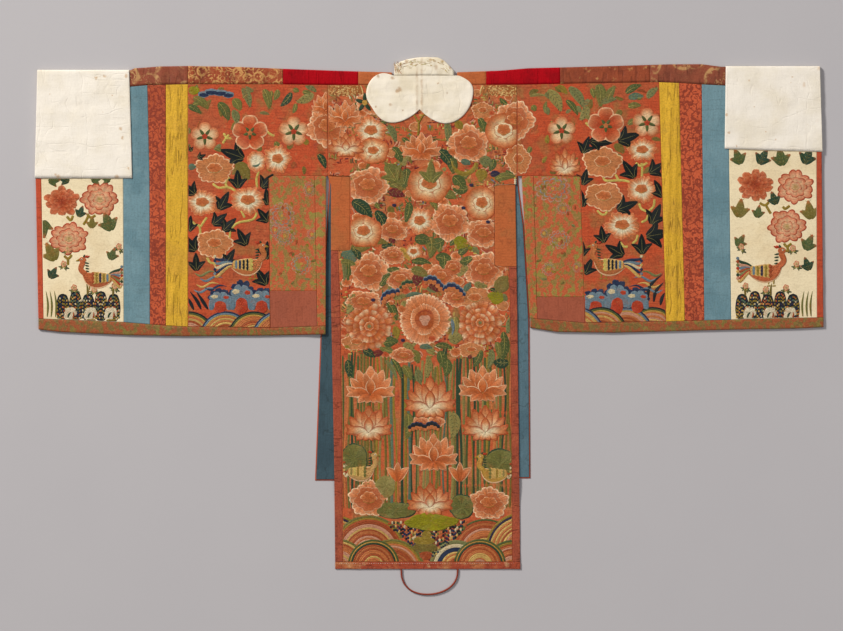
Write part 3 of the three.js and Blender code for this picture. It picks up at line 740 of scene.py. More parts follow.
@dataclass(frozen=True)
class SatinStitch:
    """Floss silk laid side by side: the points carry its colour, and u runs across the threads."""

    name: str
    pitch: float = 0.62
    rough: float = 0.42

    def material(self) -> bpy.types.Material:
        """Builds the finish.

        Returns:
            The finished material.
        """
        n = Nodes(self.name)
        colour = n.add("ShaderNodeAttribute", {}, "Color", attribute_name="thread")
        uv = n.uv()
        across = n.axis(uv, "X")
        strand = n.noise(n.scaled(uv, (1.1, 0.16, 1.0)), 1.0, 2.0, 0.7)
        worn = n.noise(n.place(), 70.0, 4.0, 0.6)
        ridge = n.lines(across, self.pitch)
        dark = n.math("MULTIPLY", n.step(strand, 0.4, 0.75), 0.45)
        pale = n.step(n.axis(colour, "X"), 0.01, 0.2)
        colour = n.mix(dark, colour, (0.55, 0.47, 0.4), "MULTIPLY")
        rubbed = n.math("MULTIPLY", n.step(worn, 0.5, 0.72), 0.3)
        colour = n.mix(n.math("MULTIPLY", rubbed, pale), colour, linear("#b0602f"))
        colour = n.aged(colour, 0.6, (170.0, 380.0, 1.0))
        light = n.step(n.noise(n.scaled(n.place(), (150.0, 330.0, 1.0)), 1.0, 3.0, 0.7), 0.55, 0.75)
        colour = n.mix(n.math("MULTIPLY", n.math("MULTIPLY", light, 0.24), pale), colour, linear("#e9bd8c"))
        height = n.math("ADD", n.math("MULTIPLY", ridge, 0.35), strand)
        rough = n.math("ADD", self.rough, n.math("MULTIPLY", strand, 0.22))
        return n.finish(colour, height, 0.00034, rough, 0.03, 0.16)


class Finishes:
    """Every finish of the robe, built once."""

    def __init__(self) -> None:
        """Builds the materials."""
        upright = (420.0, 26.0, 1.0)
        level_streaks = (34.0, 300.0, 1.0)
        down = (60.0, 5.0, 1.0)
        any_way = (30.0, 26.0, 1.0)
        kinds = (
            Silk("embroidery_ground", "#c34f27", (
                (8.0, 0.44, 0.7, "#b05a34"), (25.0, 0.5, 0.55, "#95703a"), (37.0, 0.58, 0.5, "#8a3d33"),
                (70.0, 0.6, 0.5, "#cc8a58")), level_streaks, 0.6, any_way, 0.3, 0.6),
            Silk("back_ground", "#c45a2f", (
                (14.0, 0.46, 0.8, "#bd7444"), (26.0, 0.53, 0.75, "#86703a"), (39.0, 0.56, 0.7, "#8c4034"),
                (61.0, 0.58, 0.7, "#c98a5c")), level_streaks, 0.5, any_way, 0.4, 0.6),
            Silk("front_silk", "#b84d2a", ((9.0, 0.45, 0.7, "#a64f2e"),), upright),
            Silk("ivory_ground", "#eddcb6", ((11.0, 0.46, 0.6, "#e2cca2"), (33.0, 0.6, 0.4, "#caa67a")),
                 level_streaks, 0.14, any_way, 0.12, 0.22, 0.0006),
            Silk("yellow_silk", "#e2b12e", ((12.0, 0.46, 0.6, "#d2a032"), (40.0, 0.58, 0.4, "#b48e37")),
                 upright, 0.2, down, 0.5, 0.45, 0.0036, 0.5),
            Silk("blue_silk", "#6f909a", ((13.0, 0.46, 0.6, "#5e818c"), (41.0, 0.58, 0.3, "#86a0a6")),
                 upright, 0.2, (5.0, 40.0, 1.0), 0.16, 0.3, 0.0016),
            # The linings are dark blue silk; the left one is darker still than the right as painted shade,
            # standing for the shadow of the left sleeve under light from the upper left, and the right one is
            # paler as the lit copy.
            Silk("lining_left", "#3a535d", ((10.0, 0.46, 0.6, "#2f444e"),), upright, 0.3, any_way, 0.4, 0.3,
                 0.0016),
            Silk("lining_right", "#56737f", ((10.0, 0.46, 0.6, "#466370"),), upright, 0.3, any_way, 0.4, 0.3,
                 0.0016),
            Silk("orange_silk", "#bb6230", ((9.0, 0.46, 0.7, "#ad6433"), (30.0, 0.58, 0.4, "#9c6a38")),
                 level_streaks, 0.35, any_way, 0.3, 0.4),
            Silk("edging_silk", "#ab5034", ((16.0, 0.46, 0.7, "#984830"), (43.0, 0.56, 0.5, "#bd683f")),
                 (420.0, 60.0, 1.0), 0.45, (9.0, 46.0, 1.0), 0.55, 0.6, 0.0024),
            Silk("mouth_silk", "#c24e2c", ((13.0, 0.46, 0.7, "#b2492c"), (43.0, 0.56, 0.4, "#a84a34")),
                 (420.0, 60.0, 1.0), 0.3, (9.0, 46.0, 1.0), 0.3, 0.4, 0.0016),
            Silk("hem_silk", "#a9492b", ((22.0, 0.48, 0.8, "#c07a48"), (47.0, 0.54, 0.6, "#9a3d2a"),
                                         (60.0, 0.56, 0.7, "#d8a878")), level_streaks, 0.4, any_way, 0.4, 0.7,
                 0.002),
            Silk("rose_patch", "#a2543a", ((14.0, 0.46, 0.5, "#97503a"),), upright, 0.3, any_way, 0.2, 0.35),
            Silk("scarlet_satin", "#b00a18", ((18.0, 0.46, 0.6, "#880d16"),), upright, 0.4, down, 0.5, 0.35,
                 0.0014, 0.6, 0.05),
            Damask("red_damask", "#c65a34", "#84321f", 96.0),
            Brocade("sleeve_brocade", "#b8572f", "#7f7636", "#c88058", "#8d8a38", 0.55, 0.34),
            Brocade("binding_brocade", "#964c28", "#6c6230", "#b07a48", "#7d7a34", 0.55, 0.4),
            Roundels("rose_roundels", "#934a31", "#7c3f2a", "#caa066", 17.0, 0.46, 0.1),
            Roundels("gold_brocade", "#a04a26", "#863b20", "#d9a862", 30.0, 0.3, 1.0, 0.34),
            Roundels("worn_brocade", "#984727", "#7f381f", "#dcae68", 24.0, 0.4, 0.4, 0.56),
            Cotton("white_cotton", "#f1e9dc", "#e9dfcc", "#bd9058", 0.5, (
                (-846, 312, 7), (-852, 316, 4), (-712, 311, 7), (-703, 420, 6), (-700, 400, 5),
                (-722, 496, 3),
                (-865, 500, 2.5), (-744, 458, 2), (-760, 536, 5), (-740, 540, 4), (-690, 540, 6),
                (-686, 330, 4),
                (828, 538, 3), (824, 526, 2), (790, 396, 3), (768, 414, 2.5), (678, 452, 5), (684, 410, 4),
                (730, 530, 3), (740, 470, 2), (862, 430, 2), (700, 380, 3)), 0.05),
            Cotton("collar_cotton", "#f2e8d6", "#e4d7bd", "#a87a48", 0.9, (
                (-68, 510, 9), (-74, 506, 6), (20, 525, 3), (42, 503, 3), (-116, 540, 5), (-122, 470, 4),
                (-84, 536, 6), (84, 540, 6), (-60, 462, 3)), 0.1, (-28.0, -17.0)),
            Cotton("band_cotton", "#f0e6d2", "#e2d3b4", "#a87a48", 1.0, (
                (-76, 560, 8), (-66, 566, 7), (-70, 552, 6), (-52, 574, 6), (48, 560, 7),
                (30, 574, 6), (4, 578, 5), (-40, 568, 5)), 0.3, (-28.0, -17.0)),
            SatinStitch("floss_silk"),
            Silk("loop_silk", "#963c26", ((90.0, 0.5, 0.6, "#803424"),), (900.0, 900.0, 900.0), 0.4, any_way,
                 0.2, 0.3, 0.0003),
        )
        self.made = {kind.name: kind.material() for kind in kinds}

    def __getitem__(self, name: str) -> bpy.types.Material:
        """Gives a finish by its name."""
        return self.made[name]


class Dresser:
    """Puts the finish on each piece, and hides the imported node that a sheet of cloth replaces."""

    def __init__(self, finishes: Finishes) -> None:
        """Keeps the finishes.

        Args:
            finishes: the robe's materials.
        """
        self.finishes = finishes
        self.slots = {s["node"]: s["material_slot"] for s in frame["record"]["subparts"]}

    def cloth(self, piece: bpy.types.Object, node: str, finish: str, flat: tuple[float, float],
              area: float, rests_on: Sequence[str], with_pieces: Sequence[bpy.types.Object] = ()) -> None:
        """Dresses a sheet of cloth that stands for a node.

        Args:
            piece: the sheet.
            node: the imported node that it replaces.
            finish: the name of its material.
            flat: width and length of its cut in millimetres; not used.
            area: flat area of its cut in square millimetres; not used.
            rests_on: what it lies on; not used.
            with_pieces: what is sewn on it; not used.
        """
        piece.data.materials.append(self.finishes[finish])
        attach(piece, "root")
        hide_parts(node)
        LOG.info("%s: %d faces", piece.name, len(piece.data.polygons))

    def trim(self, piece: bpy.types.Object, finish: str) -> None:
        """Dresses a piece that is sewn on the cloth and stands for no node.

        Args:
            piece: the piece.
            finish: the name of its material.
        """
        piece.data.materials.append(self.finishes[finish])
        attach(piece, "root")
        LOG.info("%s: %d faces", piece.name, len(piece.data.polygons))


@dataclass
class Cut:
    """A flat cut piece, laid as a wall between its seams."""

    node: str
    finish: str
    columns: Sequence[Line]
    rows: Sequence[Line]
    under: Height
    wall: float
    skip: Sequence[tuple[int, int]] = ()
    cell: float = 5.0
    ripple: float = 1.0
    lip: float = 0.7

    def face(self, x: Array, y: Array) -> Array:
        """Gives the height of the upper face."""
        uneven = 0.5 * self.ripple * (DRAPE.ripple(x, y) + 0.5) * DRAPE.looseness(x, y)
        return self.under(x, y) + self.wall + uneven

    def steps(self, lines: Sequence[Line], at: float) -> list[tuple[int, float]]:
        """Divides the stretches between lines, finely beside each line where the edge turns down.

        Args:
            lines: the lines that bound the lanes.
            at: where their distances are measured.

        Returns:
            The lane and the share of its width, for each step.
        """
        picks: list[tuple[int, float]] = []
        for lane in range(len(lines) - 1):
            wide = abs(float(lines[lane + 1](at) - lines[lane](at)))
            near = [d / wide for d in (0.0, 0.5, 1.8) if d / wide < 0.3]
            count = max(1, round((1 - 2 * near[-1]) * wide / self.cell))
            inner = [near[-1] + (1 - 2 * near[-1]) * k / count for k in range(count + 1)]
            shares = near[:-1] + inner + [1 - d for d in reversed(near[:-1])]
            picks += [(lane, share) for share in shares if share < 1]
        return [*picks, (len(lines) - 2, 1.0)]

    @staticmethod
    def between(lines: Sequence[Line], picks: Sequence[tuple[int, float]], at: Array) -> Array:
        """Gives the coordinate at each pick, a row of the grid each.

        Args:
            lines: the lines that bound the lanes.
            picks: the lane and the share of its width.
            at: the other coordinate, a row for each pick.

        Returns:
            The coordinates, in at's shape.
        """
        value = np.empty_like(at)
        for i, (lane, share) in enumerate(picks):
            value[i] = (1 - share) * lines[lane](at[i]) + share * lines[lane + 1](at[i])
        return value

    def build(self) -> tuple[bpy.types.Object, tuple[float, float], float]:
        """Builds the wall.

        Returns:
            The object, the width and length of its cut, and the area of its cut, in millimetres.
        """
        half = GAP / 2
        ends = {0: half, len(self.columns) - 1: -half}
        columns = [line.moved(ends.get(i, 0.0)) for i, line in enumerate(self.columns)]
        ends = {0: -half, len(self.rows) - 1: half}
        rows = [line.moved(ends.get(i, 0.0)) for i, line in enumerate(self.rows)]
        middle = float(rows[0](0.0) + rows[-1](0.0)) / 2
        us = self.steps(columns, middle)
        centre = float(columns[0](middle) + columns[-1](middle)) / 2
        vs = self.steps(rows, centre)
        x = np.full((len(us), len(vs)), centre)
        y = np.full_like(x, middle)
        for _ in range(5):
            y = self.between(rows, vs, x.T).T
            x = self.between(columns, us, y)
        bottom = self.under(x, y)
        top = self.face(x, y)
        kept = np.ones((len(us) - 1, len(vs) - 1), bool)
        for i in range(len(us) - 1):
            for j in range(len(vs) - 1):
                kept[i, j] = (us[i][0], vs[j][0]) not in self.skip
        padded = np.zeros((len(us) + 1, len(vs) + 1), bool)
        padded[1:-1, 1:-1] = kept
        full = padded[:-1, :-1] & padded[1:, :-1] & padded[:-1, 1:] & padded[1:, 1:]
        top = np.where(full, top, top - min(self.lip, 0.4 * self.wall))
        used = padded[:-1, :-1] | padded[1:, :-1] | padded[:-1, 1:] | padded[1:, 1:]
        number = np.full(x.shape, -1)
        number[used] = np.arange(used.sum())
        count = int(used.sum())
        points = np.concatenate([np.stack([x, y, top], -1)[used], np.stack([x, y, bottom], -1)[used]])
        faces: list[tuple[int, ...]] = []
        area = 0.0
        for i, j in zip(*np.nonzero(kept)):
            a, b, c, d = number[i, j], number[i, j + 1], number[i + 1, j + 1], number[i + 1, j]
            faces.append((a, b, c, d))
            faces.append((d + count, c + count, b + count, a + count))
            sides = ((a, b, padded[i, j + 1]), (b, c, padded[i + 1, j + 2]), (c, d, padded[i + 2, j + 1]),
                     (d, a, padded[i + 1, j]))
            faces += [(p + count, q + count, q, p) for p, q, joined in sides if not joined]
            area += abs((x[i + 1, j + 1] - x[i, j]) * (y[i, j + 1] - y[i + 1, j])
                        - (x[i, j + 1] - x[i + 1, j]) * (y[i + 1, j + 1] - y[i, j])) / 2
        flip = (points[faces[0][1]] - points[faces[0][0]])[:2]
        side = (points[faces[0][2]] - points[faces[0][0]])[:2]
        if flip[0] * side[1] - flip[1] * side[0] < 0:
            faces = [tuple(reversed(f)) for f in faces]
        made = new_object(f"{self.node}_cloth", points, faces, points[:, :2] * MM)
        return made, (float(np.ptp(x)), float(np.ptp(y))), area

    def dress(self, dresser: Dresser, rests_on: Sequence[str],
              with_pieces: Sequence[bpy.types.Object] = ()) -> bpy.types.Object:
        """Builds the piece and dresses it.

        Args:
            dresser: dresses the piece.
            rests_on: what it lies on.
            with_pieces: what is sewn on it.

        Returns:
            The piece.
        """
        piece, flat, area = self.build()
        dresser.cloth(piece, self.node, self.finish, flat, area, rests_on, with_pieces)
        return piece


def fold_section(across: Callable[[Array], Array], fold_y: float, seams: tuple[float, float], sign: int,
                 heights: tuple[Height, Height, Height, Height], rows: tuple[int, int],
                 nose: int = 8) -> Array:
    """Gives one closed section of a strip that is folded over an edge.

    Args:
        across: the section's x for each y.
        fold_y: where the fold lies.
        seams: y of the upper and of the lower half's seam.
        sign: 1 where the fold is towards the neck and -1 at a hem.
        heights: the upper half's outer and inner face, and the lower half's inner and outer face.
        rows: how many steps each half has.
        nose: how many steps the turn has.

    Returns:
        Rows of x, y, z: first along the outer face, then back along the inner one.
    """
    edge = np.array([fold_y])
    outer, inner, lower_inner, lower_outer = (float(h(across(edge), edge)[0]) for h in heights)
    turn_y = fold_y - sign * (outer - lower_outer) / 2

    def half(seam: float, count: int, height: Height, worn: float) -> Array:
        """Gives one half's line of points from its seam to the fold.

        Args:
            seam: y of its seam.
            count: how many points it has.
            height: the height of its face.
            worn: how far the seam's end is turned down.

        Returns:
            Rows of x, y, z.
        """
        y = seam + (turn_y - seam) * np.linspace(0, 1, count, endpoint=False)
        x = across(y)
        z = height(x, y)
        z[0] -= worn
        return np.stack([x, y, z], -1)

    def turn(high: float, low: float) -> Array:
        """Gives the points round the fold.

        Args:
            high: the height where the turn starts.
            low: the height where it ends.

        Returns:
            Rows of x, y, z.
        """
        angle = np.linspace(0, math.pi, nose + 1)
        y = turn_y + sign * np.sin(angle) * (high - low) / 2
        return np.stack([across(y), y, (high + low) / 2 + np.cos(angle) * (high - low) / 2], -1)

    upper, lower = rows
    return np.concatenate([
        half(seams[0], upper, heights[0], 0.4), turn(outer, lower_outer),
        half(seams[1], lower, heights[3], 0.0)[::-1],
        half(seams[1], lower, heights[2], 0.0), turn(inner, lower_inner)[::-1],
        half(seams[0], upper, heights[1], 0.0)[::-1]])


def loft(name: str, sections: Sequence[Array]) -> tuple[bpy.types.Object, tuple[float, float], float]:
    """Joins folded sections into one closed wall.

    Args:
        name: the object's name.
        sections: closed sections with the same number of points.

    Returns:
        The object, the strip's width and length laid open, and its area, in millimetres.
    """
    rings = np.stack(sections)
    count, size = rings.shape[:2]
    index = np.arange(count * size).reshape(count, size)
    turned = np.roll(index, -1, 1)
    quads = np.stack([index[:-1], turned[:-1], turned[1:], index[1:]], -1).reshape(-1, 4)
    k = np.arange(size // 2 - 1)
    caps = [np.stack([size - 1 - k, size - 2 - k, k + 1, k], -1)]
    last = (count - 1) * size
    caps.append(np.stack([last + k, last + k + 1, last + size - 2 - k, last + size - 1 - k], -1))
    faces = np.concatenate([quads, *caps])
    points = rings.reshape(-1, 3)
    a, b, c, d = (points[faces[:, i]] for i in range(4))
    if (np.einsum("ij,ij->i", a, np.cross(b, c)) + np.einsum("ij,ij->i", a, np.cross(c, d))).sum() < 0:
        faces = faces[:, ::-1]
    outer = rings[:, :size // 2]
    developed = np.linalg.norm(np.diff(outer, axis=1), axis=2).sum(1)
    spread = np.ptp(outer[:, :, 0], axis=0).mean()
    steps = np.abs(np.diff(outer[:, :, 0].mean(1)))
    area = float((steps * (developed[:-1] + developed[1:]) / 2).sum())
    made = new_object(name, points, faces, points[:, :2] * MM)
    return made, (float(spread), float(developed.max())), area


@dataclass
class Folded:
    """A straight strip folded over the shoulder or over a sleeve's hem."""

    node: str
    finish: str
    start: float
    stop: float
    fold: Line
    seam: Line
    sign: int
    extra: float = 0.0
    cell: float = 6.0

    def dress(self, dresser: Dresser, rests_on: Sequence[str]) -> bpy.types.Object:
        """Builds the strip and dresses it.

        Args:
            dresser: dresses the piece.
            rests_on: what it lies on.

        Returns:
            The piece.
        """
        first, last = self.start + GAP / 2, self.stop - GAP / 2
        inner = np.linspace(first + 1.5, last - 1.5, max(2, round((last - first) / self.cell)))
        worn = {first: 0.5, last: 0.5}
        sections = []
        for x in (first, *inner, last):
            heights = (
                lambda px, py, sunk=worn.get(x, 0.0): DRAPE.sleeve_back(px, py) + BACK_WALL + self.extra
                + 0.5 * (DRAPE.ripple(px, py) + 0.5) - sunk,
                DRAPE.sleeve_back,
                lambda px, py: DRAPE.sleeve_front(px, py) + SLEEVE_FRONT_WALL,
                DRAPE.sleeve_front,
            )
            seam = float(self.seam(x)) + self.sign * GAP / 2
            sections.append(fold_section(lambda y, at=x: np.full(np.shape(y), at), float(self.fold(x)),
                                         (seam, seam), self.sign, heights, (6, 3)))
        piece, flat, area = loft(f"{self.node}_cloth", sections)
        dresser.cloth(piece, self.node, self.finish, flat, area, rests_on)
        return piece


class Side(Enum):
    """The robe's sides as the photograph shows them."""

    LEFT = 1
    RIGHT = -1

    @property
    def word(self) -> str:
        """The side's word in the names of the nodes."""
        return self.name.lower()

    def order(self, lines: Sequence[Line]) -> list[Line]:
        """Puts lines that run from the outside inwards in order from left to right."""
        return list(lines) if self is Side.LEFT else list(reversed(lines))


class Profile(Enum):
    """How the width of a stitched shape changes along it."""

    LEAF = "leaf"
    POINT = "point"
    PETAL = "petal"
    ROUND = "round"
    RIBBON = "ribbon"
    TAPER = "taper"

    def widths(self, s: Array) -> Array:
        """Gives the share of the full width at each share of the length.

        Args:
            s: shares of the length, from the foot.

        Returns:
            Shares of the full width.
        """
        if self is Profile.LEAF:
            return np.sin(np.pi * s**0.82) ** 1.02
        if self is Profile.POINT:
            return 0.12 * (1 - s) + np.sin(np.pi * s**0.92) ** 0.95
        if self is Profile.PETAL:
            flare = 0.28 + 0.72 * smooth(0, 0.62, s)
            return np.where(s < 0.62, flare, np.sqrt(np.clip(1 - ((s - 0.62) / 0.38) ** 2, 0, 1)))
        if self is Profile.ROUND:
            flare = 0.16 + 0.84 * np.sin(np.clip(s / 0.58, 0, 1) * np.pi / 2)
            return np.where(s < 0.58, flare, np.sqrt(np.clip(1 - ((s - 0.58) / 0.42) ** 2, 0, 1)))
        if self is Profile.RIBBON:
            return np.minimum(1, np.minimum(s, 1 - s) * 14 + 0.35)
        return (1 - s) ** 0.7


@dataclass(frozen=True)
class Thread:
    """The colours of one stitched shape, from its heart to its tip, and of its outline."""

    stops: tuple[tuple[float, str], ...]
    rim: str = ""
    streak: float = 0.12
    soft: bool = False

    def along(self, at: Array) -> Array:
        """Gives linear colours at shares from 0 at the heart to 1 at the tip.

        Args:
            at: the shares.

        Returns:
            Rows of linear red, green, blue.
        """
        where = [share for share, _ in self.stops]
        table = np.array([linear(code) for _, code in self.stops])
        return np.stack([np.interp(at, where, table[:, k]) for k in range(3)], -1)


def plain(code: str, streak: float = 0.14) -> Thread:
    """Gives thread of a single colour."""
    return Thread(((0.0, code),), "", streak)


FLOSS = {
    "coral": Thread(((0, "#bc5a28"), (0.45, "#cc6a34"), (0.7, "#d8824e"), (1, "#e6a074")), "#f4caa0", 0.26),
    "coral_crown": Thread(((0, "#bd622f"), (0.6, "#ca703c"), (1, "#d4834f")), "#f0c89c", 0.18),
    "peach": Thread(((0, "#c98450"), (0.6, "#cd8450"), (1, "#cb7844")), "#f2c79a", 0.18),
    "white": Thread(((0, "#f0dfb8"), (0.42, "#f6e9c8"), (0.56, "#f2dcb2"), (0.68, "#e6ae80"),
                     (0.8, "#d98854"), (0.93, "#d47442"), (1, "#e0976a")), "", 0.24),
    "white_under": Thread(((0, "#c86038"), (0.7, "#cb6a40"), (1, "#b04a26")), "", 0.2),
    "white_petal": Thread(((0, "#f2e2bc"), (0.26, "#ecd0a0"), (0.5, "#de9c68"), (0.8, "#d07644"),
                           (1, "#cb6c3c")), "#bb5424", 0.2, True),
    "white_ring": Thread(((0, "#e9cc9c"), (0.7, "#f1e0ba"), (1, "#eccb9a")), "#c46f3c", 0.1),
    "white_crown": Thread(((0, "#c2622f"), (0.6, "#cc7440"), (1, "#d68854")), "#f3e0b8", 0.16),
    "star": Thread(((0, "#cf6230"), (0.25, "#ecc696"), (0.5, "#efcc9e"), (0.75, "#e4a676"),
                    (1, "#d68452")), "#cc6c3e", 0.2, True),
    "red_petal": Thread(((0, "#bd4a1e"), (0.45, "#c4502a"), (0.8, "#d67a4e"), (1, "#e29a70")), "#f0c094",
                        0.2),
    "lotus_white": Thread(((0, "#f6e6c2"), (0.32, "#f1d8ac"), (0.64, "#dd8f5a"), (1, "#bf5629")), "#b0451b",
                          0.18, True),
    "mum": Thread(((0, "#b04a20"), (0.36, "#cc6a36"), (0.62, "#e0a070"), (0.84, "#f2dab0"), (1, "#e9c096")),
                  "#c0582a", 0.25, True),
    "mum_red": Thread(((0, "#a8441e"), (0.5, "#cc7038"), (0.8, "#dc9464"), (1, "#e8b48a")), "#b8502a", 0.25,
                      True),
    "ivory_peony": Thread(((0, "#b39a56"), (0.3, "#d8b680"), (0.6, "#e8b88e"), (0.84, "#e2926c"),
                           (1, "#cc6040")), "#ad4022", 0.16),
    "red_peony": Thread(((0, "#a23e20"), (0.5, "#b04a28"), (0.8, "#c26038"), (1, "#d08058")), "", 0.24),
    "dark_leaf": plain("#161e1e"),
    "vein": plain("#8f8a50"),
    "olive": plain("#7b6c30"),
    "green": plain("#556234"),
    "moss": plain("#75743a"),
    "pale": plain("#958a4e"),
    "sage": plain("#7e8150"),
    "bright": plain("#938d16"),
    "blue_green": plain("#5d7660"),
    "bottle": plain("#334a34"),
    "khaki": plain("#d0bd62"),
    "ochre": plain("#98802e"),
    "navy": plain("#283552"),
    "indigo": plain("#352f48"),
    "sky": plain("#6f8794"),
    "cream": plain("#dccba0"),
    "yellow": plain("#c79a45"),
    "gold": plain("#d6ae62"),
    "tangerine": plain("#c67440"),
    "rust": plain("#aa5029"),
    "brick": plain("#9c4024"),
    "scarlet": plain("#bb4024"),
    "wine": plain("#742a2c"),
    "black": plain("#20262a"),
    "pink": plain("#d3987a"),
    "ivory": plain("#e6d9b8"),
    "cuff_body": plain("#c4683c", 0.2),
    "dusty": plain("#b98a72"),
    "slate": plain("#8b8a88"),
    "dim_outline": Thread(((0, "#b2542e"), (0.5, "#bc6034"), (1, "#c67042")), "#d8a078"),
    "sand": plain("#c49a5c", 0.2),
    "gold_ground": plain("#b4703a", 0.2),
    "gilt": plain("#e8c07c"),
    "ember": plain("#b4582a", 0.2),
    "tipped_green": Thread(((0, "#4f6238"), (0.72, "#5a6a3c"), (0.86, "#b8683c"), (1, "#cc7448"))),
    "tipped_bottle": Thread(((0, "#2c4634"), (0.76, "#36503a"), (0.9, "#a85a38"), (1, "#c86e46"))),
    "tipped_olive": Thread(((0, "#7a7030"), (0.72, "#86793a"), (0.86, "#c0763e"), (1, "#cc7c50"))),
}


def curve(points: Iterable[tuple[float, float]], count: int) -> Array:
    """Runs a smooth curve through points.

    Args:
        points: rows of x, y.
        count: how many points the curve gets.

    Returns:
        Rows of x, y.
    """
    given = np.array(list(points), float)
    if len(given) == 2:
        return given[0] + np.linspace(0, 1, count)[:, None] * (given[1] - given[0])
    padded = np.concatenate([[2 * given[0] - given[1]], given, [2 * given[-1] - given[-2]]])
    at = np.linspace(0, len(given) - 1 - 1e-9, count)
    i = at.astype(int)
    t = (at - i)[:, None]
    a, b, c, d = (padded[i + k] for k in range(4))
    return 0.5 * (2 * b + (c - a) * t + (2 * a - 5 * b + 4 * c - d) * t**2
                  + (3 * b - a - 3 * c + d) * t**3)


def bearing(angle: float) -> tuple[float, float]:
    """Gives one step along x and y in a direction in degrees."""
    return math.cos(math.radians(angle)), math.sin(math.radians(angle))


def ray(x: float, y: float, angle: float, length: float, bend: float = 0.0) -> list[tuple[float, float]]:
    """Gives three points that run out from a place, bent to the left by a share of the length.

    Args:
        x: where it starts.
        y: where it starts.
        angle: its direction, in degrees.
        length: its length.
        bend: how far its middle lies off the straight line.

    Returns:
        The foot, the middle and the tip.
    """
    dx, dy = bearing(angle)
    half, off = length / 2, bend * length
    return [(x, y), (x + half * dx - off * dy, y + half * dy + off * dx), (x + length * dx, y + length * dy)]


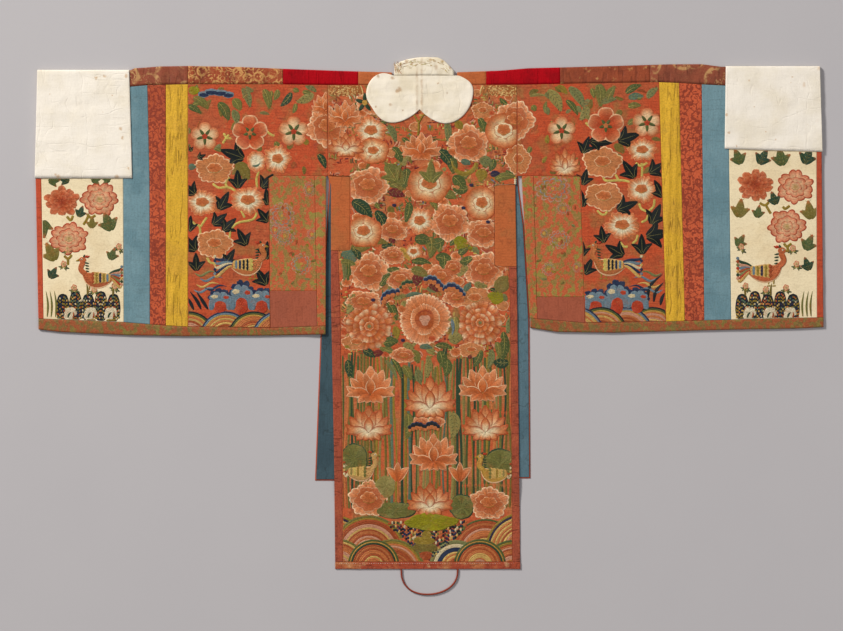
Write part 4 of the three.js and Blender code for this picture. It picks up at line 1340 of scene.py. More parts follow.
@dataclass
class Needlework:
    """Raised stitching on one panel, gathered into one mesh.

    Args:
        name: the name of its object.
        ground: the panel that it lies on.
        limits: the panel's left, right, lower and upper line.
        seed: fixes the small irregularities.
    """

    name: str
    ground: Cut
    limits: tuple[Line, Line, Line, Line]
    seed: int = 1
    parts: list[tuple[Array, Array, Array, Array]] = field(default_factory=list)

    LAYER = 0.2
    SUNK = -0.35
    MARGIN = 1.4
    ACROSS = np.array([-1, -0.97, -0.87, -0.76, -0.4, 0, 0.4, 0.76, 0.87, 0.97, 1])
    SOME = np.array([-1, -0.9, -0.5, 0, 0.5, 0.9, 1])
    THIN = np.array([-1, -0.85, 0, 0.85, 1])
    RINGS = np.array([0, 0.3, 0.48, 0.66, 0.84, 0.9, 0.935, 0.985, 1])
    FEW_RINGS = np.array([0, 0.55, 0.86, 0.93, 0.985, 1])
    SMALL = 17.0

    def __post_init__(self) -> None:
        """Starts the panel's own draw of small irregularities."""
        self.draw = random.Random(self.seed)
        self.noise = np.random.default_rng(self.seed)

    def keep(self, x: Array, y: Array) -> tuple[Array, Array, Array]:
        """Moves points that are off the panel to its edge.

        Args:
            x: places in millimetres.
            y: places in millimetres.

        Returns:
            x, y, and which points were off it.
        """
        left, right, low, high = self.limits
        m = self.MARGIN
        px = np.clip(x, left(y) + m, right(y) - m)
        py = np.clip(y, low(px) + m, high(px) - m)
        return px, py, (px != x) | (py != y)

    def grid(self, x: Array, y: Array, lift: Array, colour: Array, u: Array, v: Array,
             wrap: bool = False) -> None:
        """Adds a grid of points as one stitched shape.

        Args:
            x: places, a row for each station.
            y: places, likewise.
            lift: heights over the cloth.
            colour: linear colours.
            u: distance across the threads, in millimetres.
            v: distance along the threads.
            wrap: whether the last column joins the first.
        """
        px, py, off = self.keep(x, y)
        z = self.ground.face(px, py) + lift
        rows, columns = x.shape
        index = np.arange(rows * columns).reshape(rows, columns)
        here = index if wrap else index[:, :-1]
        after = np.roll(index, -1, 1) if wrap else index[:, 1:]
        quads = np.stack([here[:-1], here[1:], after[1:], after[:-1]], -1).reshape(-1, 4)
        if wrap and np.ptp(x[0]) == 0:
            quads[:columns, 3] = quads[:columns, 0]
        quads = quads[~off.ravel()[quads].all(1)]
        if not len(quads):
            return
        flat = np.stack([px.ravel(), py.ravel()], -1)
        a, b, c, d = (flat[quads[:, k]] for k in range(4))
        spans = (c - a)[:, 0] * (d - b)[:, 1] - (c - a)[:, 1] * (d - b)[:, 0]
        if spans.sum() < 0:
            quads = quads[:, ::-1]
        quads = quads[np.abs(spans) > 1e-3]
        used = np.unique(quads)
        number = np.zeros(rows * columns, int)
        number[used] = np.arange(len(used))
        points = np.stack([px.ravel(), py.ravel(), z.ravel()], -1)[used]
        uv = np.stack([u.ravel(), v.ravel()], -1)[used]
        self.parts.append((points, number[quads], uv, colour.reshape(-1, 3)[used]))

    def blade(self, spine: Iterable[tuple[float, float]], half: float, thread: Thread | str, tier: float = 1,
              profile: Profile = Profile.LEAF, count: int = 9, dome: float = 0.25, thin: bool = False,
              slant: bool = False) -> None:
        """Stitches a long shape along a curve.

        Args:
            spine: points that the middle runs through.
            half: the greatest half width.
            thread: its colours.
            tier: how many layers of thread lie under it.
            profile: how its width changes.
            count: stations along it.
            dome: how much its middle stands up.
            thin: whether fewer points across will do.
            slant: whether the threads lie across it.
        """
        thread = FLOSS[thread] if isinstance(thread, str) else thread
        line = curve(spine, count)
        run = np.gradient(line, axis=0)
        length = np.maximum(np.linalg.norm(run, axis=1, keepdims=True), 1e-6)
        normal = np.stack([-run[:, 1], run[:, 0]], -1) / length
        s = np.linspace(0, 1, count)
        width = half * profile.widths(s) + 0.05
        plain_edge = profile in (Profile.LEAF, Profile.RIBBON, Profile.TAPER) and not thread.rim
        t = self.THIN if thin else self.SOME if plain_edge else self.ACROSS
        x = line[:, :1] + normal[:, :1] * width[:, None] * t
        y = line[:, 1:] + normal[:, 1:] * width[:, None] * t
        inner = np.abs(t) < 1
        lift = np.where(inner, tier * self.LAYER + dome * (1 - t**2), self.SUNK) * np.ones((count, 1))
        lift[0] = self.SUNK
        lift[-1] = self.SUNK
        colour = np.repeat(thread.along(s)[:, None, :], len(t), 1)
        if thread.soft:
            share = 0.9 * np.maximum(smooth(0.42, 0.95, np.abs(t))[None, :], smooth(0.75, 1.0, s)[:, None])
            colour = colour + (linear(thread.rim) - colour) * share[..., None]
        elif thread.rim:
            edge = (np.abs(t) >= 0.82) | (s[:, None] > 0.92)
            colour = np.where(edge[..., None], linear(thread.rim), colour)
        shape = (count, 1) if slant else (1, len(t))
        colour = colour * (1 + thread.streak * self.noise.uniform(-1, 1, shape))[..., None]
        far = np.concatenate([[0], np.cumsum(np.linalg.norm(np.diff(line, axis=0), axis=1))])[:, None]
        across, along = width[:, None] * t, far + 0 * x
        u, v = (along, across) if slant else (across, along)
        self.grid(x, y, lift, np.clip(colour, 0, 1), u, v)

    def rosette(self, x: float, y: float, wide: float, tall: float, thread: Thread | str, petals: int = 14,
                depth: float = 0.12, tier: float = 1, lobes: int = 0, dome: float = 0.35, fray: float = 0.0,
                turn: float = 0.0, rings: Array | None = None) -> None:
        """Stitches a round shape with a scalloped edge.

        Args:
            x: its middle.
            y: its middle.
            wide: half its width.
            tall: half its height.
            thread: colours from its middle to its edge.
            petals: how many scallops it has.
            depth: how deep they are, as a share of the radius.
            tier: how many layers of thread lie under it.
            lobes: how many larger lobes the scallops stand on.
            dome: how much its middle stands up.
            fray: how ragged its edge is.
            turn: turns the scallops, in degrees.
            rings: shares of the radius at which it has points.
        """
        thread = FLOSS[thread] if isinstance(thread, str) else thread
        small = max(wide, tall) < self.SMALL
        spokes = petals * (4 if small and petals > 6 else 6) if petals else (16 if small else 28)
        angle = np.arange(spokes) * 2 * math.pi / spokes
        phase = math.radians(turn)
        reach = np.ones(spokes)
        if petals:
            reach -= depth * (1 - np.abs(np.sin(petals * (angle - phase) / 2)) ** 0.6)
        if lobes:
            reach *= 1 + 0.08 * np.cos(lobes * (angle - phase) + self.draw.uniform(0, 6.28))
        reach *= 1 + 0.03 * np.sin(3 * angle + self.draw.uniform(0, 6.28))
        reach *= 1 - fray * self.noise.uniform(0, 1, spokes)
        share = (rings if rings is not None else self.FEW_RINGS if small else self.RINGS)[:, None]
        px = x + wide * share * reach * np.cos(angle)
        py = y + tall * share * reach * np.sin(angle)
        lift = np.where(share < 1, tier * self.LAYER + dome * (1 - share**2), self.SUNK) + 0 * px
        jitter = self.noise.uniform(-0.5, 0.5, spokes) * (0.12 if not thread.rim else 0.03)
        colour = thread.along(np.clip(share + jitter * (share > 0.1), 0, 1))
        if thread.rim:
            colour = np.where((share >= 0.93)[..., None], linear(thread.rim), colour)
        colour = colour * (1 + thread.streak * self.noise.uniform(-1, 1, (1, spokes)))[..., None]
        u = angle * (wide + tall) / 2 * 0.6 + 0 * px
        self.grid(px, py, lift, np.clip(colour, 0, 1), u, share * (wide + tall) / 2 + 0 * px, wrap=True)

    def arc(self, x: float, y: float, radius: float, half: float, thread: str, start: float, stop: float,
            tier: float = 1, flat: float = 1.0) -> None:
        """Stitches a band along part of a circle or an ellipse.

        Args:
            x: the centre.
            y: the centre.
            radius: half the width of the ellipse.
            half: half the band's width.
            thread: its colours.
            start: where it starts, in degrees.
            stop: where it ends.
            tier: how many layers of thread lie under it.
            flat: the ellipse's height over its width.
        """
        angles = np.radians(np.linspace(start, stop, 15))
        points = [(x + radius * math.cos(a), y + radius * flat * math.sin(a)) for a in angles]
        self.blade(points, half, thread, tier, Profile.RIBBON, 21, 0.1, thin=True)

    def finish(self, dresser: Dresser, slot: str) -> bpy.types.Object:
        """Joins the shapes into one object and dresses it.

        Args:
            dresser: dresses the object.
            slot: the slot that it belongs to; not used.

        Returns:
            The stitched object.
        """
        offset = 0
        faces = []
        for points, quads, _, _ in self.parts:
            faces.append(quads + offset)
            offset += len(points)
        made = new_object(self.name, np.concatenate([p[0] for p in self.parts]), np.concatenate(faces),
                          np.concatenate([p[2] for p in self.parts]),
                          np.concatenate([p[3] for p in self.parts]))
        dresser.trim(made, "floss_silk")
        return made


@dataclass
class Garden(Needlework):
    """The robe's flowers, leaves, water and small creatures in stitches."""

    def smile(self, x: float, y: float, wide: float, tier: float) -> None:
        """Stitches the thin dark line under a flower's crown."""
        self.blade([(x - wide, y), (x, y - 0.32 * wide), (x + wide, y)], 0.55, "ochre", tier, Profile.RIBBON,
                   9, 0.05, thin=True)

    def star(self, x: float, y: float, r: float, turn: float = 90.0) -> None:
        """Stitches a pale blossom of five petals with a green star.

        Args:
            x: its middle.
            y: its middle.
            r: its radius.
            turn: turns it, in degrees.
        """
        for k in range(5):
            self.blade(ray(x, y, turn + 72 * k, r), 0.44 * r, "star", 1 + 0.12 * k, Profile.ROUND, 12)
        for k in range(5):
            self.blade(ray(x, y, turn + 36 + 72 * k, 0.62 * r), 0.11 * r, "green", 3.2, Profile.POINT,
                       thin=True)
        self.rosette(x, y, 0.2 * r, 0.2 * r, "scarlet", 7, 0.1, 3.6)

    def blossom(self, x: float, y: float, r: float, turn: float = 90.0) -> None:
        """Stitches a red blossom of five round petals with pale edges.

        Args:
            x: its middle.
            y: its middle.
            r: its radius.
            turn: turns it, in degrees.
        """
        for k in range(5):
            self.blade(ray(x, y, turn + 72 * k, r), 0.45 * r, "red_petal", 1 + 0.14 * k, Profile.ROUND, 16)
        for k in range(5):
            self.blade(ray(x, y, turn + 36 + 72 * k, 0.4 * r), 0.09 * r, "green", 3.2, Profile.POINT,
                       thin=True)
        self.rosette(x, y, 0.15 * r, 0.15 * r, "tangerine", 7, 0.1, 3.6)

    def skirt(self, x: float, y: float, wide: float, tall: float, thread: str, petals: int, tier: float,
              start: float = 0.3, turn: float = 0.0) -> None:
        """Stitches a ring of round petals.

        Args:
            x: its middle.
            y: its middle.
            wide: half its width.
            tall: half its height.
            thread: its colours.
            petals: how many petals it has.
            tier: how many layers of thread lie under it.
            start: where the petals start, as a share of the radius.
            turn: turns it, in degrees.
        """
        for k in range(petals):
            angle = math.radians(turn + 360 * k / petals + self.draw.uniform(-4, 4))
            dx, dy = math.cos(angle), math.sin(angle)
            reach = self.draw.uniform(0.94, 1.03)
            middle = [(x + s * wide * dx, y + s * tall * dy) for s in (start, reach)]
            self.blade(middle, 3.5 * math.hypot(wide * dy, tall * dx) / petals, thread, tier + 0.12 * (k % 3),
                       Profile.ROUND, 10)

    def peony(self, x: float, y: float, wide: float, tall: float, kind: str = "coral", turn: float = 0.0,
              tier: float = 1.0) -> None:
        """Stitches a peony: scalloped skirts round a small crown.

        Args:
            x: its middle.
            y: its middle.
            wide: half its width.
            tall: half its height.
            kind: thread of its petals.
            turn: turns it, in degrees.
            tier: how many layers of thread lie under it.
        """
        if kind == "pale":
            self.rosette(x, y, 0.93 * wide, 0.93 * tall, "white_under", 11, 0.1, tier, fray=0.12, turn=turn)
            self.skirt(x, y, wide, tall, "white_petal", 7, tier + 0.8, 0.3, turn)
            self.rosette(x, y + 0.02 * tall, 0.52 * wide, 0.48 * tall, "white_ring", 6, 0.2, tier + 2,
                         turn=turn)
            self.rosette(x, y + 0.06 * tall, 0.38 * wide, 0.36 * tall, "white_crown", 5, 0.24, tier + 3,
                         turn=turn + 15)
            self.smile(x, y - 0.1 * tall, 0.32 * wide, tier + 4.4)
            return
        if kind == "white":
            self.rosette(x, y, wide, tall, kind, 15, 0.14, tier, 5, fray=0.12, turn=turn)
            self.rosette(x, y + 0.05 * tall, 0.46 * wide, 0.38 * tall, "white_crown", 5, 0.24, tier + 2,
                         turn=turn + 15)
            self.smile(x, y - 0.12 * tall, 0.34 * wide, tier + 3.4)
            return
        self.rosette(x, y, wide, tall, kind, 17, 0.12, tier, 5, turn=turn)
        if kind == "coral":
            self.rosette(x, y - 0.02 * tall, 0.74 * wide, 0.72 * tall, "dim_outline", 11, 0.14, tier + 1, 5,
                         turn=turn)
        self.rosette(x, y + 0.06 * tall, 0.43 * wide, 0.36 * tall, "coral_crown", 6, 0.22, tier + 2,
                     turn=turn + 15)
        self.smile(x, y - 0.12 * tall, 0.34 * wide, tier + 3.4)

    def bud(self, x: float, y: float, r: float, turn: float = 90.0) -> None:
        """Stitches an opening bud with a pale heart."""
        self.rosette(x, y, r, 1.1 * r, "white", 7, 0.16, 1, fray=0.08, turn=turn)
        self.blade(ray(x - 0.5 * r, y - 0.4 * r, 20, r, -0.2), 0.12 * r, "blue_green", 2.4, thin=True)

    def mum(self, x: float, y: float, r: float) -> None:
        """Stitches a chrysanthemum in three rings of pale-tipped petals.

        Args:
            x: its middle.
            y: its middle.
            r: its radius.
        """
        self.rosette(x, y, 0.96 * r, 0.96 * r, "tangerine", 20, 0.1, 1)
        for reach, petals, tier, start in ((1.0, 19, 1.6, 0.5), (0.72, 14, 2.5, 0.3), (0.46, 9, 3.4, 0.12)):
            for k in range(petals):
                angle = math.radians(360 * k / petals + 9 * tier + self.draw.uniform(-4, 4))
                dx, dy = r * math.cos(angle), r * math.sin(angle)
                far = reach * self.draw.uniform(0.93, 1.05)
                self.blade([(x + start * dx, y + start * dy), (x + far * dx, y + far * dy)], 0.175 * r,
                           self.draw.choice(("mum", "mum_red")), tier + 0.1 * (k % 2), Profile.ROUND, 7)
        self.rosette(x, y, 0.19 * r, 0.19 * r, "coral_crown", 7, 0.14, 4.4)
        self.rosette(x, y, 0.1 * r, 0.1 * r, "sage", 5, 0.2, 5.2)

    def medallion(self, x: float, y: float, r: float) -> None:
        """Stitches the back's great round peony: two scalloped skirts about a small trefoil.

        Args:
            x: its middle.
            y: its middle.
            r: its radius.
        """
        self.rosette(x, y, r, r, "coral", 34, 0.07, 1)
        self.rosette(x, y, 0.58 * r, 0.62 * r, "coral", 22, 0.05, 2, turn=5)
        self.rosette(x, y, 0.38 * r, 0.4 * r, "ember", 0, tier=2.9)
        self.arc(x, y + 0.02 * r, 0.3 * r, 1.3, "brick", 30, 150, 3.6)
        self.rosette(x, y - 0.02 * r, 0.25 * r, 0.25 * r, "pink", 3, 0.4, 3.8, turn=-30)

    def lily(self, x: float, y: float, wide: float, tall: float) -> None:
        """Stitches an opening lotus bud of three petals.

        Args:
            x: its middle.
            y: its middle.
            wide: half its width.
            tall: half its height.
        """
        for angle, reach in ((128, 0.92), (52, 0.92), (90, 1.0)):
            self.blade(ray(x, y - tall, angle, 2 * tall * reach, 0.1 * (90 - angle) / 38), 0.3 * wide,
                       "coral", 1 + 0.3 * (angle == 90), Profile.POINT, 12)

    def lotus(self, x: float, y: float, wide: float, tall: float, kind: str = "coral",
              tier: float = 1.0) -> None:
        """Stitches a lotus seen from the side, its petals fanned from the foot.

        Args:
            x: its middle.
            y: its middle.
            wide: half its width.
            tall: half its height.
            kind: thread of its petals.
            tier: how many layers of thread lie under it.
        """
        foot = y - 0.6 * tall
        fan = ((90, 1.0, 0.25), (63, 1.0, 0.23), (117, 1.0, 0.23), (40, 1.0, 0.21), (140, 1.0, 0.21),
               (76, 0.78, 0.2),
               (104, 0.78, 0.2), (19, 1.02, 0.19), (161, 1.02, 0.19), (-4, 0.98, 0.19), (184, 0.98, 0.19),
               (-34, 0.8, 0.17), (214, 0.8, 0.17), (-64, 0.66, 0.16), (244, 0.66, 0.16), (90, 0.55, 0.19))
        for k, (angle, reach, broad) in enumerate(fan):
            c, s = bearing(angle)
            length = reach / math.hypot(c / wide, s / (1.5 * tall if s > 0 else 0.7 * tall))
            bend = 0.12 * c * (-1 if s > 0.2 else 1)
            self.blade(ray(x, foot, angle, length, bend), broad * wide, kind, tier + 0.2 * k, Profile.POINT,
                       12)

    def sprig(self, x: float, y: float, r: float) -> None:
        """Stitches a dark star of leaves round a yellow eye.

        Args:
            x: its middle.
            y: its middle.
            r: its radius.
        """
        for k in range(5):
            self.blade(ray(x, y, 90 + 72 * k, r), 0.2 * r, "bottle", 4.6, Profile.POINT, thin=True)
        self.rosette(x, y, 0.26 * r, 0.26 * r, "yellow", 0, tier=5.6)

    def bank(self, points: Sequence[tuple[float, float]], half: float, thread: str, edge: str,
             tier: float) -> None:
        """Stitches a scalloped bank of cloud along a curve: a pale edge, dark puffs and a warm foot.

        Args:
            points: places that it runs through.
            half: half a puff's width.
            thread: thread of the puffs.
            edge: thread of the edge.
            tier: how many layers of thread lie under it.
        """
        length = float(np.hypot(*np.diff(np.array(points), axis=0).T).sum())
        spots = curve(points, max(4, round(length / (1.15 * half)) + 1))
        rows = (0.22, 0.98, edge), (0.0, 0.86, thread), (-0.8, 0.72, "tangerine")
        for row, (off, size, tint) in enumerate(rows):
            for k, (x, y) in enumerate(spots):
                puff = half * size * (0.7 if k in (0, len(spots) - 1) else 1)
                self.rosette(x, y + off * half, puff, puff, tint, 0, tier=tier + row)

    def leaf(self, x: float, y: float, length: float, half: float, angle: float, thread: str = "green",
             tier: float = 0.6, bend: float = 0.08) -> None:
        """Stitches a simple leaf with its vein; a long one gets slanting strokes.

        Args:
            x: its foot.
            y: its foot.
            length: its length.
            half: half its width.
            angle: its direction, in degrees.
            thread: its colours.
            tier: how many layers of thread lie under it.
            bend: how far its middle lies off the straight line.
        """
        self.blade(ray(x, y, angle, length, bend), half, thread, tier, Profile.LEAF, 9, 0.2)
        vein = "khaki" if thread in ("green", "moss", "bottle") else "olive"
        self.blade(ray(x, y, angle, 0.86 * length, bend), 0.5, "vein" if thread == "dark_leaf" else vein,
                   tier + 1.4, Profile.TAPER, 7, 0.02, thin=True)
        if length < 34 or half < 7 or thread == "dark_leaf":
            return
        for station in curve(ray(x, y, angle, length, bend), max(4, round(length / 7)))[1:-1]:
            for side in (-1, 1):
                heading = angle + side * 48
                self.blade(ray(*station, heading, 0.9 * half), 0.5,
                           "bottle" if thread in ("pale", "sage") else "pale",
                           tier + 1.3, Profile.RIBBON, 4, 0.02, thin=True)

    def trefoil(self, x: float, y: float, size: float, angle: float, thread: str = "dark_leaf",
                tier: float = 0.6, full: float = 1.0) -> None:
        """Stitches a leaf of three lobes, as a tree peony has; full widens them.

        Args:
            x: its foot.
            y: its foot.
            size: its length.
            angle: its direction, in degrees.
            thread: its colours.
            tier: how many layers of thread lie under it.
            full: widens the lobes.
        """
        for side, reach, broad in ((44, 0.82, 0.16), (-44, 0.82, 0.16), (0, 1.12, 0.21)):
            self.leaf(x, y, size * reach, full * size * broad, angle + side, thread, tier + (side == 0) * 0.3,
                      0.14 * (side < 0) - 0.14 * (side > 0))

    def stem(self, points: Sequence[tuple[float, float]], half: float = 2.9, thread: str = "khaki",
             tier: float = 0.4) -> None:
        """Stitches a stem."""
        self.blade(points, half, thread, tier, Profile.RIBBON, 4 * len(points), 0.2, thin=True, slant=True)

    def wave(self, x: float, y: float, radius: float, bands: Sequence[tuple[float, str]], tier: float,
             start: float = 0.0, stop: float = 180.0) -> None:
        """Stitches nested arcs of water, the outermost band first.

        Args:
            x: the arcs' centre.
            y: the arcs' centre.
            radius: the outer radius.
            bands: how wide each band is, and its thread.
            tier: the layer of the outermost band.
            start: where the arcs begin, in degrees.
            stop: where they end.
        """
        reach = radius
        for wide, thread in bands:
            self.arc(x, y, reach - wide / 2, wide / 2 + 0.3, thread, start, stop, tier)
            reach -= wide
        while reach > 4:
            wide = self.draw.uniform(3.2, 5.2)
            thread = self.draw.choice(("tangerine", "gold", "rust", "pink", "tangerine"))
            self.arc(x, y, reach - wide / 2, wide / 2 + 0.3, thread, start, stop, tier)
            reach -= wide

    def cloud(self, x: float, y: float, wide: float, thread: str, edge: str, tier: float = 0.6) -> None:
        """Stitches a drifting cloud of flat lobes.

        Args:
            x: its middle.
            y: its middle.
            wide: half its width.
            thread: thread of the lobes.
            edge: thread of their edge.
            tier: how many layers of thread lie under it.
        """
        for k, (dx, dy, size) in enumerate(((-0.62, -0.02, 0.3), (-0.24, 0.1, 0.36), (0.2, 0.06, 0.38),
                                            (0.6, -0.04, 0.3))):
            self.rosette(x + dx * wide, y + dy * wide, size * wide, 0.17 * wide, edge, 6, 0.1, tier + 0.1 * k)
            self.rosette(x + dx * wide, y + (dy - 0.03) * wide, size * wide * 0.8, 0.11 * wide, thread, 6,
                         0.1, tier + 1 + 0.1 * k)

    def rocks(self, x: float, y: float, wide: float, tall: float) -> None:
        """Stitches cloud-edged rocks with round openings.

        Args:
            x: its middle.
            y: its foot.
            wide: half its width.
            tall: its height.
        """
        for k, (dx, share) in enumerate(((-0.62, 0.72), (0.66, 0.76), (0.04, 1.0))):
            cx, h, w = x + dx * wide, share * tall, 0.42 * wide
            tier = 0.8 + 0.5 * k
            self.rosette(cx, y + 0.62 * h, w, 0.5 * h, "navy", 9, 0.2, tier, fray=0.1)
            self.rosette(cx, y + 0.5 * h, 0.86 * w, 0.44 * h, "sky", 8, 0.14, tier + 1)
            for side in (-1, 1):
                self.blade([(cx + side * 0.62 * w, y + 0.6 * h), (cx + side * 0.66 * w, y - 4)], 0.2 * w,
                           "sky", tier + 1.1, Profile.RIBBON, 5)
            self.rosette(cx, y + 0.16 * h, 0.44 * w, 0.36 * h, "scarlet", 0, tier=tier + 2)
            self.rosette(cx - 0.4 * w, y + 0.66 * h, 0.3 * w, 0.1 * h, "cream", 5, 0.2, tier + 2)
            self.rosette(cx + 0.42 * w, y + 0.62 * h, 0.24 * w, 0.09 * h, "scarlet", 5, 0.2, tier + 2)

    def bird(self, x: float, y: float, size: float, facing: int, tint: str = "rust", wing: str = "dark_leaf",
             train: Sequence[str] = ("navy", "sky", "cream", "navy", "gold"), reach: float = 1.0,
             bands: Sequence[str] = ("khaki", "black", "black", "navy", "sky")) -> None:
        """Stitches a bird at rest: scaled breast, banded wing, crest and a curling train.

        Args:
            x: its middle.
            y: its middle.
            size: half the length of its body.
            facing: 1 to the right or -1 to the left.
            tint: thread of its body.
            wing: thread of its wing.
            train: threads of its tail feathers, the lowest last.
            reach: how long the tail is.
            bands: threads of the bands across its wing, the front one first.
        """
        def at(dx: float, dy: float) -> tuple[float, float]:
            """Gives a place by its distance from the middle, in sizes."""
            return x + facing * dx * size, y + dy * size

        for side in (0.0, 0.22):
            self.blade([at(0.02 + side, -0.2), at(0.0 + side, -0.62)], 0.035 * size, "ochre", 1.0,
                       Profile.RIBBON, 5, thin=True)
            self.blade([at(-0.1 + side, -0.64), at(0.14 + side, -0.62)], 0.03 * size, "ochre", 1.2,
                       Profile.RIBBON, 4, thin=True)
        for k, thread in enumerate(train):
            drop = 0.5 - 0.9 * k / len(train)
            end = at(-0.7 - reach, 0.1 + 1.1 * drop - 0.5 * reach)
            self.blade([at(-0.5, 0.02), at(-0.6 - 0.5 * reach, 0.16 + 0.4 * drop - 0.2 * reach), end,
                        (end[0] - facing * 0.12 * size, end[1] + 0.16 * size)], 0.08 * size, thread,
                       1 + 0.2 * k, Profile.LEAF, 13, thin=True)
            self.rosette(end[0] - facing * 0.1 * size, end[1] + 0.14 * size, 0.07 * size, 0.07 * size,
                         train[(k + 2) % len(train)], 5, 0.2, 3.2)
        body = [at(-0.95, 0.0), at(0.0, -0.1), at(0.62, 0.3)]
        self.blade(body, 0.41 * size, "peach", 2.0, Profile.LEAF, 14)
        self.blade(body, 0.37 * size, tint, 2.3, Profile.LEAF, 14)
        for row in range(4):
            for k in range(3):
                cx, cy = at(0.5 - 0.15 * k - 0.05 * row, 0.2 - 0.115 * row)
                self.blade([(cx - 0.07 * size, cy), (cx, cy - 0.06 * size), (cx + 0.07 * size, cy)],
                           0.018 * size, wing, 3.4, Profile.RIBBON, 5, 0.02, thin=True)
        for k, thread in enumerate(bands):
            for side in (0.17, -0.02, -0.2):
                puff = at(0.02 - 0.17 * k, side * (1 - 0.13 * k) + 0.02)
                self.rosette(*puff, 0.12 * size, 0.115 * size, "gold", 0, tier=5.4 - 0.6 * k)
                self.rosette(puff[0] + facing * 0.03 * size, puff[1], 0.1 * size, 0.1 * size, thread, 0,
                             tier=5.7 - 0.6 * k)
        self.blade([at(0.34, 0.12), at(0.64, 0.42), at(0.5, 0.82)], 0.13 * size, tint, 3.2, Profile.RIBBON,
                   11)
        for k in range(4):
            self.blade([at(0.42 + 0.02 * k, 0.34 + 0.13 * k), at(0.22, 0.3 + 0.13 * k)], 0.04 * size,
                       "bottle", 3.9, Profile.LEAF, 5, thin=True)
        self.rosette(*at(0.56, 0.86), 0.17 * size, 0.14 * size, tint, 0, tier=3.6)
        self.blade([at(0.68, 0.87), at(0.9, 0.8)], 0.07 * size, "ochre", 3.8, Profile.TAPER, 5, thin=True)
        self.rosette(*at(0.6, 0.89), 0.05 * size, 0.045 * size, "ivory", 0, tier=4.6)
        self.rosette(*at(0.61, 0.89), 0.026 * size, 0.026 * size, "black", 0, tier=5.2)
        for k in range(3):
            self.blade([at(0.52 - 0.06 * k, 0.96), at(0.44 - 0.12 * k, 1.12 - 0.03 * k)], 0.05 * size,
                       "scarlet" if k else "bottle", 4.0, Profile.LEAF, 6, thin=True)

    def scatter(self, count: int, box: tuple[float, float, float, float],
                taken: Sequence[tuple[float, float, float]],
                place: Callable[[float, float, int], None], apart: float) -> None:
        """Puts fillers where no flower is.

        Args:
            count: how many are tried for.
            box: x from, x to, y from, y to.
            taken: x, y and radius of what is there.
            place: stitches one at a place.
            apart: how far fillers stay from each other.
        """
        found: list[tuple[float, float]] = []
        for _ in range(count * 12):
            x, y = self.draw.uniform(*box[:2]), self.draw.uniform(*box[2:])
            clear = all(math.hypot(x - cx, y - cy) > 0.86 * r for cx, cy, r in taken)
            if clear and all(math.hypot(x - fx, y - fy) > apart for fx, fy in found):
                place(x, y, len(found))
                found.append((x, y))
            if len(found) == count:
                return

    def plant(self, rows: Iterable[tuple[str, float, float, float, float]]) -> None:
        """Stitches flowers from rows of kind, x, y, half width and half height.

        Args:
            rows: the flowers, a row for each.
        """
        for kind, x, y, wide, tall in rows:
            if kind in ("star", "blossom", "bud"):
                getattr(self, kind)(x, y, wide)
            elif kind == "mum":
                self.mum(x, y, wide)
            elif kind == "medallion":
                self.medallion(x, y, wide)
            elif kind == "lily":
                self.lily(x, y, wide, tall)
            elif kind.startswith("lotus"):
                self.lotus(x, y, wide, tall, "lotus_white" if kind == "lotus_white" else "coral")
            else:
                self.peony(x, y, wide, tall, kind, turn=self.draw.uniform(0, 20))

    def tufts(self, blades: Iterable[Sequence[tuple[float, float]]], half: float, thread: str) -> None:
        """Stitches blades of grass."""
        for points in blades:
            self.blade(points, half, thread, 1.2, Profile.LEAF, 10, thin=True)


WATER = (
    ((3.2, "black"), (4.0, "green"), (3.6, "yellow")),
    ((3.4, "navy"), (4.2, "sky"), (3.4, "yellow")),
)

SLEEVE_FLOWERS = {
    Side.LEFT: (
        ("star", -512, 403, 34, 34), ("blossom", -409, 411, 42, 42), ("star", -309, 414, 36, 36),
        ("coral", -232, 425, 48, 48), ("peach", -490, 329, 45, 34), ("bud", -394, 346, 24, 24),
        ("white", -346, 351, 33, 34), ("white", -518, 252, 38, 32), ("white", -414, 257, 42, 34),
        ("peach", -490, 158, 42, 34), ("lotus", -236, 480, 34, 30)),
    Side.RIGHT: (
        ("star", 302, 416, 34, 34), ("blossom", 403, 428, 43, 43), ("star", 497, 434, 35, 35),
        ("coral", 196, 440, 44, 46), ("peach", 395, 344, 46, 36), ("peach", 398, 266, 46, 33),
        ("white", 486, 372, 36, 28), ("white", 484, 282, 36, 32), ("white", 440, 200, 42, 34),
        ("lotus_white", 310, 348, 38, 36), ("peach", 203, 350, 30, 34)),
}
SLEEVE_LEAVES = {
    Side.LEFT: (
        (-541, 494, 50, 11, -38, "moss"), (-556, 474, 44, 8, -28, "green"), (-483, 483, 54, 13, -60, "green"),
        (-449, 490, 36, 12, -58, "moss"), (-428, 516, 54, 10, -68, "sage"), (-449, 466, 40, 10, -74, "sage"),
        (-379, 514, 54, 11, -74, "moss"), (-313, 506, 46, 9, 232, "bottle"), (-262, 503, 50, 11, 207, "pale"),
        (-285, 520, 34, 7, -30, "sage"), (-256, 366, 44, 9, -62, "bottle"), (-444, 345, 56, 16, -52, "olive"),
        (-548, 505, 22, 9, 10, "bright"), (-552, 330, 24, 8, 10, "blue_green"),
        (-345, 512, 30, 8, -110, "moss")),
    Side.RIGHT: (
        (268, 512, 66, 14, -58, "pale"), (290, 519, 34, 8, -38, "ochre"), (310, 488, 50, 8, -52, "green"),
        (316, 519, 68, 12, -54, "sage"), (384, 528, 62, 14, -84, "moss"), (362, 475, 42, 11, -118, "pale"),
        (386, 478, 46, 9, 14, "sage"), (406, 482, 44, 10, 62, "moss"), (446, 500, 46, 9, 28, "green"),
        (452, 490, 40, 9, 6, "blue_green"), (452, 470, 34, 8, 6, "moss"), (496, 488, 40, 9, 44, "sage"),
        (420, 385, 34, 10, -40, "olive"), (226, 494, 44, 4, 2, "pale"), (262, 470, 22, 8, -60, "sage"),
        (350, 452, 26, 6, -30, "pale")),
}
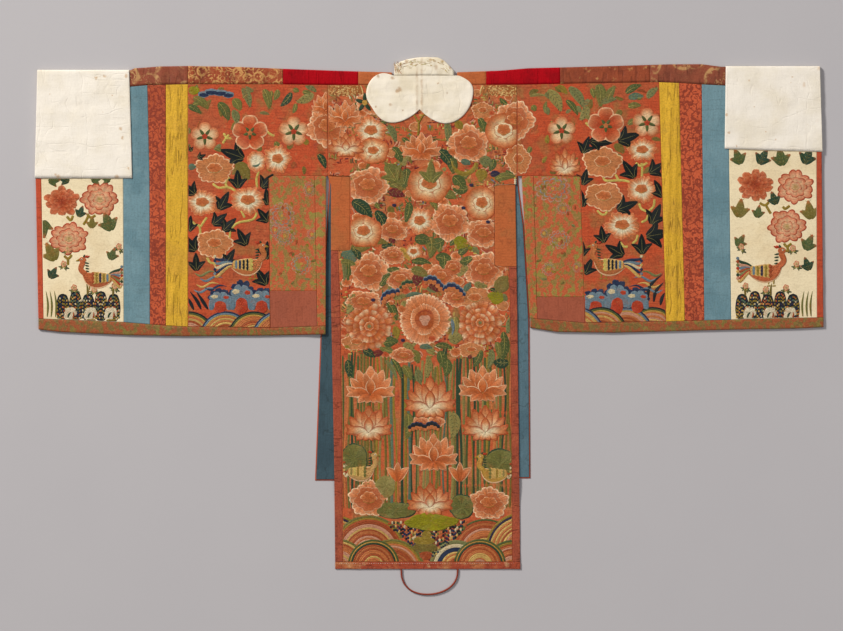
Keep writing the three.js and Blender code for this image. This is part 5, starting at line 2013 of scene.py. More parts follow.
SLEEVE_TREFOILS = {
    Side.LEFT: (
        (-420, 352, 50, 160), (-436, 282, 38, 92), (-384, 284, 36, 50), (-368, 244, 34, 96),
        (-366, 206, 34, 128), (-480, 234, 40, 62), (-496, 200, 36, 38), (-472, 186, 36, 44),
        (-530, 268, 38, 142), (-548, 184, 32, 84), (-530, 140, 42, 132), (-531, 94, 36, 92),
        (-466, 108, 36, 60), (-416, 152, 38, 118), (-372, 120, 36, 86), (-370, 62, 40, 122),
        (-541, 368, 14, 120), (-530, 354, 18, 20)),
    Side.RIGHT: (
        (350, 362, 36, 70), (428, 392, 46, 18), (364, 392, 44, -4), (470, 306, 42, 124), (500, 318, 40, 32),
        (350, 290, 34, 76), (352, 240, 36, 100), (426, 234, 44, 22), (534, 262, 38, 116), (506, 200, 44, 66),
        (492, 174, 52, 10), (486, 132, 40, 92), (398, 158, 34, 98), (446, 130, 42, 150), (354, 86, 36, 66),
        (350, 128, 30, 90), (534, 430, 20, 110)),
}
SLEEVE_STEMS = {
    Side.LEFT: (
        ((-496, 297), (-480, 286), (-458, 287), (-436, 275)), ((-454, 312), (-464, 298), (-460, 284)),
        ((-388, 326), (-394, 306), (-392, 284)), ((-470, 412), (-462, 400), (-450, 398)),
        ((-472, 386), (-464, 398), (-456, 408)), ((-548, 216), (-534, 202), (-524, 198), (-522, 176)),
        ((-506, 220), (-516, 206), (-522, 196)),
        ((-392, 232), (-402, 214), (-436, 206), (-452, 190), (-456, 168)),
        ((-430, 236), (-420, 216)), ((-508, 128), (-500, 116), (-488, 113)), ((-478, 128), (-476, 118)),
        ((-372, 416), (-362, 408), (-352, 404))),
    Side.RIGHT: (
        ((396, 312), (404, 302), (440, 303), (470, 296)), ((424, 318), (432, 304), (438, 302)),
        ((484, 344), (486, 330), (485, 308)), ((470, 344), (482, 336), (500, 344)),
        ((382, 236), (392, 226), (402, 226), (408, 240)),
        ((478, 252), (484, 238), (498, 230), (496, 214), (482, 206)),
        ((514, 262), (512, 244), (500, 232)), ((434, 164), (444, 152), (454, 152)),
        ((476, 180), (472, 166), (462, 158)), ((356, 436), (364, 428), (372, 424))),
}
SLEEVE_GRASS = {
    Side.LEFT: (
        ((-503, 6), (-516, 26), (-534, 54)), ((-519, 6), (-530, 28), (-548, 52)),
        ((-536, 5), (-545, 24), (-556, 40))),
    Side.RIGHT: (
        ((497, 22), (504, 62), (536, 92)), ((512, 22), (517, 50), (537, 72)),
        ((527, 16), (531, 34), (538, 48))),
}
BACK_FLOWERS = (
    ("lotus", -192, 458, 40, 34), ("lotus_white", -190, 388, 46, 30), ("coral", -136, 478, 34, 26),
    ("pale", -128, 370, 40, 30), ("white", -133, 416, 38, 34), ("coral", -232, 425, 48, 48),
    ("coral", 196, 440, 44, 46), ("peach", 203, 350, 30, 34), ("peach", 122, 462, 26, 20),
    ("lotus", -18, 384, 48, 34), ("coral", 90, 386, 48, 44),
    ("pale", 170, 416, 46, 42), ("coral", -140, 291, 48, 42), ("pale", 0, 294, 54, 44),
    ("pale", 120, 250, 42, 42),
    ("coral", 47, 208, 46, 44), ("white", -22, 210, 34, 34), ("coral", -84, 190, 36, 28),
    ("pale", -150, 186, 46, 38),
    ("coral", 124, 182, 42, 34), ("coral", -82, 132, 30, 22), ("white", -36, 140, 22, 20),
    ("coral", -138, 94, 46, 44),
    ("coral", 124, 98, 46, 42), ("coral", 54, 104, 26, 26), ("coral", -66, 78, 38, 28),
    ("coral", 26, 84, 36, 28),
    ("coral", -150, 26, 42, 26), ("peach", 104, 34, 40, 28), ("coral", 62, 36, 32, 22),
    ("mum", -137, -30, 56, 56), ("mum", 116, -22, 52, 52), ("medallion", -10, -14, 60, 60),
    ("peach", -166, -66, 36, 20), ("peach", 96, -84, 30, 18), ("coral", -58, -96, 34, 18),
    ("lotus", -134, -158, 58, 46), ("lotus", 122, -156, 58, 44), ("lotus_white", 2, -186, 62, 52),
    ("lotus_white", -138, -246, 56, 44), ("lotus_white", 128, -246, 56, 44), ("lotus", 10, -312, 58, 46),
    ("lily", -72, -362, 30, 24), ("lily", 70, -362, 30, 24), ("lotus_white", 2, -420, 56, 40),
    ("coral", -138, -424, 46, 42), ("coral", 136, -434, 46, 38), ("coral", -20, -250, 22, 14),
    ("coral", 16, -248, 20, 14),
)
BACK_LEAVES = (
    (-96, 432, 50, 9, -66, "sage"), (-64, 400, 28, 6, -40, "green"), (38, 442, 54, 9, -88, "sage"),
    (112, 448, 42, 10, -68, "green"), (58, 438, 28, 10, -50, "ochre"), (-86, 380, 46, 12, -58, "green"),
    (20, 374, 58, 14, -52, "bottle"), (46, 358, 44, 13, -78, "green"), (-106, 336, 66, 17, -35, "moss"),
    (-52, 334, 54, 15, -100, "green"), (-94, 290, 50, 12, 8, "moss"), (52, 314, 48, 15, -50, "green"),
    (90, 284, 40, 11, 180, "green"), (28, 274, 38, 12, -20, "moss"), (-2, 264, 40, 8, -58, "moss"),
    (110, 352, 44, 13, -25, "sage"), (148, 354, 34, 9, -110, "green"), (118, 332, 34, 15, -95, "ochre"),
    (70, 348, 28, 9, -20, "blue_green"), (146, 304, 56, 10, 8, "moss"), (138, 314, 26, 8, 10, "indigo"),
    (-180, 258, 68, 17, -40, "bottle"), (-124, 236, 58, 13, -62, "bottle"), (-46, 258, 58, 11, -100, "green"),
    (-182, 142, 64, 16, 14, "olive"), (-178, 154, 42, 10, -60, "bottle"), (-130, 164, 40, 8, -10, "olive"),
    (52, 166, 44, 13, -18, "bright"), (58, 150, 46, 9, -5, "bright"), (-36, 168, 44, 14, -8, "green"),
    (36, 168, 44, 14, 198, "green"), (2, 178, 56, 14, -90, "moss"), (-46, 118, 56, 9, -8, "green"),
    (12, 128, 46, 13, -15, "green"), (34, 136, 46, 14, -95, "green"), (66, 130, 40, 10, 40, "green"),
    (102, 128, 40, 11, 200, "green"), (50, 86, 48, 15, 22, "pale"), (-46, 98, 50, 13, -18, "moss"),
    (-114, 58, 46, 11, 50, "green"), (-64, 100, 36, 9, 180, "green"), (-202, 140, 46, 14, -35, "blue_green"),
    (-204, 116, 42, 12, -10, "moss"), (-186, 126, 68, 6, -94, "green"), (-200, 126, 64, 5, -86, "sage"),
    (-168, 50, 58, 14, -112, "pale"), (174, 36, 46, 17, 172, "bright"), (148, 54, 48, 13, 40, "olive"),
    (180, 76, 40, 12, -130, "olive"), (100, 66, 38, 12, -10, "pale"), (84, 40, 34, 10, 70, "blue_green"),
    (-98, 28, 54, 10, -62, "green"), (-84, 32, 38, 8, 10, "pale"), (-60, 36, 48, 5, 10, "blue_green"),
    (-80, -28, 34, 9, -80, "ochre"), (50, -8, 48, 4, -88, "sky"), (58, -6, 44, 6, -85, "pale"),
    (42, -62, 38, 16, 8, "pale"), (184, -8, 42, 10, -100, "sage"), (168, -38, 78, 12, -92, "green"),
    (152, -62, 46, 9, -80, "moss"), (-114, -74, 48, 14, 12, "green"), (-80, -88, 38, 11, 160, "moss"),
    (-154, -84, 38, 10, -30, "bottle"), (-188, -104, 46, 11, -85, "bottle"),
    (-24, -78, 34, 7, -4, "blue_green"),
    (12, -74, 46, 8, -10, "green"), (22, -84, 44, 13, -78, "green"), (40, -102, 46, 12, -95, "green"),
    (-62, -70, 34, 9, -30, "pale"), (-42, -84, 38, 12, -60, "moss"), (-4, -92, 60, 8, -92, "pale"),
    (118, -76, 54, 10, -110, "green"), (142, -78, 54, 9, -100, "sage"), (184, -112, 42, 13, 178, "bottle"),
    (-62, -118, 44, 11, -60, "moss"), (-28, -126, 42, 10, -85, "sage"), (-88, -100, 60, 7, -64, "green"),
    (-104, -104, 62, 6, -58, "sage"), (52, -222, 66, 15, -88, "pale"), (-50, -222, 70, 13, -92, "moss"),
    (-164, -66, 34, 8, 200, "ochre"), (-70, 150, 44, 9, -50, "yellow"), (-100, 190, 40, 13, -60, "wine"),
    (-96, 276, 44, 12, -14, "wine"), (-48, 66, 40, 15, 20, "wine"), (-4, 62, 40, 11, -20, "wine"),
    (60, 44, 30, 9, -20, "wine"), (90, -106, 30, 8, 60, "wine"), (-130, -96, 30, 9, 10, "wine"),
)
BACK_CLOUDS = (
    (((-106, 24), (-98, 42), (-72, 50)), 8, "navy", "sky"),
    (((-64, 58), (-54, 68), (-42, 70)), 7, "bottle", "sage"),
    (((-8, 76), (8, 78), (22, 66), (30, 54)), 8, "navy", "sky"),
    (((38, 58), (52, 62), (66, 54), (78, 42)), 8, "navy", "sky"),
    (((-44, -262), (-28, -256), (-12, -260)), 7, "black", "navy"),
    (((-8, -260), (6, -254), (20, -260)), 7, "black", "navy"),
)
BACK_WAVES = (
    (-215, -536, 74, ((5, "ochre"), (5, "indigo"), (4, "gold")), 0.6, 0, 110),
    (-138, -548, 86, ((5, "moss"), (4, "ochre"), (6, "rust")), 1.0, 20, 160),
    (212, -540, 84, ((5, "ochre"), (5, "indigo"), (5, "gold")), 1.0, 80, 180),
    (128, -548, 78, ((4, "green"), (6, "rust"), (4, "tangerine")), 0.6, 30, 160),
    (-206, -578, 62, ((5, "moss"), (5, "gold")), 2.0, 0, 110),
    (-84, -590, 74, ((5, "moss"), (5, "ochre")), 2.2, 0, 150),
    (62, -580, 62, ((9, "sage"), (8, "cream"), (10, "navy")), 2.2, 30, 180),
    (190, -582, 64, ((5, "green"), (5, "ochre")), 2.2, 60, 180),
    (-127, -576, 59, ((4.5, "green"), (2.5, "yellow"), (4.5, "bottle"), (4, "rust")), 3.0, 0, 180),
    (116, -576, 60, ((4.5, "green"), (2.5, "yellow"), (4.5, "bottle"), (4, "rust")), 3.0, 0, 180),
)
CUFF_FLOWERS = {
    Side.LEFT: (
        ("red_peony", -838, 255, 42, 36), ("ivory_peony", -752, 260, 43, 39),
        ("ivory_peony", -822, 170, 45, 37)),
    Side.RIGHT: (
        ("red_peony", 744, 292, 43, 38), ("ivory_peony", 835, 288, 43, 39),
        ("ivory_peony", 816, 198, 44, 39)),
}
CUFF_LEAVES = {
    Side.LEFT: (
        (-800, 218, 24, 70, "bottle"), (-724, 186, 40, 112, "green"), (-880, 214, 36, -88, "green"),
        (-852, 118, 40, 118, "olive"), (-770, 192, 24, 88, "olive"), (-870, 300, 26, 10, "green"),
        (-820, 300, 24, 160, "bottle"), (-772, 301, 24, 20, "green"), (-726, 302, 22, 160, "green"),
        (-728, 120, 26, 70, "green"), (-866, 78, 26, 60, "bottle")),
    Side.RIGHT: (
        (712, 338, 34, 112, "green"), (752, 338, 34, 62, "bottle"), (806, 334, 38, 100, "green"),
        (856, 338, 36, 70, "bottle"), (706, 216, 38, 82, "ochre"), (748, 216, 26, 80, "green"),
        (792, 246, 28, 110, "bottle"), (872, 212, 38, 100, "olive"), (858, 142, 34, 66, "green"),
        (702, 150, 28, 60, "green"), (868, 96, 28, 110, "bottle")),
}
CUFF_STEMS = {
    Side.LEFT: (
        ((-828, 222), (-818, 212), (-812, 224)), ((-782, 228), (-772, 218), (-760, 224)),
        ((-790, 200), (-782, 212), (-778, 222)), ((-834, 132), (-824, 124), (-814, 134)),
        ((-824, 124), (-824, 108))),
    Side.RIGHT: (
        ((752, 252), (766, 246), (776, 254)), ((768, 246), (776, 232), (780, 226)),
        ((806, 244), (812, 238), (824, 246)), ((808, 160), (816, 152), (828, 160)), ((817, 152), (820, 138))),
}


@dataclass
class SleeveGarden(Garden):
    """The red panel's flowers on branches, over rocks and water."""

    side: Side = Side.LEFT

    def stitch(self) -> None:
        """Stitches the whole panel."""
        sign = self.side.value
        for points in SLEEVE_STEMS[self.side]:
            self.stem(points)
        for row in SLEEVE_LEAVES[self.side]:
            self.leaf(*row)
        for x, y, size, angle in SLEEVE_TREFOILS[self.side]:
            self.trefoil(x, y, 1.16 * size, angle)
        self.plant(SLEEVE_FLOWERS[self.side])
        middle = -425 if self.side is Side.LEFT else 420
        self.rocks(middle - 6 * sign, 8, 74, 62)
        self.bird(middle + 16 * sign, 110, 50, sign, "tangerine", "olive", reach=0.8)
        for dx, y, thread in ((0, 92, "sage"), (12, 80, "sky"), (4, 66, "gold"), (22, 60, "navy"),
                              (-2, 54, "sky")):
            x = middle - (112 - dx) * sign
            self.blade([(x, y), (x + 16 * sign, y - 7), (x + 36 * sign, y + 3), (x + 56 * sign, y)], 3.0,
                       thread, 1.0, Profile.LEAF, 14, thin=True)
        self.tufts(SLEEVE_GRASS[self.side], 4.4, "black")
        centres = (-548, -464, -400, -344) if self.side is Side.LEFT else (510, 450, 392, 338)
        for k, x in enumerate(centres):
            self.wave(x, -56 if self.side is Side.LEFT else -46, 60, WATER[k % 2], 1.4 + 1.4 * k)
        if self.side is Side.LEFT:
            self.cloud(-486, 500, 46, "navy", "sky")
            self.rosette(-537, 508, 13, 10, "bright", 0)
        box = (-548, -240, 320, 516) if self.side is Side.LEFT else (208, 524, 320, 516)
        taken = [(x, y, max(w, h)) for _, x, y, w, h in SLEEVE_FLOWERS[self.side]]
        self.scatter(30, box, taken, self.filler, 20)

    def filler(self, x: float, y: float, count: int) -> None:
        """Stitches one worn leaf.

        Args:
            x: its middle.
            y: its middle.
            count: its number; not used.
        """
        thread = self.draw.choice(("olive", "moss", "rust", "sage", "ochre"))
        self.leaf(x, y, self.draw.uniform(16, 30), self.draw.uniform(4, 8), self.draw.uniform(0, 360), thread,
                  0.2)


@dataclass
class CuffGarden(Garden):
    """The ivory panel's peonies over a bird, hills and scrolls."""

    side: Side = Side.LEFT

    def stitch(self) -> None:
        """Stitches the whole panel."""
        for points in CUFF_STEMS[self.side]:
            self.stem(points, 3.4, "ochre")
        for x, y, size, angle, thread in CUFF_LEAVES[self.side]:
            tipped = {"ochre": "tipped_olive"}.get(thread, f"tipped_{thread}")
            self.trefoil(x, y, 1.15 * size, angle, tipped, full=1.2)
        for kind, x, y, wide, tall in CUFF_FLOWERS[self.side]:
            if kind == "red_peony":
                for k, share in enumerate((1.0, 0.76, 0.46)):
                    self.rosette(x, y, share * wide, share * tall, kind, 10 - 2 * k, 0.2, 1 + 0.9 * k, 5,
                                 fray=0.07, turn=20 * k)
            else:
                self.rosette(x, y, wide, tall, kind, 13, 0.15, 1, 6, turn=5)
                self.rosette(x, y, 0.68 * wide, 0.64 * tall, kind, 8, 0.2, 2, turn=20)
                self.rosette(x, y, 0.38 * wide, 0.36 * tall, kind, 5, 0.22, 3, turn=90)
                self.smile(x, y - 0.08 * tall, 0.24 * wide, 4.2)
        sign = self.side.value
        start = -848 if self.side is Side.LEFT else 702
        centre = (start + 84, 80) if self.side is Side.LEFT else (start + 72, 96)
        self.bird(*centre, 48 if self.side is Side.LEFT else 54, -sign, "cuff_body", "rust",
                  ("bottle", "pink", "sky", "rust", "sage", "scarlet", "gold"), 0.5,
                  ("rust", "ochre", "indigo", "ochre", "sky"))
        for dx, y, angle in ((10, 152, 60), (128, 148, 100), (136, 112, 80), (20, 62, 70), (66, 54, 95),
                             (112, 58, 80)):
            x = start + dx if self.side is Side.RIGHT else start + 150 - dx
            self.trefoil(x, y - 8, 13, angle - 90, "bottle")
            self.trefoil(x, y - 8, 12, angle + 90, "bottle")
            self.rosette(x, y, 7, 8, "ivory_peony", 5, 0.25, 1.5)
        self.hills(start)
        outer = -872 if self.side is Side.LEFT else 872
        self.tufts([((outer + dx * sign, -14), (outer + (dx + 2) * sign, 20), (outer + (dx - 3) * sign, 54))
                    for dx in (0, 9, 19)], 2.6, "moss")
        self.tufts([((outer + dx * sign, 36), (outer + (dx + 1) * sign, 52), (outer + (dx - 2) * sign, 70))
                    for dx in (92, 150)], 3.0, "olive")

    def hills(self, start: float) -> None:
        """Stitches hills in short strokes of many colours behind white scrolls along the hem.

        Args:
            start: x of the edge nearest the left.
        """
        for k in range(5):
            x, top = start + 12 + 29 * k, 48 + 7 * (k % 2)
            self.blade([(x, -26), (x, 4), (x, top)], 16.0, "black", 0.8, Profile.ROUND, 12)
            for column in range(-4, 5):
                dx, y = 3.1 * column, top - 7 - 0.1 * (3.1 * column) ** 2
                while y > -12:
                    thread = self.draw.choice(("gold", "olive", "blue_green", "ochre", "rust", "indigo",
                                               "ochre", "navy", "tangerine", "cream"))
                    self.blade([(x + dx, y), (x + dx, y - 8)], 1.9, thread, 2.2, Profile.RIBBON, 4, thin=True)
                    y -= 7.8
        for k in range(3):
            x = start + 30 + 46 * k
            self.rosette(x, 2, 15, 12, "ivory", 5, 0.18, 2.8, turn=18)
            self.rosette(x - 5, -8, 11, 10, "ivory", 4, 0.16, 3.2, turn=40)
            self.blade([(x - 7, -13), (x - 4, -3), (x + 2, 3)], 2.6, "bottle", 4.6, thin=True)
            self.blade([(x + 4, -12), (x + 7, -4), (x + 6, 4)], 2.0, "rust", 4.6, thin=True)
            self.blade([(x - 12, -16), (x + 12, -16)], 2.2, "ochre", 4.4, Profile.RIBBON, 8, thin=True)


@dataclass
class BackGround(Garden):
    """What lies lowest on the long back: strokes, leaves, reeds, pads and waves."""

    ROUNDELS = -203, 168
    ROUNDEL_FOOT = 496
    ROUNDEL_STROKES = 150
    REEDS = -197.0, 188
    FILLED = -228, 198, -96, 520
    FILLERS = 300
    HATCHED = -228, 198, -96, 500
    HATCHES = 260

    def filler(self, x: float, y: float, count: int) -> None:
        """Stitches a tangle of short strokes, a leaf or a small petal of the dense ground.

        Args:
            x: its middle.
            y: its middle.
            count: its number, which picks its kind.
        """
        angle = self.draw.uniform(0, 360)
        if count % 5 == 0:
            thread = self.draw.choice(("coral", "coral", "peach", "red_petal", "coral_crown"))
            size = self.draw.uniform(9, 16.5)
            self.rosette(x, y, size, 0.8 * size, thread, 8, 0.14, 0.3 + 0.05 * (count % 7), turn=angle)
            return
        if count % 5 == 1:
            thread = self.draw.choice(("green", "moss", "olive", "bottle", "sage", "pale", "blue_green"))
            self.leaf(x, y, self.draw.uniform(18, 33), self.draw.uniform(5, 9), angle, thread, 0.5)
            return
        threads = self.draw.choice((
            ("green", "moss", "gold"), ("wine", "scarlet", "pink"), ("ochre", "pale", "rust"),
            ("sage", "tangerine", "green"), ("rust", "cream", "moss"), ("sky", "moss", "ochre"),
            ("peach", "brick", "pink"), ("bottle", "green", "tangerine")))
        step = self.draw.uniform(2.6, 3.8)
        across = math.radians(angle + 90)
        for k in range(-2, 3):
            cx, cy = x + k * step * math.cos(across), y + k * step * math.sin(across)
            self.blade(ray(cx, cy, angle + self.draw.uniform(-12, 12), self.draw.uniform(11, 24), 0.12),
                       self.draw.uniform(1.2, 1.9), threads[k % 3], 0.2 + 0.05 * (count % 5), Profile.RIBBON,
                       5, 0.1, thin=True)

    def hatch(self, x: float, y: float, count: int) -> None:
        """Stitches a patch of crossed short strokes, in wine and pink or in green and ochre.

        Args:
            x: its middle.
            y: its middle.
            count: its number, which picks its threads.
        """
        threads = (("wine", "scarlet", "brick"), ("wine", "pink", "rust"), ("moss", "ochre", "pale"),
                   ("scarlet", "khaki", "olive"))[count % 4]
        for k in range(8):
            cx, cy = x + self.draw.uniform(-11, 11), y + self.draw.uniform(-8, 8)
            self.blade(ray(cx, cy, self.draw.choice((84, 94, 8, 172)) + self.draw.uniform(-6, 6),
                           self.draw.uniform(9, 17)), self.draw.uniform(1.1, 1.9), threads[k % 3], 0.8,
                       Profile.RIBBON, 4, 0.1, thin=True)

    def reeds(self) -> None:
        """Stitches the upright stems of the pond."""
        x, end = self.REEDS
        while x < end:
            top = -76 + self.draw.uniform(-20, 14) - (24 if -80 < x < 60 else 0)
            thread = self.draw.choice(("green", "moss", "green", "bottle", "blue_green", "olive", "ochre",
                                       "green", "pale", "tangerine", "pale"))
            sway = self.draw.uniform(-5, 5)
            half = self.draw.uniform(2.2, 3.7)
            self.blade([(x, -456), (x + sway, -330), (x - sway, -200), (x + sway / 2, top)], half, thread,
                       0.3, Profile.RIBBON, 22, 0.15, thin=True)
            x += self.draw.uniform(6.0, 8.6)

    def pond(self) -> None:
        """Stitches the pads, the waves and the broken ground between them."""
        for x, y, wide, tall in ((-172, -334, 34, 38), (162, -346, 42, 38), (-78, -450, 52, 20),
                                 (74, -442, 30, 30)):
            self.rosette(x, y, wide, tall, "bottle", 5, 0.06, 0.9)
            self.rosette(x, y, 0.93 * wide, 0.93 * tall, "moss", 5, 0.06, 1.4)
            for angle in range(0, 360, 30):
                self.blade(ray(x, y, angle, 0.85 * min(wide, tall)), 0.5, "bottle", 2.4, Profile.TAPER, 5,
                           thin=True)
        self.rosette(-100, -396, 24, 26, "pale", 5, 0.05, 1.4)
        for row in BACK_WAVES:
            self.wave(row[0], row[1], row[2], row[3], row[4], row[5], row[6])
        for column in range(-23, 22):
            x = 4.0 * column
            y = -470.0 - self.draw.uniform(0, 8)
            while y > -560 + 0.85 * abs(x):
                thread = self.draw.choice(("black", "navy", "gold", "black", "rust", "cream", "wine",
                                           "bottle", "navy", "tangerine", "moss"))
                self.blade([(x, y), (x + self.draw.uniform(-1, 1), y - 9)], 2.5, thread, 2.4, Profile.RIBBON,
                           4, thin=True)
                y -= 8.4
        for x, y, wide, tall, thread in ((-6, -506, 12, 9, "ochre"), (-12, -520, 26, 10, "ochre"),
                                         (-10, -536, 30, 12, "olive"), (-8, -552, 14, 12, "rust")):
            self.rosette(x, y, wide, tall, thread, 5, 0.1, 3.6, turn=18)
        self.rosette(4, -477, 60, 20, "bright", 9, 0.05, 4.2, lobes=4)

    def stitch(self) -> None:
        """Stitches the ground, the pond, its birds and the two half roundels."""
        self.reeds()
        taken = [(x, y, 0.8 * max(w, h)) for _, x, y, w, h in BACK_FLOWERS]
        self.scatter(self.FILLERS, self.FILLED, taken, self.filler, 12)
        near = [(x, y, 0.4 * max(w, h)) for _, x, y, w, h in BACK_FLOWERS]
        self.scatter(self.HATCHES, self.HATCHED, near, self.hatch, 9)
        for row in BACK_LEAVES:
            self.leaf(*row, 1.0)
        self.pond()
        self.arc(80, 346, 28, 5.5, "ochre", 170, 360, 1.6)
        for x, y, facing, tint, wing in ((-150, -362, 1, "sand", "tangerine"),
                                         (142, -366, -1, "yellow", "ochre")):
            self.bird(x, y, 44, facing, tint, wing, ("gold", "cream", "pale", "rust", "cream"), 0.2,
                      ("moss", "gold", "ochre", "khaki", "pale"))
        foot = self.ROUNDEL_FOOT
        for x in self.ROUNDELS:
            for k in range(7):
                self.arc(x, foot, 4 + 7.2 * k, 3.8, "gold_ground", 0, 180, 2.0)
            self.arc(x, foot, 52, 1.7, "gilt", 0, 180, 3.4)
            for _ in range(self.ROUNDEL_STROKES):
                angle, away = self.draw.uniform(4, 176), self.draw.uniform(6, 48)
                dx, dy = bearing(angle)
                cx, cy = x + away * dx, foot + away * dy
                self.blade(ray(cx, cy, self.draw.uniform(0, 360), 6, 0.5), 0.9, "gilt", 3.4, Profile.RIBBON,
                           5, 0.05, thin=True)


@dataclass
class BackGarden(Garden):
    """The long back's flowers: peonies above, a round one at the middle, and lotuses over the pond."""

    def stitch(self) -> None:
        """Stitches the flowers, the birds and the banks of cloud."""
        self.stem(((-24, 440), (-24, 418), (-26, 404)), 2.6, "ochre", 4.2)
        for dx in (-18, 18):
            self.stem(((-24, 434), (-24 + 0.6 * dx, 452), (-24 + dx, 450)), 2.0, "ochre", 4.2)
        self.plant(BACK_FLOWERS)
        for k in range(9):
            y = 291 + 2.2 * k
            self.blade([(193 + k % 2, y), (199.5 - k % 2, y + 1)], 1.3, "ivory" if k < 7 else "khaki", 5.0,
                       Profile.RIBBON, 5, thin=True)
            self.blade([(-229.5, y + 6), (-223 - k % 2, y + 7)], 1.2, "rust" if k % 3 else "ochre", 5.0,
                       Profile.RIBBON, 5, thin=True)
        self.sprig(-147, 480, 24)
        for x, y, size, angle in ((4, 292, 54, 90), (-72, 298, 52, 122)):
            self.trefoil(x, y, size, angle, "moss", 4.8)
        for points, half, thread, edge in BACK_CLOUDS:
            self.bank(points, half, thread, edge, 5.2)
        for x, y in ((96, 292), (78, 240), (-80, 246), (134, 208), (-128, 30), (-60, -62)):
            self.rosette(x, y, 5, 4, "indigo", 4, 0.1, 5.4)


@dataclass
class PatchGarden(Garden):
    """The few outlined flowers of the brocade patch."""

    side: Side = Side.LEFT

    def ring(self, x: float, y: float, wide: float, tall: float, thread: str, petals: int) -> None:
        """Stitches one scalloped outline."""
        self.rosette(x, y, wide, tall, thread, petals, 0.24, 0.2, dome=0.0, fray=0.05,
                     rings=np.array([0.88, 0.9, 0.94, 0.985, 1.0]))

    def stitch(self) -> None:
        """Stitches the patch's flowers."""
        rows = {
            Side.LEFT: ((-336, 222, 32, 32, 4), (-330, 176, 26, 22, 3), (-292, 112, 24, 26, 2),
                        (-274, 282, 14, 18, 2), (-268, 180, 12, 14, 2), (-352, 190, 14, 20, 2)),
            Side.RIGHT: ((282, 284, 44, 34, 4), (297, 168, 27, 23, 3), (272, 100, 16, 17, 2),
                         (262, 182, 10, 12, 2), (336, 104, 9, 14, 2), (306, 238, 18, 14, 2)),
        }
        for x, y, wide, tall, rings in rows[self.side]:
            for k in range(rings):
                share = 1 - 0.27 * k
                self.ring(x, y, share * wide, share * tall, "slate" if k % 2 else "dusty", max(5, 13 - 3 * k))
            self.rosette(x, y, 3.5, 4, "yellow", 5, 0.2, 0.4, dome=0.0)
        for _ in range(46):
            x, y = self.draw.uniform(-356, 346), self.draw.uniform(50, 300)
            self.leaf(x if (x < 0) == (self.side is Side.LEFT) else -x, y, self.draw.uniform(9, 17), 3.4,
                      self.draw.uniform(0, 360), self.draw.choice(("sage", "olive", "ochre", "rust")), 0.0)


def underside(cut: Cut) -> Cut:
    """Gives the same cut with a coarse grid, for a layer that lies under others."""
    return Cut(cut.node, cut.finish, cut.columns, cut.rows, cut.under, cut.wall, cut.skip,
               HIDDEN_CELL, 0.0)


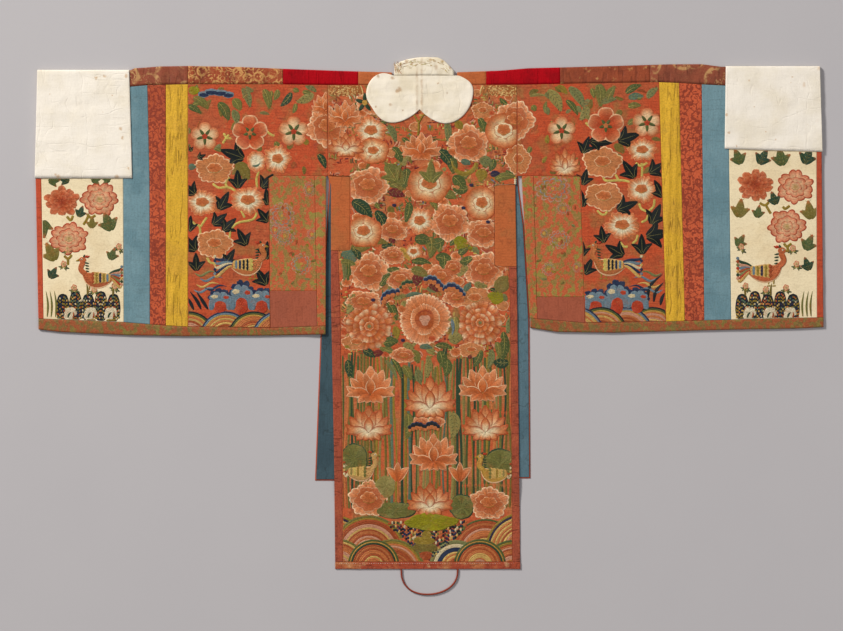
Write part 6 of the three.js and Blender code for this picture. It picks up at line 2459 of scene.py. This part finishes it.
@dataclass
class Sleeve:
    """One sleeve: its cut strips, both layers of them, its hem binding and its white cuff."""

    side: Side
    seams: Sequence[Line]
    cuff_inner: Line
    foot: Line
    fold: Line
    hem_seam: Line
    hem: Line
    hem_span: tuple[float, float]
    patch_foot: float
    mouth_at: float = 350.0
    cuff_stations: int = 27
    cuff_rows: tuple[int, int] = (30, 8)
    cuff_puff: float = 0.8
    creases: tuple[float, float] = (765, 480)

    def cut(self, name: str, finish: str, columns: Sequence[Line], rows: Sequence[Line] | None = None,
            front: bool = False, extra: float = 0.0, cell: float = 6.0,
            skip: Sequence[tuple[int, int]] = ()) -> Cut:
        """Gives one of the sleeve's cuts; columns run from the mouth inwards.

        Args:
            name: the piece's name without its side.
            finish: the name of its material.
            columns: its upright seams.
            rows: its level seams, or none for its full height.
            front: whether it is on the sleeve's front half.
            extra: how much thicker than the others it is.
            cell: the mesh's spacing.
            skip: column and row of the cells that are left out.

        Returns:
            The cut.
        """
        under, wall = (DRAPE.sleeve_front, SLEEVE_FRONT_WALL) if front else (DRAPE.sleeve_back, BACK_WALL)
        ordered = self.side.order(columns)
        made = Cut(f"{name}_{self.side.word}", finish, ordered,
                   rows or [Across.shoulder_seam, self.hem_seam], under, wall + extra, skip, cell)
        return underside(made) if front else made

    def build(self, dresser: Dresser) -> None:
        """Builds the sleeve's pieces, the undermost first.

        Args:
            dresser: dresses the pieces.
        """
        end, edge, blue, red, yellow, flowers, patch, binding, slit, armhole = self.seams
        turn = self.side.value
        arm = level(ARMPIT)
        notch = [(1, 1)] if self.side is Side.LEFT else [(0, 1)]
        bands = (("cuff_edge", "mouth_silk", (end, edge), 5.0),
                 ("cuff_panel", "ivory_ground", (edge, blue), 6.0),
                 ("blue_band", "blue_silk", (blue, red), 5.0), ("red_band", "red_damask", (red, yellow), 4.5),
                 ("yellow_band", "yellow_silk", (yellow, flowers), 3.2))
        for name, finish, columns, cell in bands:
            self.cut(f"{name}_front", finish, columns, front=True).dress(dresser, [])
            back = self.cut(f"{name}_back", finish, columns, cell=cell)
            pieces = [self.cuff_garden(back, dresser)] if name == "cuff_panel" else []
            back.dress(dresser, [f"{name}_front_{self.side.word}_cloth"], pieces)
        under = level(ARMPIT - GAP / 2)
        foot = level(self.patch_foot)
        self.cut("flower_panel_front", "front_silk", (flowers, patch, binding, armhole),
                 [Across.shoulder_seam, arm, self.hem_seam], True,
                 skip=[(2, 1)] if self.side is Side.LEFT else [(0, 1)]).dress(dresser, [])
        self.cut("slit_binding_front", "sleeve_brocade", (binding.moved(turn * GAP / 2), slit),
                 [under, self.hem_seam], True).dress(dresser, [])
        lower = [f"flower_panel_front_{self.side.word}_cloth"]
        panel = self.cut("flower_panel_back", "embroidery_ground", (flowers, patch, armhole),
                         [Across.shoulder_seam, arm, self.hem_seam], skip=notch)
        panel.lip = 0.25
        panel.dress(dresser, lower, [self.panel_garden(panel, dresser)])
        inner = (patch.moved(turn * GAP / 2), binding)
        brocade = self.cut("brocade_patch", "sleeve_brocade", inner, [under, foot])
        ordered = self.side.order(inner)
        garden = PatchGarden(f"patch_outlines_{self.side.word}", brocade,
                             (ordered[0], ordered[1], foot, under), 5, side=self.side)
        garden.stitch()
        brocade.dress(dresser, lower, [garden.finish(dresser, "embroidered_red_silk")])
        self.cut("plain_patch", "rose_patch", inner, [foot, self.hem_seam]).dress(dresser, lower)
        self.cut("slit_binding_back", "sleeve_brocade", (binding, slit), [under, self.hem_seam],
                 extra=BINDING_EXTRA).dress(dresser, [f"slit_binding_front_{self.side.word}_cloth"])
        Folded(f"sleeve_hem_{self.side.word}", "binding_brocade", *self.hem_span, self.hem, self.hem_seam, -1,
               BINDING_EXTRA).dress(dresser, lower)
        self.white_cuff(dresser)

    def cuff_garden(self, ground: Cut, dresser: Dresser) -> bpy.types.Object:
        """Stitches the ivory panel below the white cuff.

        Args:
            ground: the panel that is stitched.
            dresser: dresses the pieces.

        Returns:
            The stitched object.
        """
        left, right = ground.columns
        garden = CuffGarden(f"cuff_stitches_{self.side.word}", ground,
                            (left, right, self.hem_seam, self.foot), 23 + self.side.value, side=self.side)
        garden.stitch()
        return garden.finish(dresser, "embroidered_ivory_silk")

    def panel_garden(self, ground: Cut, dresser: Dresser) -> bpy.types.Object:
        """Stitches the red panel; its inner edge steps back where the brocade patch begins.

        Args:
            ground: the panel that is stitched.
            dresser: dresses the pieces.

        Returns:
            The stitched object.
        """
        columns = ground.columns if self.side is Side.LEFT else self.side.order(ground.columns)
        flowers, patch, armhole = columns
        step = Line(((600, float(armhole(500))), (ARMPIT + 0.2, float(armhole(500))),
                     (ARMPIT - 0.2, float(patch(ARMPIT))), (-34, float(patch(-34)))))
        sides = (flowers, step) if self.side is Side.LEFT else (step, flowers)
        garden = SleeveGarden(f"panel_stitches_{self.side.word}", ground,
                              (*sides, self.hem_seam, Across.shoulder_seam), 31 + self.side.value,
                              side=self.side)
        garden.stitch()
        return garden.finish(dresser, "embroidered_red_silk")

    def white_cuff(self, dresser: Dresser) -> None:
        """Builds the wide white cuff, turned back over the sleeve's mouth.

        Args:
            dresser: dresses the pieces.
        """
        def pressed(x: Array, y: Array) -> Array:
            """Gives the height of the cotton's pressed creases.

            Args:
                x: places in millimetres.
                y: places in millimetres.

            Returns:
                Heights in millimetres.
            """
            upright, across = self.creases
            level_crease = 0.7 * np.exp(-((y - across - 0.03 * x) / 5) ** 2)
            upright_crease = 0.5 * np.exp(-((np.abs(x) - upright) / 4) ** 2)
            return 1.1 * DRAPE.ripple(1.3 * x, 1.3 * y) + (level_crease + upright_crease) * 0.5

        def outer(x: Array, y: Array) -> Array:
            """Gives the height of the outer face."""
            return DRAPE.sleeve_back(x, y) + BACK_WALL + GAP + CUFF_WALL + self.cuff_puff + pressed(x, y)

        def lip_inner(x: Array, y: Array) -> Array:
            """Gives the height of the lip's inner face under the mouth."""
            return DRAPE.sleeve_front(x, y) + SLEEVE_FRONT_WALL

        def flat(value: float) -> Height:
            """Gives a height that is the same everywhere."""
            return lambda x, y: value + 0 * x

        clear = (outer, lambda x, y: DRAPE.sleeve_back(x, y) + BACK_WALL + GAP, flat(CUFF_WALL), flat(0.0))
        lip = (outer, DRAPE.sleeve_back, lip_inner, flat(0.0))
        outwards = -self.side.value
        end = self.seams[0]
        shares = [*np.linspace(0.0, 0.985, self.cuff_stations), 0.993, 1.0]
        stations = [(end.moved(outwards * (GAP + CUFF_WALL)), lip), (end.moved(outwards * (GAP + 0.2)), lip),
                    (end.moved(outwards * GAP), clear)]
        for share in shares[1:]:
            stations.append((lambda y, t=share: (1 - t) * end(y) + t * self.cuff_inner(y), clear))
        sections = []
        for i, (line, heights) in enumerate(stations):
            edge_x = float(line(self.mouth_at))
            sunk = 0.5 if i in (0, len(stations) - 1) else 0.0
            lowered = (lambda x, y, h=heights[0], s=sunk: h(x, y) - s, *heights[1:])
            foot = float(self.foot(edge_x))
            sections.append(fold_section(line, float(self.fold(edge_x)), (foot, foot), 1, lowered,
                                         self.cuff_rows))
        node = f"white_cuff_{self.side.word}"
        piece, flat_size, area = loft(f"{node}_cloth", sections)
        dresser.cloth(piece, node, "white_cotton", flat_size, area,
                      [f"cuff_panel_back_{self.side.word}_cloth"])


class Robe:
    """The body of the robe and all that is sewn to it."""

    SLEEVES = (
        Sleeve(Side.LEFT, (
            Down.left_end, Down.left_cuff_edge, Down.left_cuff_blue, Down.left_blue_red, Down.left_red_yellow,
            Down.left_yellow_flowers, Down.left_flowers_patch, Down.left_patch_binding, Down.left_slit,
            Down.left_armhole), Down.left_cuff_inner, Across.left_cuff_foot, Across.left_cuff_fold,
            Across.left_hem_seam, Across.left_hem, (-891.75, -236.25), 50.4),
        Sleeve(Side.RIGHT, (
            Down.right_end, Down.right_cuff_edge, Down.right_cuff_blue, Down.right_blue_red,
            Down.right_red_yellow, Down.right_yellow_flowers, Down.right_flowers_patch,
            Down.right_patch_binding, Down.right_slit, Down.right_armhole), Down.right_cuff_inner,
            Across.right_cuff_foot, Across.right_cuff_fold, Across.right_hem_seam, Across.right_hem,
            (230.75, 899.95), 36.8),
    )
    SHOULDERS = (
        ("rose_left", "rose_roundels", -892.15, -550.7), ("brocade_left", "gold_brocade", -550.7, -334),
        ("scarlet_left", "scarlet_satin", -334, -162), ("neck_left", "orange_silk", -162, -85),
        ("neck_right", "orange_silk", 63.5, 130), ("scarlet_right", "scarlet_satin", 130, 299),
        ("brocade_right", "worn_brocade", 299, 504), ("rose_right", "rose_roundels", 504, 889.55))
    BACK_EDGE = (
        Line(((600, -231.2), (313.2, -231.2), (312.8, -180.5), (142.7, -180.5), (142.3, -207.9), (30, -203.1),
              (-313, -198.3), (-568, -197.6))),
        Line(((600, 200.6), (293.5, 200.6), (293.1, 149.6), (106, 149.6), (105.6, 181.6), (30, 184.8),
              (-313, 188.9), (-568, 190.3))))

    def __init__(self, dresser: Dresser) -> None:
        """Keeps what dresses the pieces."""
        self.dresser = dresser

    def fronts(self) -> None:
        """Builds the two fronts, face down, each with its blue lining."""
        for side, outer, neck, hem in ((Side.LEFT, Down.front_left, Down.neck_left, -382.6),
                                       (Side.RIGHT, Down.front_right, Down.neck_right, -377.6)):
            inwards = side.value
            inner = neck.moved(-inwards * GAP / 2)
            rows = [Across.shoulder_seam, level(NECK_POINT), level(hem)]
            shell = Cut(f"front_{side.word}", "front_silk", side.order((outer, inner)), rows,
                        lambda x, y: 0 * x, FRONT_WALL, (), 16.0, 0.0)
            shell.dress(self.dresser, [])
            columns = side.order((outer.moved(inwards * LINING_RIM), neck.moved(-inwards * LINING_RIM)))
            rows = [Across.shoulder_seam.moved(-LINING_RIM), level(NECK_POINT), level(hem + LINING_RIM)]
            # The left lining's finish carries painted shade from the sleeve above it; the right's is its lit
            # copy.
            Cut(f"front_lining_{side.word}", f"lining_{side.word}", columns, rows,
                lambda x, y: FRONT_WALL + GAP + 0 * x, LINING_WALL, (), LINING_CELL, 0.0
                ).dress(self.dresser, [f"front_{side.word}_cloth"])

    def back(self) -> None:
        """Builds the long back and what is pieced into it."""
        rests = ["front_lining_left_cloth", "front_lining_right_cloth"]
        seam = level(BACK_HEM_SEAM)
        panel = Cut(
            "back_panel", "back_ground",
            [Down.back_left, Down.strip_left, Down.patch_left, Down.patch_right, Down.strip_right,
             Down.back_right],
            [Across.shoulder_seam, level(ARMPIT), level(293.3), level(142.5), level(105.8), seam],
            DRAPE.back, BACK_WALL,
            [(0, 1), (0, 2), (1, 1), (1, 2), (3, 2), (4, 2), (3, 3), (4, 3), (0, 3), (0, 4), (4, 4)], 6.0,
            1.0, 0.25)
        limits = (*self.BACK_EDGE, seam, Across.shoulder_seam)
        ground = BackGround("back_ground_stitches", panel, limits, 7)
        ground.stitch()
        garden = BackGarden("back_stitches", panel, limits, 8)
        garden.stitch()
        panel.dress(self.dresser, rests, [ground.finish(self.dresser, "embroidered_red_silk"),
                                          garden.finish(self.dresser, "embroidered_red_silk")])
        half = GAP / 2
        pieces = (
            ("back_patch_left", "orange_silk", (Down.back_left, Down.patch_left.moved(-half)),
             (level(ARMPIT - half), level(142.5 + half)), 0.0),
            ("back_patch_right", "orange_silk", (Down.patch_right.moved(half), Down.back_right),
             (level(293.3 - half), level(105.8 + half)), 0.0),
            ("back_strip_left", "edging_silk", (Down.back_left, Down.strip_left.moved(-half)),
             (level(142.5), seam), 0.0),
            ("back_strip_right", "edging_silk", (Down.strip_right.moved(half), Down.back_right),
             (level(105.8), seam), 0.0),
            ("back_hem", "hem_silk", (Down.back_left, Down.back_right), (seam, level(BACK_HEM)),
             BINDING_EXTRA))
        for node, finish, columns, rows, extra in pieces:
            made = Cut(node, finish, columns, rows, DRAPE.back, BACK_WALL + extra)
            made.dress(self.dresser, rests)

    def shoulders(self) -> None:
        """Builds the strips that are folded over the shoulders."""
        for name, finish, start, stop in self.SHOULDERS:
            Folded(f"shoulder_{name}", finish, start, stop, Across.shoulder_fold, Across.shoulder_seam,
                   1).dress(self.dresser, ["back_panel_cloth"])

    def build(self) -> None:
        """Builds the whole robe."""
        self.fronts()
        for sleeve in self.SLEEVES:
            sleeve.build(self.dresser)
        self.back()
        self.shoulders()
        Collar().build(self.dresser)


@dataclass
class Collar:
    """The white collar: a flap of two round lobes, and the band turned over the neck's edge."""

    start: tuple[float, float] = (-21.9, 464.8)
    beziers: tuple[tuple[float, ...], ...] = (
        (-42, 444, -68, 433, -88, 434.4), (-106, 436, -118, 448, -127, 463),
        (-138, 480, -145, 488, -143.7, 504),
        (-142, 526, -126, 546, -105.5, 547.1), (-95, 547.5, -90, 544, -79.5, 541.6),
        (-34, 541.6, 11, 541.6, 56.6, 541.6), (64, 542.5, 70, 541.5, 74, 539),
        (94, 530, 101, 520, 100.5, 504.8), (99, 472, 78, 436, 39.1, 432.6), (14, 432, -10, 452, -21.9, 464.8))
    middle: tuple[float, float] = (-21.0, 506.0)
    torn_corner: tuple[float, float] = (-70, 556)
    threads: int = 64
    loose_threads: int = 26
    band_ends: tuple[float, float] = (-79.5, 56.6)
    band_seams: tuple[float, float] = (541.9, 521.0)
    band_sections: int = 30

    def outline(self) -> Array:
        """Gives points round the flap's edge.

        Returns:
            Rows of x, y in millimetres.
        """
        found = []
        a = np.array(self.start)
        for row in self.beziers:
            b, c, d = (np.array(row[k:k + 2]) for k in (0, 2, 4))
            for t in np.linspace(0, 1, 15, endpoint=False):
                found.append((1 - t)**3 * a + 3 * (1 - t)**2 * t * b + 3 * (1 - t) * t**2 * c + t**3 * d)
            a = d
        return np.array(found)

    def top(self, x: Array, y: Array) -> Array:
        """Gives the height of the collar's face."""
        ridge = 0.5 * np.exp(-((x + 30) / 2.5) ** 2) + 0.5 * np.exp(-((x + 17) / 2.5) ** 2)
        return COLLAR_LEVEL + COLLAR_WALL + 0.9 * DRAPE.ripple(1.7 * x, 1.7 * y) + 0.3 + ridge

    def frays(self, dresser: Dresser) -> None:
        """Lays the yellowed threads of the worn top and of its torn corner.

        Args:
            dresser: dresses the pieces.
        """
        wide = level(-200.0), level(200.0), level(400.0), level(NECK_TOP - 1.0)
        worn = Needlework("collar_threads", self, wide, 3)
        for k in range(self.threads):
            x = worn.draw.uniform(-68, 44)
            y = float(Across.neck_arch(x)) - worn.draw.uniform(4, 22)
            slope = float(Across.neck_arch(x + 2) - Across.neck_arch(x - 2)) / 4
            reach = worn.draw.uniform(5, 12)
            worn.blade([(x - reach / 2, y - slope * reach / 2), (x + reach / 2, y + slope * reach / 2)], 0.55,
                       ("khaki", "cream", "sand")[k % 3], 0.6, Profile.LEAF, 5, 0.1, thin=True)
        corner_x, corner_y = self.torn_corner
        for k in range(self.loose_threads):
            x, y = corner_x + worn.draw.uniform(-8, 12), corner_y + worn.draw.uniform(-12, 14)
            worn.blade(ray(x, y, worn.draw.uniform(20, 150), worn.draw.uniform(4, 10), 0.3), 0.6,
                       ("ochre", "sand", "rust", "cream")[k % 4], 0.9, Profile.LEAF, 5, 0.1, thin=True)
        worn.finish(dresser, "white_cotton")

    def face(self, x: Array, y: Array) -> Array:
        """Gives the height that threads lie at."""
        return self.top(x, y)

    def build(self, dresser: Dresser) -> None:
        """Builds both pieces.

        Args:
            dresser: dresses the pieces.
        """
        self.frays(dresser)
        edge = self.outline()
        shares = [*np.linspace(0.04, 0.94, 20), 0.975, 0.995, 1.0]
        rings = [np.array(self.middle) + share * (edge - self.middle) for share in shares]
        plan = np.concatenate([[self.middle], *rings])
        high = self.top(plan[:, 0], plan[:, 1])
        n = len(edge)
        free = 1 - smooth(538, 541, edge[:, 1])
        high[-n:] -= 1.1 * free
        high[-2 * n:-n] -= 0.5 * free
        count = len(plan)
        points = np.concatenate([np.column_stack([plan, high]),
                                 np.column_stack([plan, np.full(count, COLLAR_LEVEL)])])
        faces: list[tuple[int, ...]] = []
        for k in range(n):
            after = (k + 1) % n
            faces += [(0, 1 + after, 1 + k), (count, count + 1 + k, count + 1 + after)]
            for ring in range(len(rings) - 1):
                a, b = 1 + ring * n, 1 + (ring + 1) * n
                faces.append((a + k, a + after, b + after, b + k))
                faces.append((count + b + k, count + b + after, count + a + after, count + a + k))
            rim = 1 + (len(rings) - 1) * n
            faces.append((rim + k, rim + after, count + rim + after, count + rim + k))
        flap = new_object("collar_flap_cloth", points, faces, points[:, :2] * MM)
        x, y = edge.T
        area = abs(np.dot(x, np.roll(y, 1)) - np.dot(y, np.roll(x, 1))) / 2
        dresser.cloth(flap, "collar_flap", "collar_cotton", (float(np.ptp(x)), float(np.ptp(y))), float(area),
                      ["back_panel_cloth"])
        heights = (self.top, lambda px, py: COLLAR_LEVEL + 0 * px, lambda px, py: COLLAR_WALL + 0 * px,
                   lambda px, py: 0 * px)
        sections = [
            fold_section(lambda py, at=at: np.full(np.shape(py), at), float(Across.neck_arch(at)),
                         self.band_seams, 1, heights, (7, 4))
            for at in np.linspace(*self.band_ends, self.band_sections)]
        band, flat, area = loft("collar_band_cloth", sections)
        dresser.cloth(band, "collar_band", "band_cotton", flat, area, ["back_panel_cloth"])


class Graph:
    """Short calls that build a Geometry Nodes tree and bake it into a mesh."""

    def __init__(self, name: str, inputs: dict[str, str]) -> None:
        """Starts the tree.

        Args:
            name: its name.
            inputs: the type of socket for each named input.
        """
        self.tree = bpy.data.node_groups.new(name, "GeometryNodeTree")
        face = self.tree.interface
        face.new_socket("Geometry", in_out="OUTPUT", socket_type="NodeSocketGeometry")
        face.new_socket("Geometry", in_out="INPUT", socket_type="NodeSocketGeometry")
        self.keys = {label: face.new_socket(label, in_out="INPUT", socket_type=kind).identifier
                     for label, kind in inputs.items()}
        self.entry = self.tree.nodes.new("NodeGroupInput")
        self.exit = self.tree.nodes.new("NodeGroupOutput")

    def add(self, kind: str, values: dict[str | int, object], output: str | int = 0,
            **settings: object) -> bpy.types.NodeSocket:
        """Adds a node and gives one of its outputs.

        Args:
            kind: the node's type.
            values: what goes into its sockets, by name or number.
            output: the output that is wanted.
            **settings: the node's own properties.

        Returns:
            The output socket.
        """
        node = self.tree.nodes.new(kind)
        for key, value in settings.items():
            setattr(node, key, value)
        for key, value in values.items():
            if isinstance(value, bpy.types.NodeSocket):
                self.tree.links.new(value, node.inputs[key])
            else:
                node.inputs[key].default_value = value
        return node.outputs[output]

    def math(self, operation: str, *values: object) -> bpy.types.NodeSocket:
        """Adds one step of arithmetic."""
        return self.add("ShaderNodeMath", dict(enumerate(values)), 0, operation=operation)

    def close(self, geometry: bpy.types.NodeSocket) -> None:
        """Ends the tree in plain geometry with its material.

        Args:
            geometry: the tree's last geometry.
        """
        real = self.add("GeometryNodeRealizeInstances", {"Geometry": geometry})
        done = self.add("GeometryNodeSetMaterial",
                        {"Geometry": real, "Material": self.entry.outputs["Finish"]})
        self.tree.links.new(done, self.exit.inputs[0])

    def bake(self, name: str, lines: Sequence[Array], values: dict[str, object]) -> bpy.types.Object:
        """Runs the tree on polylines.

        Args:
            name: the object's name.
            lines: rows of x, y, z in millimetres for each polyline.
            values: the tree's inputs by name.

        Returns:
            An object with a plain mesh.
        """
        mesh = bpy.data.meshes.new(name)
        starts = np.cumsum([0] + [len(line) for line in lines])
        edges = [(int(s) + k, int(s) + k + 1) for s, line in zip(starts, lines) for k in range(len(line) - 1)]
        mesh.from_pydata((np.concatenate(lines) * MM).tolist(), edges, [])
        made = bpy.data.objects.new(name, mesh)
        bpy.context.scene.collection.objects.link(made)
        modifier = made.modifiers.new("build", "NODES")
        modifier.node_group = self.tree
        for label, value in values.items():
            modifier[self.keys[label]] = value
        result = made.evaluated_get(bpy.context.evaluated_depsgraph_get())
        baked = bpy.data.meshes.new_from_object(result)
        made.modifiers.remove(modifier)
        made.data = baked
        bpy.data.meshes.remove(mesh)
        return made


@dataclass
class HemLoop:
    """The narrow twisted loop at the middle of the back hem, lying on the surface."""

    route: tuple[tuple[float, float], ...] = (
        (-63.9, -584.8), (-62.9, -600.4), (-59.7, -611.5), (-54.6, -621.0), (-47.4, -628.8), (-38.7, -634.8),
        (-28.3, -639.0), (-16.6, -641.6), (-4.3, -642.4), (8.5, -641.6), (21.1, -639.0), (33.1, -634.8),
        (43.9, -628.8), (53.0, -621.0), (59.7, -611.5), (63.9, -600.4), (65.3, -584.8))
    strands: int = 3
    pitch: float = 7.5
    step: float = 0.9
    groove: float = 0.26
    ring_points: int = 24
    samples: int = 120

    def build(self, finishes: Finishes) -> bpy.types.Object:
        """Args:
            finishes: the materials by name.

        Returns:
            The cord.
        """
        graph = Graph("Twisted cord", {
            "Radius": "NodeSocketFloat", "Step": "NodeSocketFloat", "Twist": "NodeSocketFloat",
            "Strands": "NodeSocketFloat", "Finish": "NodeSocketMaterial"})
        entry = graph.entry.outputs
        line = graph.add("GeometryNodeMeshToCurve", {"Mesh": entry["Geometry"]})
        line = graph.add("GeometryNodeResampleCurve", {"Curve": line, "Length": entry["Step"]}, mode="LENGTH")
        far = graph.add("GeometryNodeSplineParameter", {}, "Length")
        line = graph.add("GeometryNodeSetCurveTilt",
                         {"Curve": line, "Tilt": graph.math("MULTIPLY", far, entry["Twist"])})
        ring = graph.add("GeometryNodeCurvePrimitiveCircle",
                         {"Resolution": self.ring_points, "Radius": entry["Radius"]})
        place = graph.add("GeometryNodeInputPosition", {})
        parts = graph.tree.nodes.new("ShaderNodeSeparateXYZ")
        graph.tree.links.new(place, parts.inputs[0])
        angle = graph.math("ARCTAN2", parts.outputs["Y"], parts.outputs["X"])
        lobe = graph.math("ABSOLUTE", graph.math("COSINE", graph.math(
            "MULTIPLY", graph.math("MULTIPLY", angle, entry["Strands"]), 0.5)))
        shrink = graph.math("MULTIPLY", graph.math("SUBTRACT", lobe, 1.0), self.groove)
        offset = graph.add("ShaderNodeVectorMath", {0: place, "Scale": shrink}, 0, operation="SCALE")
        ring = graph.add("GeometryNodeSetPosition", {"Geometry": ring, "Offset": offset})
        tube = graph.add("GeometryNodeCurveToMesh", {"Curve": line, "Profile Curve": ring, "Fill Caps": True})
        graph.close(graph.add("GeometryNodeSetShadeSmooth", {"Geometry": tube}))
        radius = CORD_DIAMETER / 2
        smooth_path = np.column_stack([curve(self.route, self.samples), np.full(self.samples, radius)])
        cord = graph.bake("hem_loop_cord", [smooth_path], {
            "Radius": radius * MM, "Step": self.step * MM, "Twist": 2 * math.pi / (self.pitch * MM),
            "Strands": float(self.strands), "Finish": finishes["loop_silk"]})
        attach(cord, "root")
        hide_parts("hem_loop")
        return cord


@dataclass
class Stitching:
    """Running stitches along the white cuffs, the collar and the bindings."""

    pitch: float = 5.2
    long: float = 2.6
    radius: float = 0.32
    seed: int = 4

    def tree(self) -> Graph:
        """Builds the tree that lays stitches along lines.

        Returns:
            The tree.
        """
        graph = Graph("Running stitches", {
            "Pitch": "NodeSocketFloat", "Length": "NodeSocketFloat", "Radius": "NodeSocketFloat",
            "Seed": "NodeSocketInt", "Finish": "NodeSocketMaterial"})
        entry = graph.entry.outputs
        line = graph.add("GeometryNodeMeshToCurve", {"Mesh": entry["Geometry"]})
        line = graph.add("GeometryNodeResampleCurve", {"Curve": line, "Length": entry["Pitch"]},
                         mode="LENGTH")
        bead = graph.add("GeometryNodeMeshUVSphere", {"Segments": 6, "Rings": 4, "Radius": 1.0})
        size = graph.add("ShaderNodeCombineXYZ", {
            "X": graph.math("MULTIPLY", entry["Length"], 0.5), "Y": entry["Radius"],
            "Z": graph.math("MULTIPLY", entry["Radius"], 0.7)})
        bead = graph.add("GeometryNodeTransform", {"Geometry": bead, "Scale": size})
        turn = graph.add("FunctionNodeAlignRotationToVector",
                         {"Vector": graph.add("GeometryNodeInputTangent", {})}, axis="X")
        vary = graph.add("FunctionNodeRandomValue", {2: 0.75, 3: 1.2, "Seed": entry["Seed"]}, 1,
                         data_type="FLOAT")
        laid = graph.add("GeometryNodeInstanceOnPoints",
                         {"Points": line, "Instance": bead, "Rotation": turn, "Scale": vary})
        graph.close(laid)
        return graph

    def lines(self) -> list[Array]:
        """Gives the lines that the stitches follow, in millimetres.

        Returns:
            Rows of x, y, z for each line.
        """
        found = []
        for sleeve in Robe.SLEEVES:
            inner, end = sleeve.cuff_inner, sleeve.seams[0]
            sign = sleeve.side.value
            y = np.linspace(float(sleeve.foot(800.0 * -sign)) + 6, float(sleeve.fold(0.0)) - 8, 40)
            x = inner(y) - 4.0 * sign
            top = DRAPE.sleeve_back(x, y) + BACK_WALL + GAP + CUFF_WALL + 1.15
            found.append(np.column_stack([x, y, top]))
            x = np.linspace(float(end(360.0)) + 8 * sign, float(inner(360.0)) - 6 * sign, 40)
            y = sleeve.foot(x) + 4.5
            top = DRAPE.sleeve_back(x, y) + BACK_WALL + GAP + CUFF_WALL + 1.15
            found.append(np.column_stack([x, y, top]))
        collar = Collar()
        middle = np.array(collar.middle)
        around = middle + 0.945 * (collar.outline() - middle)
        around = around[around[:, 1] < 534]
        turn = int(np.argmax(np.linalg.norm(np.diff(around, axis=0), axis=1))) + 1
        around = np.concatenate([around[turn:], around[:turn]])
        found.append(np.column_stack([around, collar.top(*around.T) + 0.1]))
        x = np.linspace(-210, 203, 80)
        y = np.full(80, BACK_HEM_SEAM - 3.0)
        found.append(np.column_stack([x, y, DRAPE.back(x, y) + BACK_WALL + BINDING_EXTRA + 0.35]))
        return found

    def build(self, finishes: Finishes) -> None:
        """Lays the stitches.

        Args:
            finishes: the materials by name.
        """
        made = self.tree().bake("running_stitches", self.lines(), {
            "Pitch": self.pitch * MM, "Length": self.long * MM, "Radius": self.radius * MM,
            "Seed": self.seed,
            "Finish": finishes["white_cotton"]})
        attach(made, "root")
        LOG.info("%s: %d faces", made.name, len(made.data.polygons))


@dataclass
class Studio:
    """The floor, the lights and the camera straight above the robe."""

    eye: tuple[float, float, float] = (-0.0176, -0.0055, 5.0)
    lens: float = 93.47
    sensor: float = 36.0
    view_end: float = 30.0
    floor_half: float = 16.0
    sky: tuple[float, float, float, float] = (0.98, 0.97, 1.0, 1.0)
    sky_strength: float = 0.24

    def camera(self) -> None:
        """Places the camera."""
        data = bpy.data.cameras.new("camera")
        data.lens = self.lens
        data.sensor_width = self.sensor
        data.clip_end = self.view_end
        camera = bpy.data.objects.new("camera", data)
        camera.location = self.eye
        bpy.context.scene.collection.objects.link(camera)
        bpy.context.scene.camera = camera

    def floor(self) -> None:
        """Lays the plain floor."""
        mesh = bpy.data.meshes.new("floor")
        far = self.floor_half
        mesh.from_pydata([(-far, -far, 0), (far, -far, 0), (far, far, 0), (-far, far, 0)], [], [(0, 1, 2, 3)])
        floor = bpy.data.objects.new("floor", mesh)
        bpy.context.scene.collection.objects.link(floor)
        n = Nodes("floor_paper")
        grain = n.noise(n.place(), 3.0, 3.0)
        colour = n.mix(grain, linear("#b4b1b4"), linear("#b9b6b8"))
        floor.data.materials.append(n.finish(colour, grain, 0.0001, 0.95, 0.0, 0.1))

    def light(self, name: str, place: tuple[float, float, float], size: float, power: float,
              tint: tuple[float, float, float]) -> None:
        """Hangs a square soft light that faces the robe.

        Args:
            name: its name.
            place: where it hangs, in metres.
            size: its side's length.
            power: its power in watts.
            tint: its colour.
        """
        data = bpy.data.lights.new(name, "AREA")
        data.size = size
        data.energy = power
        data.color = tint
        lamp = bpy.data.objects.new(name, data)
        lamp.location = place
        x, y, z = place
        lamp.rotation_euler = (math.atan2(math.hypot(x, y), z), 0.0, math.atan2(x, -y))
        bpy.context.scene.collection.objects.link(lamp)

    def build(self) -> None:
        """Builds the studio."""
        self.floor()
        self.light("key", (-7.8, 7.2, 6.6), 2.4, 1810.0, (1.0, 0.97, 0.92))
        self.light("fill", (2.4, -0.8, 4.2), 3.0, 46.0, (1.0, 0.97, 0.94))
        world = bpy.data.worlds.new("studio")
        world.use_nodes = True
        sockets = world.node_tree.nodes["Background"].inputs
        sockets["Color"].default_value = self.sky
        sockets["Strength"].default_value = self.sky_strength
        scene = bpy.context.scene
        scene.world = world
        scene.view_settings.view_transform = "Standard"


def main() -> None:
    """Builds the robe and the studio."""
    logging.basicConfig(level=logging.INFO, format="%(message)s")
    studio = Studio()
    studio.camera()
    finishes = Finishes()
    HemLoop().build(finishes)
    Robe(Dresser(finishes)).build()
    Stitching().build(finishes)
    studio.build()


if __name__ == "__main__":
    main()
